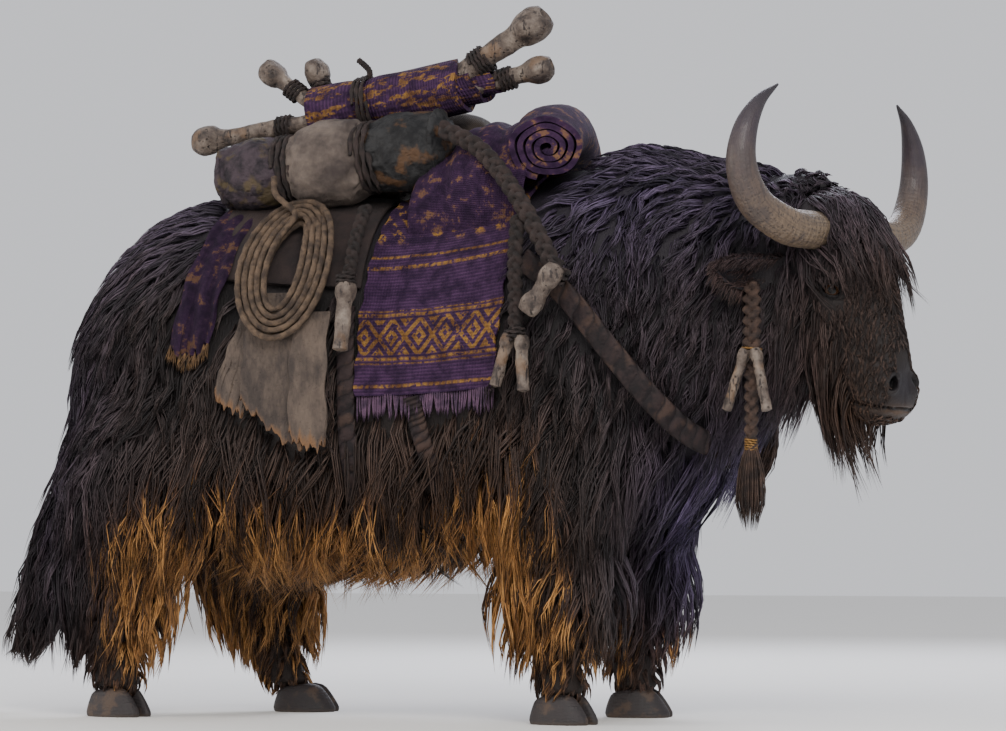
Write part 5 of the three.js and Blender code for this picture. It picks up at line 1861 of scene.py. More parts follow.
@dataclass
class CoatLocks:
    """The coat: clumps of strands that follow the lie of the hair over the skin."""

    skin: bpy.types.Object
    parts: dict[str, tuple[float, int]] = field(default_factory=lambda: {
        "trunk": (25.0, 11), "neck": (20.0, 12), "legs": (21.0, 9), "tail": (19.0, 9),
        "mane": (14.0, 9), "face": (8.2, 5)})
    # How many places are tried, the most strands in a piece, and the bare ring round an eye
    scattered: int = 110000
    most: int = 8900
    round_eye: float = 38
    # What hangs free of the coat, so that hair grows behind it
    FREE = ("charm", "cheek", "hoof", "lash_rope", "toggle_bone")

    def build(self) -> list[bpy.types.Object]:
        """Grow every part of the coat."""
        self.random = np.random.default_rng(SEED)
        self.skin_tree = tree_of([self.skin])
        gear = [name for name in frame["nodes"]
                if name not in FLESH and not any(word in name for word in self.FREE)]
        self.gear_tree = tree_of([bpy.data.objects[name] for name in gear])
        roots, out = self.candidates()
        kinds = self.kind(roots)
        made = []
        for kind, (gap, count) in self.parts.items():
            chosen = np.flatnonzero(kinds == kind)
            chosen = chosen[spaced(roots[chosen], gap)]
            chosen = chosen[self.open(roots[chosen], out[chosen])]
            lines = self.guides(kind, roots[chosen], out[chosen])
            made += self.clumps(kind, *lines, count)
            log.info("coat %s: %d clumps", kind, len(chosen))
        return made

    def candidates(self) -> tuple[np.ndarray, ...]:
        """Scatter places over the skin, denser on the head."""
        mesh = self.skin.data
        mesh.calc_loop_triangles()
        corners = np.empty(len(mesh.loop_triangles) * 3, np.int32)
        mesh.loop_triangles.foreach_get("vertices", corners)
        triangles = places_of(self.skin)[corners.reshape(-1, 3)]
        cross = np.cross(triangles[:, 1] - triangles[:, 0], triangles[:, 2] - triangles[:, 0])
        area = np.linalg.norm(cross, axis=1)
        middle = triangles.mean(axis=1)
        head = (Head.own(middle)[:, 0] > 20) & (middle[:, 0] > 880)
        weight = area * np.where(head, 5.0, 1.0)
        pick = self.random.choice(len(area), self.scattered, p=weight / weight.sum())
        a, b = self.random.random((2, self.scattered))
        flip = a + b > 1
        a, b = np.where(flip, 1 - a, a)[:, None], np.where(flip, 1 - b, b)[:, None]
        t = triangles[pick]
        points = t[:, 0] + a * (t[:, 1] - t[:, 0]) + b * (t[:, 2] - t[:, 0])
        return points, unit(cross[pick])

    @staticmethod
    def skull_place(points: np.ndarray) -> tuple[np.ndarray, np.ndarray]:
        """Give how far down the face places are and their turn from its middle.

        Args:
            points: Places in millimetres, one a row.

        Returns:
            The distance down and the turn.
        """
        away = points - Head.place(*Head.CROWN)
        turn = np.degrees(np.arctan2(away @ Head.ASIDE, away @ Head.FACE_OUT))
        return away @ Head.FACE_DOWN, turn

    def kind(self, points: np.ndarray) -> np.ndarray:
        """Sort places into the parts of the coat; bare places get none.

        Args:
            points: Places in millimetres, one a row.

        Returns:
            The part's name for each place.
        """
        own = Head.folded(points)
        down, turn = self.skull_place(points)
        turn = np.abs(turn)
        to_tail = distance(points, route(Tail.PLACES, 30))
        kinds = np.where(points[:, 0] > 700, "neck", "trunk").astype("<U8")
        kinds[(points[:, 2] < 470) & (points[:, 0] < 640)] = "legs"
        kinds[(to_tail < 60) & (points[:, 2] < 1060)] = "tail"
        head = (own[:, 0] > 30) & (points[:, 0] > 900) & (down > -70)
        long = (down < 78) | ((down > 190) & (down < 435) & (turn > 138)) | (
            (down > 95) & (down < 330) & (turn > 112))
        kinds[head] = np.where(long, "mane", "face")[head]
        eye = np.linalg.norm(own - Head.EYE, axis=1)
        bare = (Zones(points).leather > 0.12) | (eye < self.round_eye) | (own[:, 0] > 296)
        kinds[(head & bare) | (points[:, 2] < 40)] = "bare"
        return kinds

    def open(self, points: np.ndarray, out: np.ndarray) -> np.ndarray:
        """Find the places with nothing of the load lying over them.

        Args:
            points: Places in millimetres, one a row.
            out: The direction outwards at each place.

        Returns:
            Whether each place is free.
        """
        under, sight = 30 * MM, 140 * MM
        free = []
        for point, way in zip(points * MM, out):
            hit = self.gear_tree.ray_cast(Vector(point - way * under), Vector(way), sight)
            free.append(hit[0] is None)
        return np.array(free, bool)

    def growth(self, kind: str, points: np.ndarray, out: np.ndarray) -> Growth:
        """Work out the direction, length and lift of the coat at each root.

        Args:
            kind: The part of the coat.
            points: Places in millimetres, one a row.
            out: The direction outwards at each place.

        Returns:
            The growth at each root.
        """
        x, z = points[:, 0], points[:, 2]
        count = len(points)
        rough = self.random.uniform(0.82, 1.14, count)
        ones = np.ones(count)
        rising = ease(0.2, 0.95, out[:, 2])[:, None]
        if kind == "trunk":
            rear = ease(-700, -960, x)[:, None]
            flow = BACK * mix(0.24, 1.0, rising) + DOWN * mix(1.0, 0.25, rising)
            flow = flow + (DOWN * 0.5 + BACK * 0.25) * rear
            flow = mix(flow, DOWN + BACK * 0.12, ease(-0.1, -0.5, out[:, 2])[:, None])
            long = Profile((450, 250), (620, 250), (800, 215), (1000, 185), (1200, 150),
                           (1400, 118))(z)
            hanging = (z < 760) & (out[:, 2] < 0.25)
            skirt = np.clip(z - Torso.TIP_LOW(x) + self.random.uniform(-20, 55, count), 120, 420)
            long = np.where(hanging, skirt, long) * mix(1, 0.75, ease(-880, -990, x))
            lift = mix(44, 34, ease(900, 1200, z))
            cling = np.where(hanging, 0.15, 0.8)
            return Growth(flow, long * rough, lift, cling, 2.4 * ones, 14 * ones)
        if kind == "neck":
            flow = BACK * mix(0.45, 1.0, rising) + DOWN * mix(1.0, 0.2, rising)
            throat = ease(0.1, -0.5, out[:, 2])
            crown = ease(-80, 10, Head.own(points)[:, 0]) * ease(0.2, 0.6, out[:, 2])
            ahead = Head.AHEAD * 0.8 + DOWN * 0.25 + self.random.normal(0, 0.1, flow.shape)
            flow = mix(flow, ahead, crown[:, None])
            low = Profile((640, 300), (700, 280), (748, 380), (800, 490), (860, 610),
                          (930, 715))(x)
            long = mix(mix(140, 96, ease(1050, 1350, z)), np.clip(z - low, 110, 330), throat)
            long = long * mix(1, 0.38, crown)
            lift = mix(mix(42, 34, throat), 15, crown)
            return Growth(flow, long * rough, lift, mix(0.8, 0.1, throat), 2.0 * ones, 12 * ones)
        if kind == "legs":
            flow = DOWN + BACK * 0.3
            long = Profile((40, 46), (75, 66), (120, 74), (200, 104), (320, 190), (470, 280))(z)
            long = np.minimum(long * rough, np.maximum(z - 16, 40))
            along = Profile((50, 38), (95, 30), (140, 28), (240, 96), (390, 138), (470, 126))(z)
            beside = Profile((50, 34), (95, 26), (140, 22), (240, 44), (390, 62), (470, 60))(z)
            lift = mix(beside, along, out[:, 0] ** 2) * self.random.uniform(0.6, 1.1, count)
            high = ease(90, 300, z)
            return Growth(flow + 0 * points, long, lift, 0.3 * ones, mix(2.0, 2.9, high),
                          mix(8, 16, high))
        if kind == "tail":
            flow = np.array([-0.33, 0, -1.0]) + 0 * points
            long = np.minimum(mix(250, 190, ease(400, 1000, z)) * rough, np.maximum(z - 70, 50))
            return Growth(flow, long, 42 * ones, 0.25 * ones, 2.7 * ones, 13 * ones)
        down, turn = self.skull_place(points)
        side = np.sign(turn)[:, None]
        turn = np.abs(turn)
        if kind == "mane":
            front = (1 - ease(80, 125, turn))[:, None]
            crown = Head.FACE_DOWN + Head.ASIDE * side * 0.22 + Head.AHEAD * 0.25
            behind = BACK + DOWN * 0.25
            jaw = DOWN + Head.AHEAD * -0.3
            flow = np.where((down < 90)[:, None], mix(behind, crown, front), jaw)
            fringe = mix(105, 275, front[:, 0]) * mix(1.0, 0.8, ease(0, 70, down))
            beard = np.where(turn > 132, mix(275, 285, ease(200, 330, down)), 150)
            beard = np.where((down > 380) & (turn > 138), 185, beard)
            long = np.where(down < 90, fringe, beard)
            lift = np.where(down < 90, mix(24, 58, front[:, 0] * ease(-20, 40, down)), 22)
            cling = np.where(down < 90, 0.55, 0.0)
            return Growth(flow, long * rough, lift * ones, cling, 2.1 * ones, 10 * ones)
        away = (points - Head.place(158, 0, -207)) @ Head.ASIDE
        flow = Head.FACE_DOWN * 0.9 + BACK * 0.25 + Head.ASIDE * (np.sign(away) * 0.35)[:, None]
        low = ease(120, 430, down)
        return Growth(flow, mix(52, 27, low) * rough, mix(9, 5, low), 0.8 * ones, 1.5 * ones,
                      5 * ones)

    def guides(self, kind: str, roots: np.ndarray, out: np.ndarray) -> tuple[np.ndarray, ...]:
        """March each clump's middle line over the skin and keep it clear of the load.

        Args:
            kind: The part of the coat.
            roots: Where the hair starts.
            out: The direction outwards at each place.

        Returns:
            The lines, the directions aside and outwards, and the growth kept.
        """
        grow = self.growth(kind, roots, out)
        count = len(roots)
        sway = unit(np.cross(out, grow.flow)) * self.random.normal(0, 0.16, count)[:, None]
        lines = np.empty((count, 5, 3))
        ways = np.empty((count, 5, 3))
        lines[:, 0] = roots - out * 7
        ways[:, 0] = out
        rise = (0.25, 0.75, 1.0, 0.85)
        flow = unit(grow.flow + sway)
        for k in range(1, 5):
            lean = ease(0.0, 0.4, (SHARES[k] + SHARES[k - 1]) / 2)
            near = ways[:, k - 1]
            tangent = unit(flow - near * np.sum(flow * near, axis=1, keepdims=True) * 0.85)
            free = (1 - grow.cling)[:, None] * SHARES[k]
            way = unit(mix(near * 0.9 + tangent, tangent, lean) + DOWN * free * 0.8)
            step = (grow.long * (SHARES[k] - SHARES[k - 1]))[:, None]
            points = lines[:, k - 1] + way * step
            for j, point in enumerate(points):
                place, normal, _, _ = self.skin_tree.find_nearest(Vector(point * MM))
                place, normal = np.array(place) / MM, np.array(normal)
                high = float(np.dot(point - place, normal))
                wanted = grow.lift[j] * rise[k - 1]
                share = 1.0 if high < 0.45 * wanted else grow.cling[j] if high > wanted else 0.0
                lines[j, k] = point + normal * (wanted - high) * share
                ways[j, k] = normal
        lines[:, 1:4] = (lines[:, 0:3] + lines[:, 1:4] * 2 + lines[:, 2:5]) / 4
        side = unit(np.cross(unit(np.gradient(lines, axis=1)), ways))
        phase = self.random.uniform(0, 1, (count, 1))
        waves = self.random.uniform(0.7, 1.3, (count, 1))
        wave = np.sin(2 * np.pi * (SHARES[None] * waves + phase)) - np.sin(2 * np.pi * phase)
        lines += side * (wave * grow.long[:, None] * 0.06 * ease(0, 0.4, SHARES))[..., None]
        keep = np.ones(count, bool)
        for j in range(count):
            for k in range(1, 5):
                point = Vector(lines[j, k] * MM)
                place, normal, _, far = self.gear_tree.find_nearest(point)
                inside = (point - place).dot(normal) < 0 and far < 0.05
                if far < 0.004 or inside:
                    keep[j] = k > 2
                    reach = SHARES[k - 1]
                    lines[j] = read_at(SHARES * reach, SHARES, lines[j])
                    break
        lines[..., 2] = np.maximum(lines[..., 2], 9)
        kept = Growth(*[getattr(grow, key)[keep] for key in
                        ("flow", "long", "lift", "cling", "thick", "spread")])
        return lines[keep], side[keep], ways[keep], kept

    def clumps(self, kind: str, lines: np.ndarray, side: np.ndarray, ways: np.ndarray,
               grow: Growth, count: int) -> list[bpy.types.Object]:
        """Fill each clump with strands and make the coat's pieces.

        Args:
            kind: The part of the coat.
            lines: The clumps' middle lines.
            side: The directions aside.
            ways: The directions outwards.
            grow: How the clumps grow.
            count: How many strands a clump has.

        Returns:
            The coat's pieces.
        """
        clumps = len(lines)
        shape = (clumps, count)
        turn = self.random.uniform(0, 2 * np.pi, shape)
        far = np.sqrt(self.random.random(shape)) * grow.spread[:, None]
        pinch = 1 - 0.86 * SHARES ** 0.9
        end = self.random.uniform(0.70, 1.06, shape)
        stray = SHARES * grow.spread[:, None, None] * 0.16
        a = (far * np.cos(turn))[..., None] * pinch
        a = a + self.random.normal(0, 1, shape)[..., None] * stray
        b = (far * np.sin(turn))[..., None] * pinch * mix(1.0, 0.5, SHARES)
        curl = self.random.normal(0, 0.035, shape)[..., None] * grow.long[:, None, None]
        a = a + curl * np.sin(SHARES * np.pi * 1.6)
        reach = SHARES[None, None] * end[..., None]
        k = np.clip(np.searchsorted(SHARES, reach, side="right") - 1, 0, 3)
        t = (reach - SHARES[k]) / (SHARES[k + 1] - SHARES[k])
        rows = np.arange(clumps)[:, None, None]
        middle = lines[rows, k] * (1 - t[..., None]) + lines[rows, k + 1] * t[..., None]
        hairs = middle + side[:, None] * a[..., None] + ways[:, None] * b[..., None]
        hairs = hairs.reshape(-1, 5, 3)
        hairs[..., 2] = np.maximum(hairs[..., 2], 7)
        widths = (grow.thick[:, None] * self.random.uniform(0.75, 1.2, shape)).ravel()
        tones = np.clip(self.random.normal(0.42, 0.26, (clumps, 1))
                        + self.random.normal(0, 0.13, shape), 0, 1).ravel()
        pieces = []
        order = np.argsort(np.repeat(lines[:, 0, 0], count), kind="stable")
        parts = math.ceil(len(order) / self.most)
        for part, chosen in enumerate(np.array_split(order, parts)):
            name = f"coat_{kind}" if parts == 1 else f"coat_{kind}_{part + 1}"
            roots = self.unwrapped(hairs[chosen, 0])
            piece = strand_mesh(name, hairs[chosen], widths[chosen], LOCK, roots)
            zones = Zones(places_of(piece))
            set_attribute(piece, "shade", np.repeat(tones[chosen], STRAND_POINTS))
            for key in ("gold", "cool", "brown"):
                set_attribute(piece, key, getattr(zones, key))
            Coat().dress(piece)
            pieces.append(piece)
        return pieces

    def unwrapped(self, points: np.ndarray) -> np.ndarray:
        """Find where points lie on the skin's unwrap.

        Args:
            points: Places in millimetres, one a row.

        Returns:
            One place for each point.
        """
        mesh = self.skin.data
        layer = mesh.uv_layers["OFBake"].data
        found = []
        for point in points * MM:
            place, _, number, _ = self.skin_tree.find_nearest(Vector(point))
            face = mesh.polygons[number]
            corners = [mesh.vertices[c].co for c in face.vertices[:3]]
            spots = [Vector((*layer[c].uv, 0)) for c in face.loop_indices[:3]]
            spot = barycentric_transform(place, *corners, *spots)
            found.append((spot.x, spot.y))
        return np.array(found)


# Pieces of the load
def dressed(piece: bpy.types.Object, finish: Finish, slot: str, *nodes: str) -> bpy.types.Object:
    """Give a piece its finish, and hide the nodes that it replaces.

    Args:
        piece: The piece.
        finish: Its finish.
        slot: Not used.
        nodes: The nodes that it replaces.

    Returns:
        The piece.
    """
    finish.dress(piece)
    if nodes:
        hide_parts(*nodes)
    return piece


def ripple(points: np.ndarray, scale: float, seed: float = 0.0) -> np.ndarray:
    """Give a soft uneven value from -1 to 1 at places, with waves of about a scale.

    Args:
        points: Places in millimetres, one a row.
        scale: About how long the waves are.
        seed: Shifts the waves.

    Returns:
        One value for each place.
    """
    q = points / scale
    a = np.sin(q[:, 0] * 2.1 + seed + 1.3 * np.sin(q[:, 2] * 1.7 + seed))
    b = np.sin(q[:, 1] * 2.6 - seed * 2 + 1.1 * np.sin(q[:, 0] * 1.3))
    c = np.sin(q[:, 2] * 2.3 + seed * 3 + 1.2 * np.sin(q[:, 1] * 1.9 + q[:, 0]))
    return (a + b + c) / 3


def uneven(piece: bpy.types.Object, depth: float, scale: float, seed: float = 0.0) -> None:
    """Push a piece's surface in and out unevenly."""
    points = places_of(piece)
    set_places(piece, points + normals_of(piece) * (ripple(points, scale, seed) * depth)[:, None])


def bone(name: str, start: Sequence[float], end: Sequence[float], shaft: float, knuckle: float,
         base: float = 1.0, node: bool = True) -> bpy.types.Object:
    """Make a long bone with two knuckles, each of two lobes with a pit between them.

    Args:
        name: The name of the node that it replaces.
        start: The middle of one end.
        end: The middle of the other.
        shaft: The shaft's radius.
        knuckle: The knuckles' radius.
        base: The share of the first knuckle that is left, 0 for a broken or buried end.
        node: Whether the name is a node's.

    Returns:
        The bone.
    """
    start, end = np.array(start, float), np.array(end, float)
    length = float(np.linalg.norm(end - start))
    path = straight(start, end, 44)

    def knob(far: np.ndarray) -> np.ndarray:
        """Give a knuckle's radius for the distance from its end."""
        ball = np.sqrt(np.maximum(knuckle ** 2 - (knuckle * 0.86 - far) ** 2, 0))
        return np.maximum(ball, knuckle * np.exp(-((far - knuckle) / (knuckle * 1.1)) ** 2) * 0.86)

    def size(t: np.ndarray, turn: np.ndarray) -> np.ndarray:
        """Give the bone's radius, lobed at the knuckles."""
        far = knob((1 - t) * length)
        near = knob(t * length) * base
        bulb = np.maximum(far, near)
        both = (bulb ** 5 + shaft ** 5) ** 0.2
        swell = np.clip(bulb / knuckle, 0, 1) ** 2
        lobes = 1 + swell * (0.12 * np.cos(2 * turn) + 0.05 * np.cos(4 * turn + 1)) - 0.06 * swell
        return both * (lobes + 0.03 * np.sin(3 * turn + 9 * t))
    piece = rod(name, path, size, 26, dimple=knuckle * 0.62)
    uneven(piece, shaft * 0.10, shaft * 1.5, start[0])
    uneven(piece, shaft * 0.05, shaft * 0.5, end[2])
    points = places_of(piece)
    # Where the end's hollow is painted dark as shade
    ends = np.exp(-(np.linalg.norm(points - end, axis=1) / (knuckle * 0.46)) ** 2)
    set_attribute(piece, "hollow", ends)
    return dressed(piece, Bone(), "bone", *([name] if node else []))


def wound(name: str, middle: Sequence[float], way: np.ndarray, radius: float, turns: float,
          thick: float, finish: Finish = DARK_ROPE, slot: str = "rope") -> bpy.types.Object:
    """Wind a cord round something.

    Args:
        name: The piece's name.
        middle: The middle of the winding.
        way: The direction of what it is wound on.
        radius: The radius of the winding.
        turns: The number of turns, side by side.
        thick: The cord's radius.
        finish: The cord's finish.
        slot: The record's slot.

    Returns:
        The winding.
    """
    way = unit(np.asarray(way, float))
    side = unit(np.cross(way, UP if abs(way[2]) < 0.9 else BACK))
    top = np.cross(side, way)
    at = np.linspace(0, 1, int(26 * turns) + 1)[:, None]
    swing = 2 * np.pi * turns * at
    path = np.asarray(middle, float) + way * (at - 0.5) * turns * thick * 1.9
    path = path + radius * (side * np.cos(swing) + top * np.sin(swing))
    piece = rod(name, path, twisted(thick, 2, turns * radius / thick / 1.2), 10)
    return dressed(piece, finish, slot)


def sheet_of(name: str, columns: int, rows: int, shape: Shape, thick: float) -> bpy.types.Object:
    """Make an open sheet with a wall of some thickness about its middle surface.

    Args:
        name: The piece's name.
        columns: Faces across.
        rows: Faces along.
        shape: Gives the middle surface for arrays of u and v.
        thick: The wall's thickness.

    Returns:
        The sheet.
    """
    piece = formed(name, columns, rows, shape, merge=0.0001)
    modify(piece, "SOLIDIFY", thickness=thick * MM, offset=0.0, use_even_offset=False)
    take(piece)
    bpy.ops.object.shade_smooth_by_angle(angle=math.radians(50))
    return piece


def strap(name: str, points: np.ndarray, outs: np.ndarray, width: float,
          thick: float) -> bpy.types.Object:
    """Make a flat strap along points, with its face along the outward directions.

    Args:
        name: The piece's name.
        points: The strap's middle line.
        outs: The direction of its face at each.
        width: The strap's width.
        thick: The thickness.

    Returns:
        The strap.
    """
    outs = unit(outs)
    across = unit(np.cross(np.gradient(points, axis=0), outs))
    last = len(points) - 1
    rows = last + 2

    def shape(u: np.ndarray, v: np.ndarray) -> np.ndarray:
        """Set the flat section along the points, closed at both ends."""
        row = np.round(v * rows).astype(int)
        k = np.clip(row - 1, 0, last)
        share = np.where((row == 0) | (row == rows), 0.0, 1.0)
        turn = 2 * np.pi * u
        a = bend(np.cos(turn), 0.45) * width / 2 * share
        b = bend(np.sin(turn), 0.7) * thick / 2 * share
        return points[k] + across[k] * a[:, None] + outs[k] * (b + thick / 2)[:, None]
    return dressed(formed(name, 14, rows, shape), STRAP, "leather", name)


@dataclass
class Ropes:
    """The free ropes: the coil, the lash rope and the two charm ropes, with their bones."""

    coil_x: float = -288
    coil_top: float = 1262
    coil_low: float = 918
    coil_half: float = 125
    coil_ring: float = 44
    coil_thick: float = 26
    coil_rope: float = 8.5

    def build(self) -> None:
        """Make every rope."""
        self.coil()
        self.hang("lash_rope", [(88, -252, 1452), (190, -268, 1398), (300, -318, 1285),
                                (372, -352, 1180), (430, -372, 1078)], 17, 17,
                  [bone("toggle_bone", (438, -398, 1092), (362, -398, 985), 22, 32),
                   wound("lash_wrap", (430, -376, 1082), (-0.5, 0, -0.86), 26, 3, 8)])
        front = [bone("front_charm_bone_a", (282, -394, 812), (316, -392, 935), 14, 20, 0.2),
                 bone("front_charm_bone_b", (352, -394, 800), (346, -392, 930), 15, 21, 0.2)]
        front.append(wound("front_charm_wrap", (330, -388, 934), UP, 21, 3, 5))
        self.hang("front_charm_rope", [(318, -336, 1222), (322, -368, 1120), (326, -376, 1020),
                                       (328, -382, 930)], 14, 11, front)
        side = [bone("charm_bone", (-118, -398, 905), (-112, -372, 1072), 19, 29, 0.3),
                wound("charm_wrap", (-112, -374, 1078), UP, 22, 3, 5)]
        self.hang("charm_rope", [(-100, -275, 1262), (-106, -325, 1180), (-110, -358, 1090),
                                 (-114, -382, 1000)], 13, 12, side)

    def hang(self, name: str, places: Sequence[Sequence[float]], radius: float, crossings: float,
             ends: list[bpy.types.Object]) -> None:
        """Make one plaited rope that hangs with charms on its end.

        Args:
            name: The piece's name.
            places: The points that it passes.
            radius: The cord's radius, which its three strands pass.
            crossings: The plait's crossings.
            ends: The bones and wraps at its end; not used.
        """
        path = evened(route(places, 40), max(24, int(crossings * 7)))
        piece = rod(name, path, plaited(radius * 1.36, crossings), 26, OUTWARD)
        dressed(piece, DARK_ROPE, "rope", name)
        log.info("%s: %.3f m", name, run_length(path) * MM)

    def coil(self) -> None:
        """Wind the spare rope: five turns in front and four behind them."""
        middle = (self.coil_top + self.coil_low) / 2
        high = (self.coil_top - self.coil_low) / 2 - self.coil_ring
        long = self.coil_half - self.coil_ring
        lanes = [(-34, 13), (-25, -8), (-17, 13), (-8, -8), (0, 13), (9, -8), (17, 13), (26, -8),
                 (34, 13)]
        steps = 30
        turn = np.radians(90) + 2 * np.pi * np.arange(steps * len(lanes) + 1) / steps
        at = np.arange(len(turn)) / steps
        lane = np.clip(at.astype(int), 0, len(lanes) - 1)
        nearer = ease(0.8, 1.0, at - lane)
        after = np.clip(lane + 1, 0, len(lanes) - 1)
        offset = np.array(lanes, float)
        radial, depth = (offset[lane] * (1 - nearer)[:, None] + offset[after] * nearer[:, None]).T
        z = middle + high * np.sin(turn)
        x = self.coil_x + long * np.cos(turn) + (z - middle) * 0.05
        out = Torso.out(np.full(len(z), self.coil_x), -Torso.turn_at(self.coil_x, z))
        place = Torso.over(x, -Torso.turn_at(x, z), 20 + self.coil_thick)
        across = stack(np.cos(turn), 0, np.sin(turn))
        across = unit(across - out * np.sum(across * out, axis=1, keepdims=True))
        loose = 1 + 0.06 * np.sin(at * 2.4)
        path = place + across * (radial * loose)[:, None] + out * depth[:, None]
        start = route([(-352, -262, 1345), (-340, -282, 1300), path[0] + [-8, 0, 14], path[3]], 8)
        path = np.vstack([start[:-1], path[3:]])
        path = evened(path, int(run_length(path) / 12))
        length = run_length(path) * MM
        piece = rod("rope_coil", path, twisted(self.coil_rope, 3, length * 1000 / 52), 12)
        dressed(piece, TAN_ROPE, "rope", "rope_coil")
        tuple(path[0] * MM)
        [tuple(p * MM) for p in path]
        log.info("rope_coil: %.2f m", length)


@dataclass
class HeadCharms:
    """The plaits that hang at each cheek, with bones, wraps and tassels."""

    def build(self) -> None:
        """Make both sides."""
        random = np.random.default_rng(SEED + 1)
        for name, side in SIDES:
            shift = 0 if side < 0 else -100
            low = -784 if side < 0 else -680
            knot = -350 if side < 0 else -330
            lean = shift * 1.6
            top = (4 + shift, side * 205, -190)
            foot = (10 + shift * 3, side * 224, low)
            bow = (mix(top[0], foot[0], 0.4) + 8, side * 222, mix(-190, low, 0.35))
            path = evened(np.array([Head.place(*p) for p in route([top, bow, foot], 60)]), 61)
            cut = 40
            plait = evened(path[:51], 115)
            section = plaited(1.0, 19)
            size = Profile((0, 20), (0.07, 23), (0.34, 22.6), (0.4, 19.5), (0.75, 17.5), (1, 15))
            piece = rod(f"cheek_braid_{name}", plait,
                        lambda t, turn: size(t) * section(t, turn), 26, Head.ASIDE)
            dressed(piece, PLAIT, "braid", f"cheek_braid_{name}")
            way = unit(path[cut] - path[cut - 4])
            ends = [
                bone(f"cheek_bone_{name}_a", Head.place(-39 + lean, side * 250, knot - 142),
                     Head.place(14 + lean, side * 246, knot), 12, 18, 0.25),
                bone(f"cheek_bone_{name}_b", Head.place(72 + lean, side * 244, knot - 145),
                     Head.place(38 + lean, side * 242, knot), 12, 18, 0.25),
                wound(f"cheek_wrap_{name}", path[17], way, 22, 4, 3.6, BRASS),
                wound(f"tassel_wrap_{name}", path[cut - 1], way, 14, 5, 3.0, BRASS),
                self.tassel(f"tassel_{name}", path[cut - 2:], random),
            ]
            log.info("cheek_braid_%s: %.3f m", name, run_length(plait) * MM)

    def tassel(self, name: str, path: np.ndarray, random: np.random.Generator) -> bpy.types.Object:
        """Make a tassel of hair that swells below its wrap.

        Args:
            name: The piece's name.
            path: The tassel's middle line.
            random: Gives the random numbers.

        Returns:
            The tassel.
        """
        count = 260
        middle = evened(path, 5)
        turn = random.uniform(0, 2 * np.pi, count)
        far = np.sqrt(random.random(count))
        swell = np.array([9, 27, 37, 34, 15])
        reach = random.uniform(0.72, 1.0, count)
        lines = []
        for share in SHARES:
            at = share * reach * 4
            base = read_at(at, np.arange(5), middle)
            radius = np.interp(at, np.arange(5), swell) * far
            radius = radius * (1 + 0.1 * random.normal(0, 1, count) * share)
            lines.append(base + stack(np.cos(turn) * radius, np.sin(turn) * radius, 0 * radius))
        piece = strand_mesh(name, np.stack(lines, axis=1), random.uniform(1.2, 2.1, count))
        return dressed(piece, PLAIT, "braid")


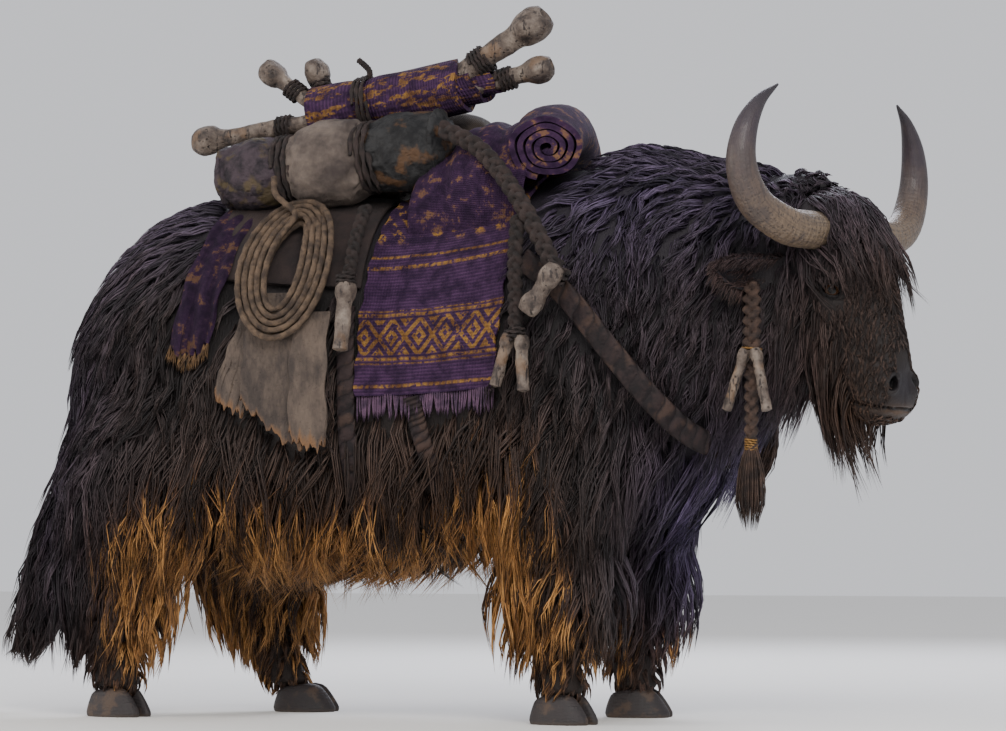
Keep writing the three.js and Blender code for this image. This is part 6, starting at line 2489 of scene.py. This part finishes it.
@dataclass
class Cloths:
    """The blanket with its fringes, the folded roll at the withers, the rug and the rear cloth."""

    hem: float = 36
    turn: float = 90
    fringe_long: float = 62

    def build(self) -> None:
        """Make every cloth."""
        self.blanket()
        self.withers()
        self.rug()
        self.rear_cloth()

    @staticmethod
    def edges(at: np.ndarray) -> tuple[np.ndarray, np.ndarray]:
        """Give the blanket's rear and front edge for a share of the way down its side."""
        return mix(-63, -94, at), mix(325, 264, at)

    def blanket(self) -> None:
        """Drape the blanket over the back, with its ribs, folds and hems."""
        turns = np.linspace(-self.turn, self.turn, 121)
        line = Torso.over(np.full(len(turns), 120.0), turns, 8)
        far = runs(line)
        length = far[-1] + 2 * self.hem

        def shape(u: np.ndarray, v: np.ndarray) -> np.ndarray:
            """Lay the cloth over the back, with the hems hanging free."""
            at = v * length - self.hem
            drop = np.maximum(-at, 0) + np.maximum(at - far[-1], 0)
            turn = np.interp(at, far, turns)
            side = np.abs(turn) / self.turn
            rear, front = self.edges(side)
            ragged = 2.5 * np.sin(v * 140) + 2 * np.sin(v * 61)
            x = mix(rear, front, u) + ragged * np.where(u > 0.5, 1, -1) * np.abs(2 * u - 1) ** 6
            fold = 4.5 * np.sin(u * 19 + 2.0 * np.sin(v * 9)) * ease(0.5, 1.0, side)
            fold = fold + 2.5 * np.sin(v * 52 + 3 * u)
            points = Torso.over(x, turn, 11 + fold)
            points[:, 2] -= drop
            return points
        piece = sheet_of("blanket", 56, 190, shape, 8)
        cloth = Weave(width=0.38, length=round(length * MM, 3))
        dressed(piece, cloth, "blanket", "blanket")
        fringes = [self.fringe(name, side) for name, side in SIDES]
        log.info("blanket: %.2f m long", length * MM)

    def fringe(self, name: str, side: int) -> bpy.types.Object:
        """Hang twisted threads from one hem.

        Args:
            name: The side's name.
            side: 1 on the left, -1 on the right.

        Returns:
            The fringe.
        """
        random = np.random.default_rng(SEED + 2 + side)
        count = 76
        rear, front = self.edges(np.array(1.0))
        x = np.linspace(rear + 5, front - 5, count) + random.uniform(-1, 1, count)
        top = Torso.over(x, np.full(count, side * self.turn), 11)
        top[:, 2] -= self.hem - 4
        long = random.uniform(0.8, 1.06, count) * (self.fringe_long + 6)
        sway = random.normal(0, 6, (count, 1))
        lines = top[:, None] + np.stack([
            sway * SHARES ** 1.5, side * random.normal(1, 1.5, (count, 1)) * SHARES,
            -long[:, None] * SHARES], axis=2)
        piece = strand_mesh(f"fringe_{name}", lines, random.uniform(2.8, 3.8, count),
                            (0.9, 1.0, 1.0, 1.1))
        finish = Rope("fringe_wool", (0.030, 0.014, 0.036), (0.150, 0.075, 0.135), 8.0)
        return dressed(piece, finish, "blanket")

    def rolled(self, name: str, path: np.ndarray, inner: float, outer: tuple[float, float],
               turns: float, facing: np.ndarray, start: float, thick: float,
               short: float = 0.0) -> bpy.types.Object:
        """Roll a cloth along a path so that its ends show the spiral.

        Args:
            name: The piece's name.
            path: The roll's middle line.
            inner: The innermost radius.
            outer: The outermost radii, across and along the facing direction.
            turns: How often the cloth goes round.
            facing: The direction that the section's first axis stays square to.
            start: Where the inner edge starts, in radians.
            thick: The cloth's thickness.
            short: How far the outer turns stay behind the far end.

        Returns:
            The roll.
        """
        side, top = frames(path, facing)
        ahead = unit(np.gradient(path, axis=0))
        last = len(path) - 1

        def shape(u: np.ndarray, v: np.ndarray) -> np.ndarray:
            """Wind the cloth outwards round the path."""
            k = np.round(v * last).astype(int)
            swing = start + 2 * np.pi * turns * u
            wide, high = mix(inner, outer[0], u), mix(inner, outer[1], u)
            ripples = 1 + 0.03 * np.sin(5 * swing + 7 * v) * u
            back = -short * ease(0.25, 0.95, u) * v ** 2 + 5 * np.sin(3.3 * swing) * v ** 6
            around = (side[k] * (wide * np.cos(swing) * ripples)[:, None]
                      + top[k] * (high * np.sin(swing) * ripples)[:, None])
            return path[k] + around + ahead[k] * back[:, None]
        return sheet_of(name, int(34 * turns), last, shape, thick)

    def withers(self) -> None:
        """Fold the blanket's spare front into a roll over the withers."""
        path = route([(368, -262, 1392), (346, -150, 1432), (312, 0, 1446), (280, 140, 1418),
                      (248, 262, 1352)], 30)
        roll = self.rolled("withers_roll", path, 8, (92, 78), 4.1, UP, math.radians(215), 14)
        spine = [(-262, 1180), (-260, 1280), (-216, 1368), (-130, 1432), (0, 1448), (130, 1436),
                 (230, 1392), (262, 1330)]
        line = route([(0, y, z) for y, z in spine], 60)

        def over(u: np.ndarray, v: np.ndarray) -> np.ndarray:
            """Fold the cloth over the roll and down the shoulder."""
            place = line[np.round(v * 59).astype(int)]
            rise = 34 * np.sin(np.pi * np.clip(u, 0, 1)) ** 0.5 - 46 * (1 - u) ** 1.6
            fold = 7 * np.sin(13 * u + 5 * v) + 5 * np.sin(29 * u + 11 * v)
            low = ease(0, 0.28, v)
            rise, fold = rise * low - 34 * (1 - low), fold * low
            away = unit(place * [0, 1, 0] + UP * np.maximum(place[:, 2:] - 1180, 1))
            return place + away * (rise + fold)[:, None] + stack(
                mix(30, 318, u) - 34 * (1 - v) * (1 - ease(0, 0.5, v)), 0 * u, 0 * u)
        folded = sheet_of("withers_fold", 48, 59, over, 26)
        cloth = Weave("roll_weave", Pattern.PLAIN)
        dressed(roll, cloth, "blanket", "withers_roll")
        dressed(folded, cloth, "blanket")

    def rug(self) -> None:
        """Roll the rug that lies on top of the load and tie it."""
        start, end = np.array([-331, -50, 1518.0]), np.array([165, -50, 1588.0])
        path = straight(start, end, 25)
        piece = self.rolled("rug_roll", path, 8, (67, 67), 3.4, UP, math.radians(-60), 13, 92)
        points = places_of(piece)
        at = ((points - start) @ (end - start)) / np.sum((end - start) ** 2)
        pull = 1 - 0.13 * np.exp(-((at - 0.3) / 0.05) ** 2)
        middle = start + (end - start) * at[:, None]
        set_places(piece, middle + (points - middle) * pull[:, None])
        dressed(piece, Weave("rug_weave", Pattern.BANDS, 0.9, 0.5, 0.010), "blanket", "rug_roll")
        way = end - start
        tie = wound("rug_tie", mix(start, end, 0.3), way, 74, 3, 6.5)
        knot = rod("rug_knot", route([(-182, -57, 1600), (-178, -62, 1626), (-190, -66, 1642),
                                      (-206, -70, 1656)], 20), twisted(8.5, 3, 3), 12)
        dressed(knot, DARK_ROPE, "rope")
        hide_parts("rug_tie")

    def rear_cloth(self) -> None:
        """Hang the gathered cloth at the rear of the load, with tassels on its edge."""
        xs, lows = [(-520, -600), (-490, -560), (-455, -520), (-425, -485)], [925, 900, 905, 935]
        piece = hung("rear_cloth", xs, 1275, lows, 16, 9, 7.5, 30)
        dressed(piece, Weave("roll_weave", Pattern.PLAIN), "blanket", "rear_cloth")
        random = np.random.default_rng(SEED + 5)
        count = 90
        at = np.repeat(np.linspace(0.04, 0.96, 9), 10)
        x = np.interp(at, np.linspace(0, 1, 4), [low for _, low in xs])
        low = np.interp(at, np.linspace(0, 1, 4), lows)
        top = Torso.over(x, -Torso.turn_at(x, low), 16)
        top[:, 2] = low + 6
        lines = top[:, None] + np.stack([
            random.normal(0, 7, (count, 1)) * SHARES - 6 * SHARES,
            random.normal(0, 4, (count, 1)) * SHARES,
            -random.uniform(36, 54, (count, 1)) * SHARES], axis=2)
        tassels = strand_mesh("rear_tassels", lines, random.uniform(1.8, 2.6, count))
        wool = Rope("tassel_wool", (0.045, 0.024, 0.012), (0.220, 0.120, 0.045))
        dressed(tassels, wool, "blanket")


def hung(name: str, xs: Sequence[tuple[float, float]], top: float, lows: Sequence[float],
         rise: float, thick: float, fold: float, folds: float) -> bpy.types.Object:
    """Hang a sheet on the right side, from a top height down to a ragged edge.

    Args:
        name: The piece's name.
        xs: Each column's X at the top and at the bottom.
        top: The height of the hanging edge.
        lows: Each column's lowest height.
        rise: The middle surface's distance from the trunk's core.
        thick: The wall's thickness.
        fold: The depth of the folds.
        folds: How closely the folds follow each other.

    Returns:
        The sheet.
    """
    at = np.linspace(0, 1, len(xs))
    upper, lower = np.array(xs, float).T

    def shape(u: np.ndarray, v: np.ndarray) -> np.ndarray:
        """Hang the cloth down the side, with its folds."""
        ragged = 9 * np.sin(u * 23 + top) + 7 * np.sin(u * 51) + 4 * np.sin(u * 97)
        z = mix(top, np.interp(u, at, lows) + ragged * 0.8, v)
        x = mix(np.interp(u, at, upper), np.interp(u, at, lower), v)
        x = x + 3 * np.sin(v * 17 + top) * (2 * u - 1)
        turn = np.minimum(Torso.turn_at(x, z), 92)
        lift = rise + fold * np.sin(u * folds / 2 + 1.5 * np.sin(v * 5)) * (0.35 + 0.65 * v)
        points = Torso.over(x, -turn, lift)
        points[:, 2] = z
        return points
    return sheet_of(name, 36, 44, shape, thick)


@dataclass
class Load:
    """The stuffed bundles, their ties, the pad under them and the bones in the load."""

    start: tuple[float, float, float] = (-535, -160, 1352)
    end: tuple[float, float, float] = (78, -160, 1420)

    def build(self) -> None:
        """Make the load."""
        self.right_bundle()
        self.left_bundle()
        self.pad()
        self.bones()

    def right_bundle(self) -> None:
        """Stuff two leather cases and the canvas between them, and wind the ties."""
        start, end = np.array(self.start, float), np.array(self.end, float)
        way = end - start

        def along(low: float, high: float, count: int) -> np.ndarray:
            """Give places along the bundle's middle line."""
            return start + way * np.linspace(low, high, count)[:, None]
        canvas = Profile((0, 74), (0.08, 88), (0.3, 99), (0.5, 103), (0.72, 99), (0.93, 87),
                         (1, 76))
        rear = Profile((0, 60), (0.06, 76), (0.14, 80), (0.17, 76), (0.5, 86), (0.85, 84),
                       (1, 74))
        front = Profile((0, 76), (0.12, 86), (0.5, 92), (0.82, 86), (0.86, 90), (0.95, 84),
                        (1, 68))
        for name, low, high, size, finish, slot in (
            ("bundle_canvas", 0.312, 0.658, canvas, Canvas(), "canvas"),
            ("bundle_rear_case", 0.0, 0.309, rear, REAR_CASE, "leather"),
            ("bundle_front_case", 0.661, 1.0, front, FRONT_CASE, "leather"),
        ):
            def section(t: np.ndarray, turn: np.ndarray, size: Profile = size) -> np.ndarray:
                """Give the radius, gathered at both ends."""
                gathers = np.exp(-(t / 0.12) ** 2) + np.exp(-((1 - t) / 0.12) ** 2)
                return (size(t) - 3) * (1 + 0.035 * gathers * np.sin(13 * turn + 3 * t))
            piece = rod(name, along(low, high, 40), section, 64, dimple=4)
            uneven(piece, 4.5, 30, low * 7)
            turns = np.linspace(0, 2 * np.pi, 40)
            axes = frames(along(low, high, 2))
            held = [at + size(share) * (axes[0][0] * math.cos(turn) + axes[1][0] * math.sin(turn))
                    for at, share in zip(along(low, high, 2), (0.0, 1.0)) for turn in turns]
            puffed(piece, np.array(held))
            uneven(piece, 1.5, 10, low * 3)
            dressed(piece, finish, slot, name)
        for name, at, radius in (("bundle_tie_rear", 0.31, 84), ("bundle_tie_front", 0.66, 86)):
            piece = wound(name, start + way * at, way, radius, 3, 8.5)
            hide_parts(name)

    @staticmethod
    def left_bundle() -> None:
        """Stuff the sack on the far side and wind its two ties."""
        ties = (0.3, 0.7)
        path = evened(route([(-520, 105, 1385), (-400, 105, 1398), (-200, 105, 1418),
                             (0, 105, 1436), (70, 105, 1440)], 60), 60)
        middles = [path[int(at * 59)] for at in ties]

        def section(t: np.ndarray, turn: np.ndarray) -> np.ndarray:
            """Give the radius, pinched at the ties."""
            rear, front = (0.09 * np.exp(-((t - at) / 0.03) ** 2) for at in ties)
            return (109 - 44 * np.abs(2 * t - 1) ** 4) * (1 - rear - front)
        left = rod("left_bundle", path, section, 56)
        uneven(left, 4.5, 34, 5)
        around = np.linspace(0, 2 * np.pi, 48)
        ring = 100 * stack(0, np.cos(around), np.sin(around))
        puffed(left, np.vstack([middle + ring for middle in middles]), 0.009)
        dressed(left, Canvas("sack", (0.030, 0.022, 0.018), (0.130, 0.098, 0.074)), "canvas",
                "left_bundle")
        for k, middle in enumerate(middles):
            wound(f"left_tie_{k + 1}", middle, path[40] - path[20], 104, 2, 7)

    def pad(self) -> None:
        """Lay the stuffed pad under the load."""
        def shape(u: np.ndarray, v: np.ndarray) -> np.ndarray:
            """Lay the quilted pad over the back, closed at both ends."""
            turn = mix(-62, 62, np.clip(v * 1.06 - 0.03, 0, 1))
            around = 2 * np.pi * u
            x = mix(PACK_REAR_X, -99, 0.5 - 0.5 * bend(np.cos(around), 0.35))
            ends = np.clip(np.minimum(v, 1 - v) / 0.03, 0, 1)
            quilt = 1 + 0.16 * np.sin(turn * 0.42) * np.sin(x * 0.05)
            rise = bend(np.sin(around), 0.5) * 9 * quilt * np.sqrt(ends) + 3
            x = mix(-310, x, 0.97 + 0.03 * ends)
            return Torso.over(x, turn, rise)
        piece = formed("saddle_pad", 64, 90, shape)
        dressed(piece, Canvas("pad_cloth", (0.012, 0.008, 0.009), (0.052, 0.032, 0.028)), "pad",
                "saddle_pad")

    def bones(self) -> None:
        """Stick the long bones in the load and wrap their bases."""
        for name, start, end, shaft, knuckle, at in (
            ("bone_front_long", (4, -64, 1562), (296, -76, 1742), 29, 50, 0.42),
            ("bone_front_short", (64, -66, 1560), (302, -46, 1622), 22, 40, 0.52),
            ("bone_rear_long", (-330, -84, 1500), (-658, -70, 1462), 22, 44, 0.22),
            ("bone_rear_left", (-340, -54, 1552), (-470, -60, 1652), 19, 37, 0.34),
            ("bone_rear_right", (-312, -30, 1570), (-350, -20, 1664), 19, 37, 0.30),
        ):
            bone(name, start, end, shaft, knuckle, 0)
            a, b = np.array(start, float), np.array(end, float)
            wound(name.replace("bone", "wrap"), mix(a, b, at), b - a, shaft * 1.02 + 4, 4, 5.5)


@dataclass
class Harness:
    """The girths, the breast strap and the hides that hang below the load."""

    def build(self) -> None:
        """Make the straps and the hides."""
        for name, places in (
            ("girth_rear", [(-128, 1010), (-122, 880), (-120, 720), (-112, 560), (-104, 450)]),
            ("girth_front", [(50, 790), (66, 720), (100, 600), (132, 500)]),
        ):
            line = route([(x, 0, z) for x, z in places], 24)
            turns = Torso.turn_at(line[:, 0], line[:, 2])
            foot = np.full(9, places[-1][0] + 10.0)
            under = np.linspace(150, 210, 9)
            x = np.concatenate([line[:, 0], foot, line[::-1, 0]])
            turn = np.concatenate([-turns, -under, turns[::-1] - 360])
            points, outs = Torso.over(x, turn, 3), Torso.out(x, turn)
            strap(name, points, outs, 46, 13)
        half = [(330, 322, 1120), (434, 330, 1035), (540, 322, 905), (640, 296, 780),
                (706, 236, 704)]
        chest = [Neck.point(np.array([x]), np.array([turn]))[0] + [5, 0, 0] for x, turn in
                 ((742, 150), (752, 165), (756, 180), (752, 195), (742, 210))]
        right = [(x, -y, z) for x, y, z in half]
        points = route([*right, *chest[::-1], *half[::-1]], 90)
        outs = unit(stack((points[:, 0] - 450) * 0.5, points[:, 1], 0)) + DOWN * 0.2
        strap("breast_strap", points, outs, 58, 16)
        for name, xs, top, lows, rise in (
            ("hide_flap_front", [(-250, -262), (-215, -222), (-180, -186), (-160, -162)], 1000,
             [700, 676, 664, 684], 36),
            ("hide_flap_middle", [(-372, -400), (-330, -340), (-280, -285), (-238, -226)], 1050,
             [782, 740, 690, 668], 23),
            ("hide_flap_rear", [(-400, -478), (-372, -440), (-350, -395)], 1000,
             [800, 772, 752], 11),
        ):
            piece = hung(name, xs, top, lows, rise, 7, 4, 15)
            dressed(piece, Hide(), "hide", name)


# Parts of the animal that stay separate
def coat_marks(piece: bpy.types.Object, tip: float = 0.2) -> None:
    """Give a bare piece of coat the numbers that the coat's finish reads.

    Args:
        piece: The piece.
        tip: How near the locks' tips its colour is.
    """
    zones = Zones(places_of(piece))
    count = len(piece.data.vertices)
    set_attribute(piece, "tip", np.full(count, tip))
    set_attribute(piece, "shade", np.full(count, 0.4))
    for name in Zones.NAMES:
        set_attribute(piece, name, getattr(zones, name))


@dataclass
class Features:
    """Horns, eyes, ears and hooves."""

    horn_places: tuple = ((108, 60, -62), (128, 140, -66), (122, 235, -60), (102, 336, -12),
                          (95, 381, 72), (100, 372, 156), (110, 327, 226), (120, 265, 270))
    claw: tuple[float, float, float] = (160, 58, 68)

    def build(self) -> None:
        """Make every feature."""
        random = np.random.default_rng(SEED + 9)
        for name, side in SIDES:
            self.horn(name, side)
            self.eye(name, side)
            self.ear(name, side, random)
        for leg in LEGS:
            for word, outside in (("outer", 1), ("inner", -1)):
                self.hoof(f"hoof_{leg.name}_{word}", leg, outside * math.copysign(1, leg.at[1]))

    def horn(self, name: str, side: int) -> None:
        """Sweep a horn with growth rings at its base.

        Args:
            name: The side's name.
            side: 1 on the left, -1 on the right.
        """
        path = evened(route([Head.place(a, side * b, c) for a, b, c in self.horn_places], 80), 110)
        radius = Profile((0, 47), (0.3, 45), (0.55, 40), (0.75, 30), (0.9, 15), (1, 4))

        def size(t: np.ndarray, turn: np.ndarray) -> np.ndarray:
            """Give the radius, ringed towards the base."""
            fade = 1 - ease(0.25, 0.72, t)
            rings = np.sin(t * 150 + 1.5 * np.sin(turn + t * 9)) * 0.45
            return radius(t) + (rings + 0.9 * np.sin(5 * turn + 11 * t)) * fade - 1.2
        piece = rod(f"horn_{name}", path, size, 40, Head.AHEAD)
        dressed(piece, Horn(), "horn", f"horn_{name}")

    def eye(self, name: str, side: int) -> None:
        """Make an eyeball with a raised cornea, its first pole at the pupil.

        Args:
            name: The side's name.
            side: 1 on the left, -1 on the right.
        """
        middle, out, _, _ = Skin.eye_frame(side)
        across = unit(np.cross(UP, out))
        top = np.cross(out, across)

        def shape(u: np.ndarray, v: np.ndarray) -> np.ndarray:
            """Give the ball, raised at the pupil."""
            bow = np.pi * v
            radius = Head.EYE_RADIUS - 0.4 + 1.4 * np.exp(-(bow / 0.45) ** 2)
            swing = 2 * np.pi * u
            flat = (radius * np.sin(bow))[:, None]
            return (middle + out * (radius * np.cos(bow))[:, None]
                    + flat * (across * np.cos(swing)[:, None] + top * np.sin(swing)[:, None]))
        dressed(formed(f"eye_{name}", 32, 32, shape), Eye(), "eye", f"eye_{name}")

    def ear(self, name: str, side: int, random: np.random.Generator) -> None:
        """Curl a hairy leaf into a cup and fringe it.

        Args:
            name: The side's name.
            side: 1 on the left, -1 on the right.
            random: Gives the random numbers.
        """
        base, tip = Head.place(30, side * 112, -140), Head.place(-30, side * 318, -150)
        along = tip - base
        facing = Head.way(0.86, 0, -0.5)
        across = unit(np.cross(along, facing))
        cup = unit(np.cross(across, along))
        cup = cup * math.copysign(1, float(np.dot(cup, facing)))
        width = Profile((0, 26), (0.25, 38), (0.55, 46), (0.8, 34), (0.95, 12), (1.0, 3))

        def leaf(turn: np.ndarray, t: np.ndarray, share: float = 0.92) -> np.ndarray:
            """Give places on the cupped leaf for turns and shares of its length."""
            radius = width(t) * share
            point = base + along * t[:, None] + DOWN * (14 * np.sin(np.pi * t))[:, None]
            point = point + across * (radius * np.sin(turn))[:, None]
            return point + cup * (width(t) * 0.3 - radius * 0.75 * np.cos(turn))[:, None]
        piece = sheet_of(f"ear_{name}", 24, 24, lambda u, v: leaf(mix(-1.7, 1.7, u), v * 0.985), 6)
        coat_marks(piece)
        Coat("skin_coat", hair=False).dress(piece)
        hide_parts(f"ear_{name}")
        count = 1500
        turn, t = random.uniform(-1.75, 1.75, count), random.uniform(0.04, 0.97, count)
        within = random.random(count) < 0.4
        roots = np.where(within[:, None], leaf(turn, t, 0.86), leaf(turn, t, 1.0))
        outward = unit(roots - (base + along * t[:, None])) * np.where(within, -0.7, 1.0)[:, None]
        edge = (np.abs(turn) > 1.25)[:, None]
        way = unit(unit(along) * 0.9 + outward * np.where(edge, 0.9, 0.25) + DOWN * 0.35)
        way = unit(way + random.normal(0, 0.14, way.shape))
        long = np.where(edge[:, 0], 38, 26) * random.uniform(0.7, 1.15, count)
        lines = roots[:, None] + way[:, None] * (long[:, None] * SHARES)[..., None]
        lines[..., 2] -= (long[:, None] * SHARES ** 2) * 0.28
        spots = np.stack([turn / 3.6 + 0.5, t], axis=1)
        hair = strand_mesh(f"ear_hair_{name}", lines, random.uniform(1.1, 1.8, count), LOCK, spots)
        zones = Zones(places_of(hair))
        shade = random.uniform(0.15, 0.75, count)
        set_attribute(hair, "shade", np.repeat(shade, STRAND_POINTS))
        for key in ("gold", "cool"):
            set_attribute(hair, key, getattr(zones, key) * 0.6)
        set_attribute(hair, "brown", np.maximum(zones.brown, 0.7))
        Coat().dress(hair)

    def hoof(self, name: str, leg: Leg, outside: float) -> None:
        """Form one claw of a cloven foot with a rounded edge and a waisted wall.

        Args:
            name: The node's name.
            leg: The leg that it belongs to.
            outside: 1 for the claw on the left of the foot, -1 on the right.
        """
        long, wide, high = self.claw
        outline = np.array([(-0.46, 0.1), (-0.3, 0), (0.3, 0), (0.54, 0.12), (0.4, 0.72),
                            (0.05, 1), (-0.3, 0.92), (-0.47, 0.5)])
        loop = np.vstack([outline[-1:], outline, outline[:2]])
        turn = math.radians(leg.splay + outside * 3)
        levels = np.array([0, 0, 1.5, 5, 12, 24, 38, 50, 60, 67, 71, 72]) / 68 * high
        scale = np.array([0, 0.93, 0.97, 0.99, 1.0, 0.95, 0.87, 0.79, 0.71, 0.60, 0.40, 0])
        rows = len(levels) - 1

        def shape(u: np.ndarray, v: np.ndarray) -> np.ndarray:
            """Set the claw's outline at each level."""
            row = np.round(v * rows).astype(int)
            at = u * 8
            k = np.minimum(at.astype(int), 7)
            t = (at - k)[:, None]
            a, b, c, d = (loop[k + j] for j in range(4))
            spot = 0.5 * (2 * b + (c - a) * t + (2 * a - 5 * b + 4 * c - d) * t ** 2
                          + (3 * b - a - 3 * c + d) * t ** 3)
            x = spot[:, 0] * long * scale[row] - 12 * levels[row] / high
            y = outside * (6 + (0.5 + (spot[:, 1] - 0.5) * scale[row]) * wide * (
                1 - 0.12 * levels[row] / high))
            return stack(leg.at[0] + x * math.cos(turn) - y * math.sin(turn),
                         leg.at[1] + x * math.sin(turn) + y * math.cos(turn),
                         levels[row] * (1 + 0.0016 * np.minimum(x, 20)))
        dressed(formed(name, 32, rows, shape), Hoof(), "hoof", name)


# Studio
@dataclass
class Studio:
    """A plain pale floor, soft light and the camera at the photograph's angle."""

    azimuth: float = 20
    elevation: float = -2.8
    distance: float = 9.0
    look: tuple[float, float, float] = (0.158, 0.0, 0.88)
    focal: float = 3600
    width: int = 1006

    def camera(self) -> None:
        """Place the camera."""
        turn, rise = math.radians(self.azimuth), math.radians(self.elevation)
        deselect()
        bpy.ops.object.camera_add()
        camera = bpy.context.object
        look = Vector(self.look)
        camera.location = look + self.distance * Vector((
            math.sin(turn) * math.cos(rise), -math.cos(turn) * math.cos(rise), math.sin(rise)))
        camera.rotation_euler = (look - camera.location).to_track_quat("-Z", "Y").to_euler()
        camera.data.sensor_width = 36
        camera.data.lens = 36 * self.focal / self.width
        camera.data.clip_end = 100
        bpy.context.scene.camera = camera

    def light(self) -> None:
        """Hang three large soft lights and light the room evenly."""
        world = bpy.data.worlds.new("studio")
        bpy.context.scene.world = world
        world.use_nodes = True
        world.node_tree.nodes["Background"].inputs["Color"].default_value = (0.94, 0.95, 1.0, 1)
        world.node_tree.nodes["Background"].inputs["Strength"].default_value = 0.85
        for name, place, size, power, colour in (
            ("key", (2.6, -5.0, 4.2), 3.0, 330, (1.0, 0.96, 0.90)),
            ("fill", (-5.0, -3.4, 2.2), 3.5, 150, (1.0, 0.90, 0.78)),
            ("rim", (-0.5, 5.0, 4.4), 3.5, 300, (0.85, 0.88, 1.0)),
        ):
            deselect()
            bpy.ops.object.light_add(type="AREA", location=place)
            light = bpy.context.object
            light.name = name
            light.data.size, light.data.energy, light.data.color = size, power, colour
            light.rotation_euler = (Vector((0, 0, 0.8)) - Vector(place)).to_track_quat(
                "-Z", "Y").to_euler()

    def floor(self) -> None:
        """Lay the floor."""
        deselect()
        bpy.ops.mesh.primitive_plane_add(size=40)
        piece = bpy.context.object
        piece.name = "floor"
        Plain().dress(piece)


def main() -> None:
    """Build every sub-assembly in order."""
    logging.basicConfig(level=logging.INFO, format="%(name)s: %(message)s")
    studio = Studio()
    studio.camera()
    before = set(bpy.data.objects)
    for assembly in (Ropes(), HeadCharms(), Cloths(), Load(), Harness(), Features()):
        assembly.build()
        log.info("built %s", type(assembly).__name__)
    skin = Skin().build()
    log.info("skin: %d faces", len(skin.data.polygons))
    CoatLocks(skin).build()
    pieces = [piece for piece in bpy.data.objects if piece not in before]
    for piece in pieces:
        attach(piece, "root")
        count = sum(len(face.vertices) - 2 for face in piece.data.polygons)
        log.info("%s: %d triangles", piece.name, count)
    studio.floor()
    studio.light()


if __name__ == "__main__":
    main()
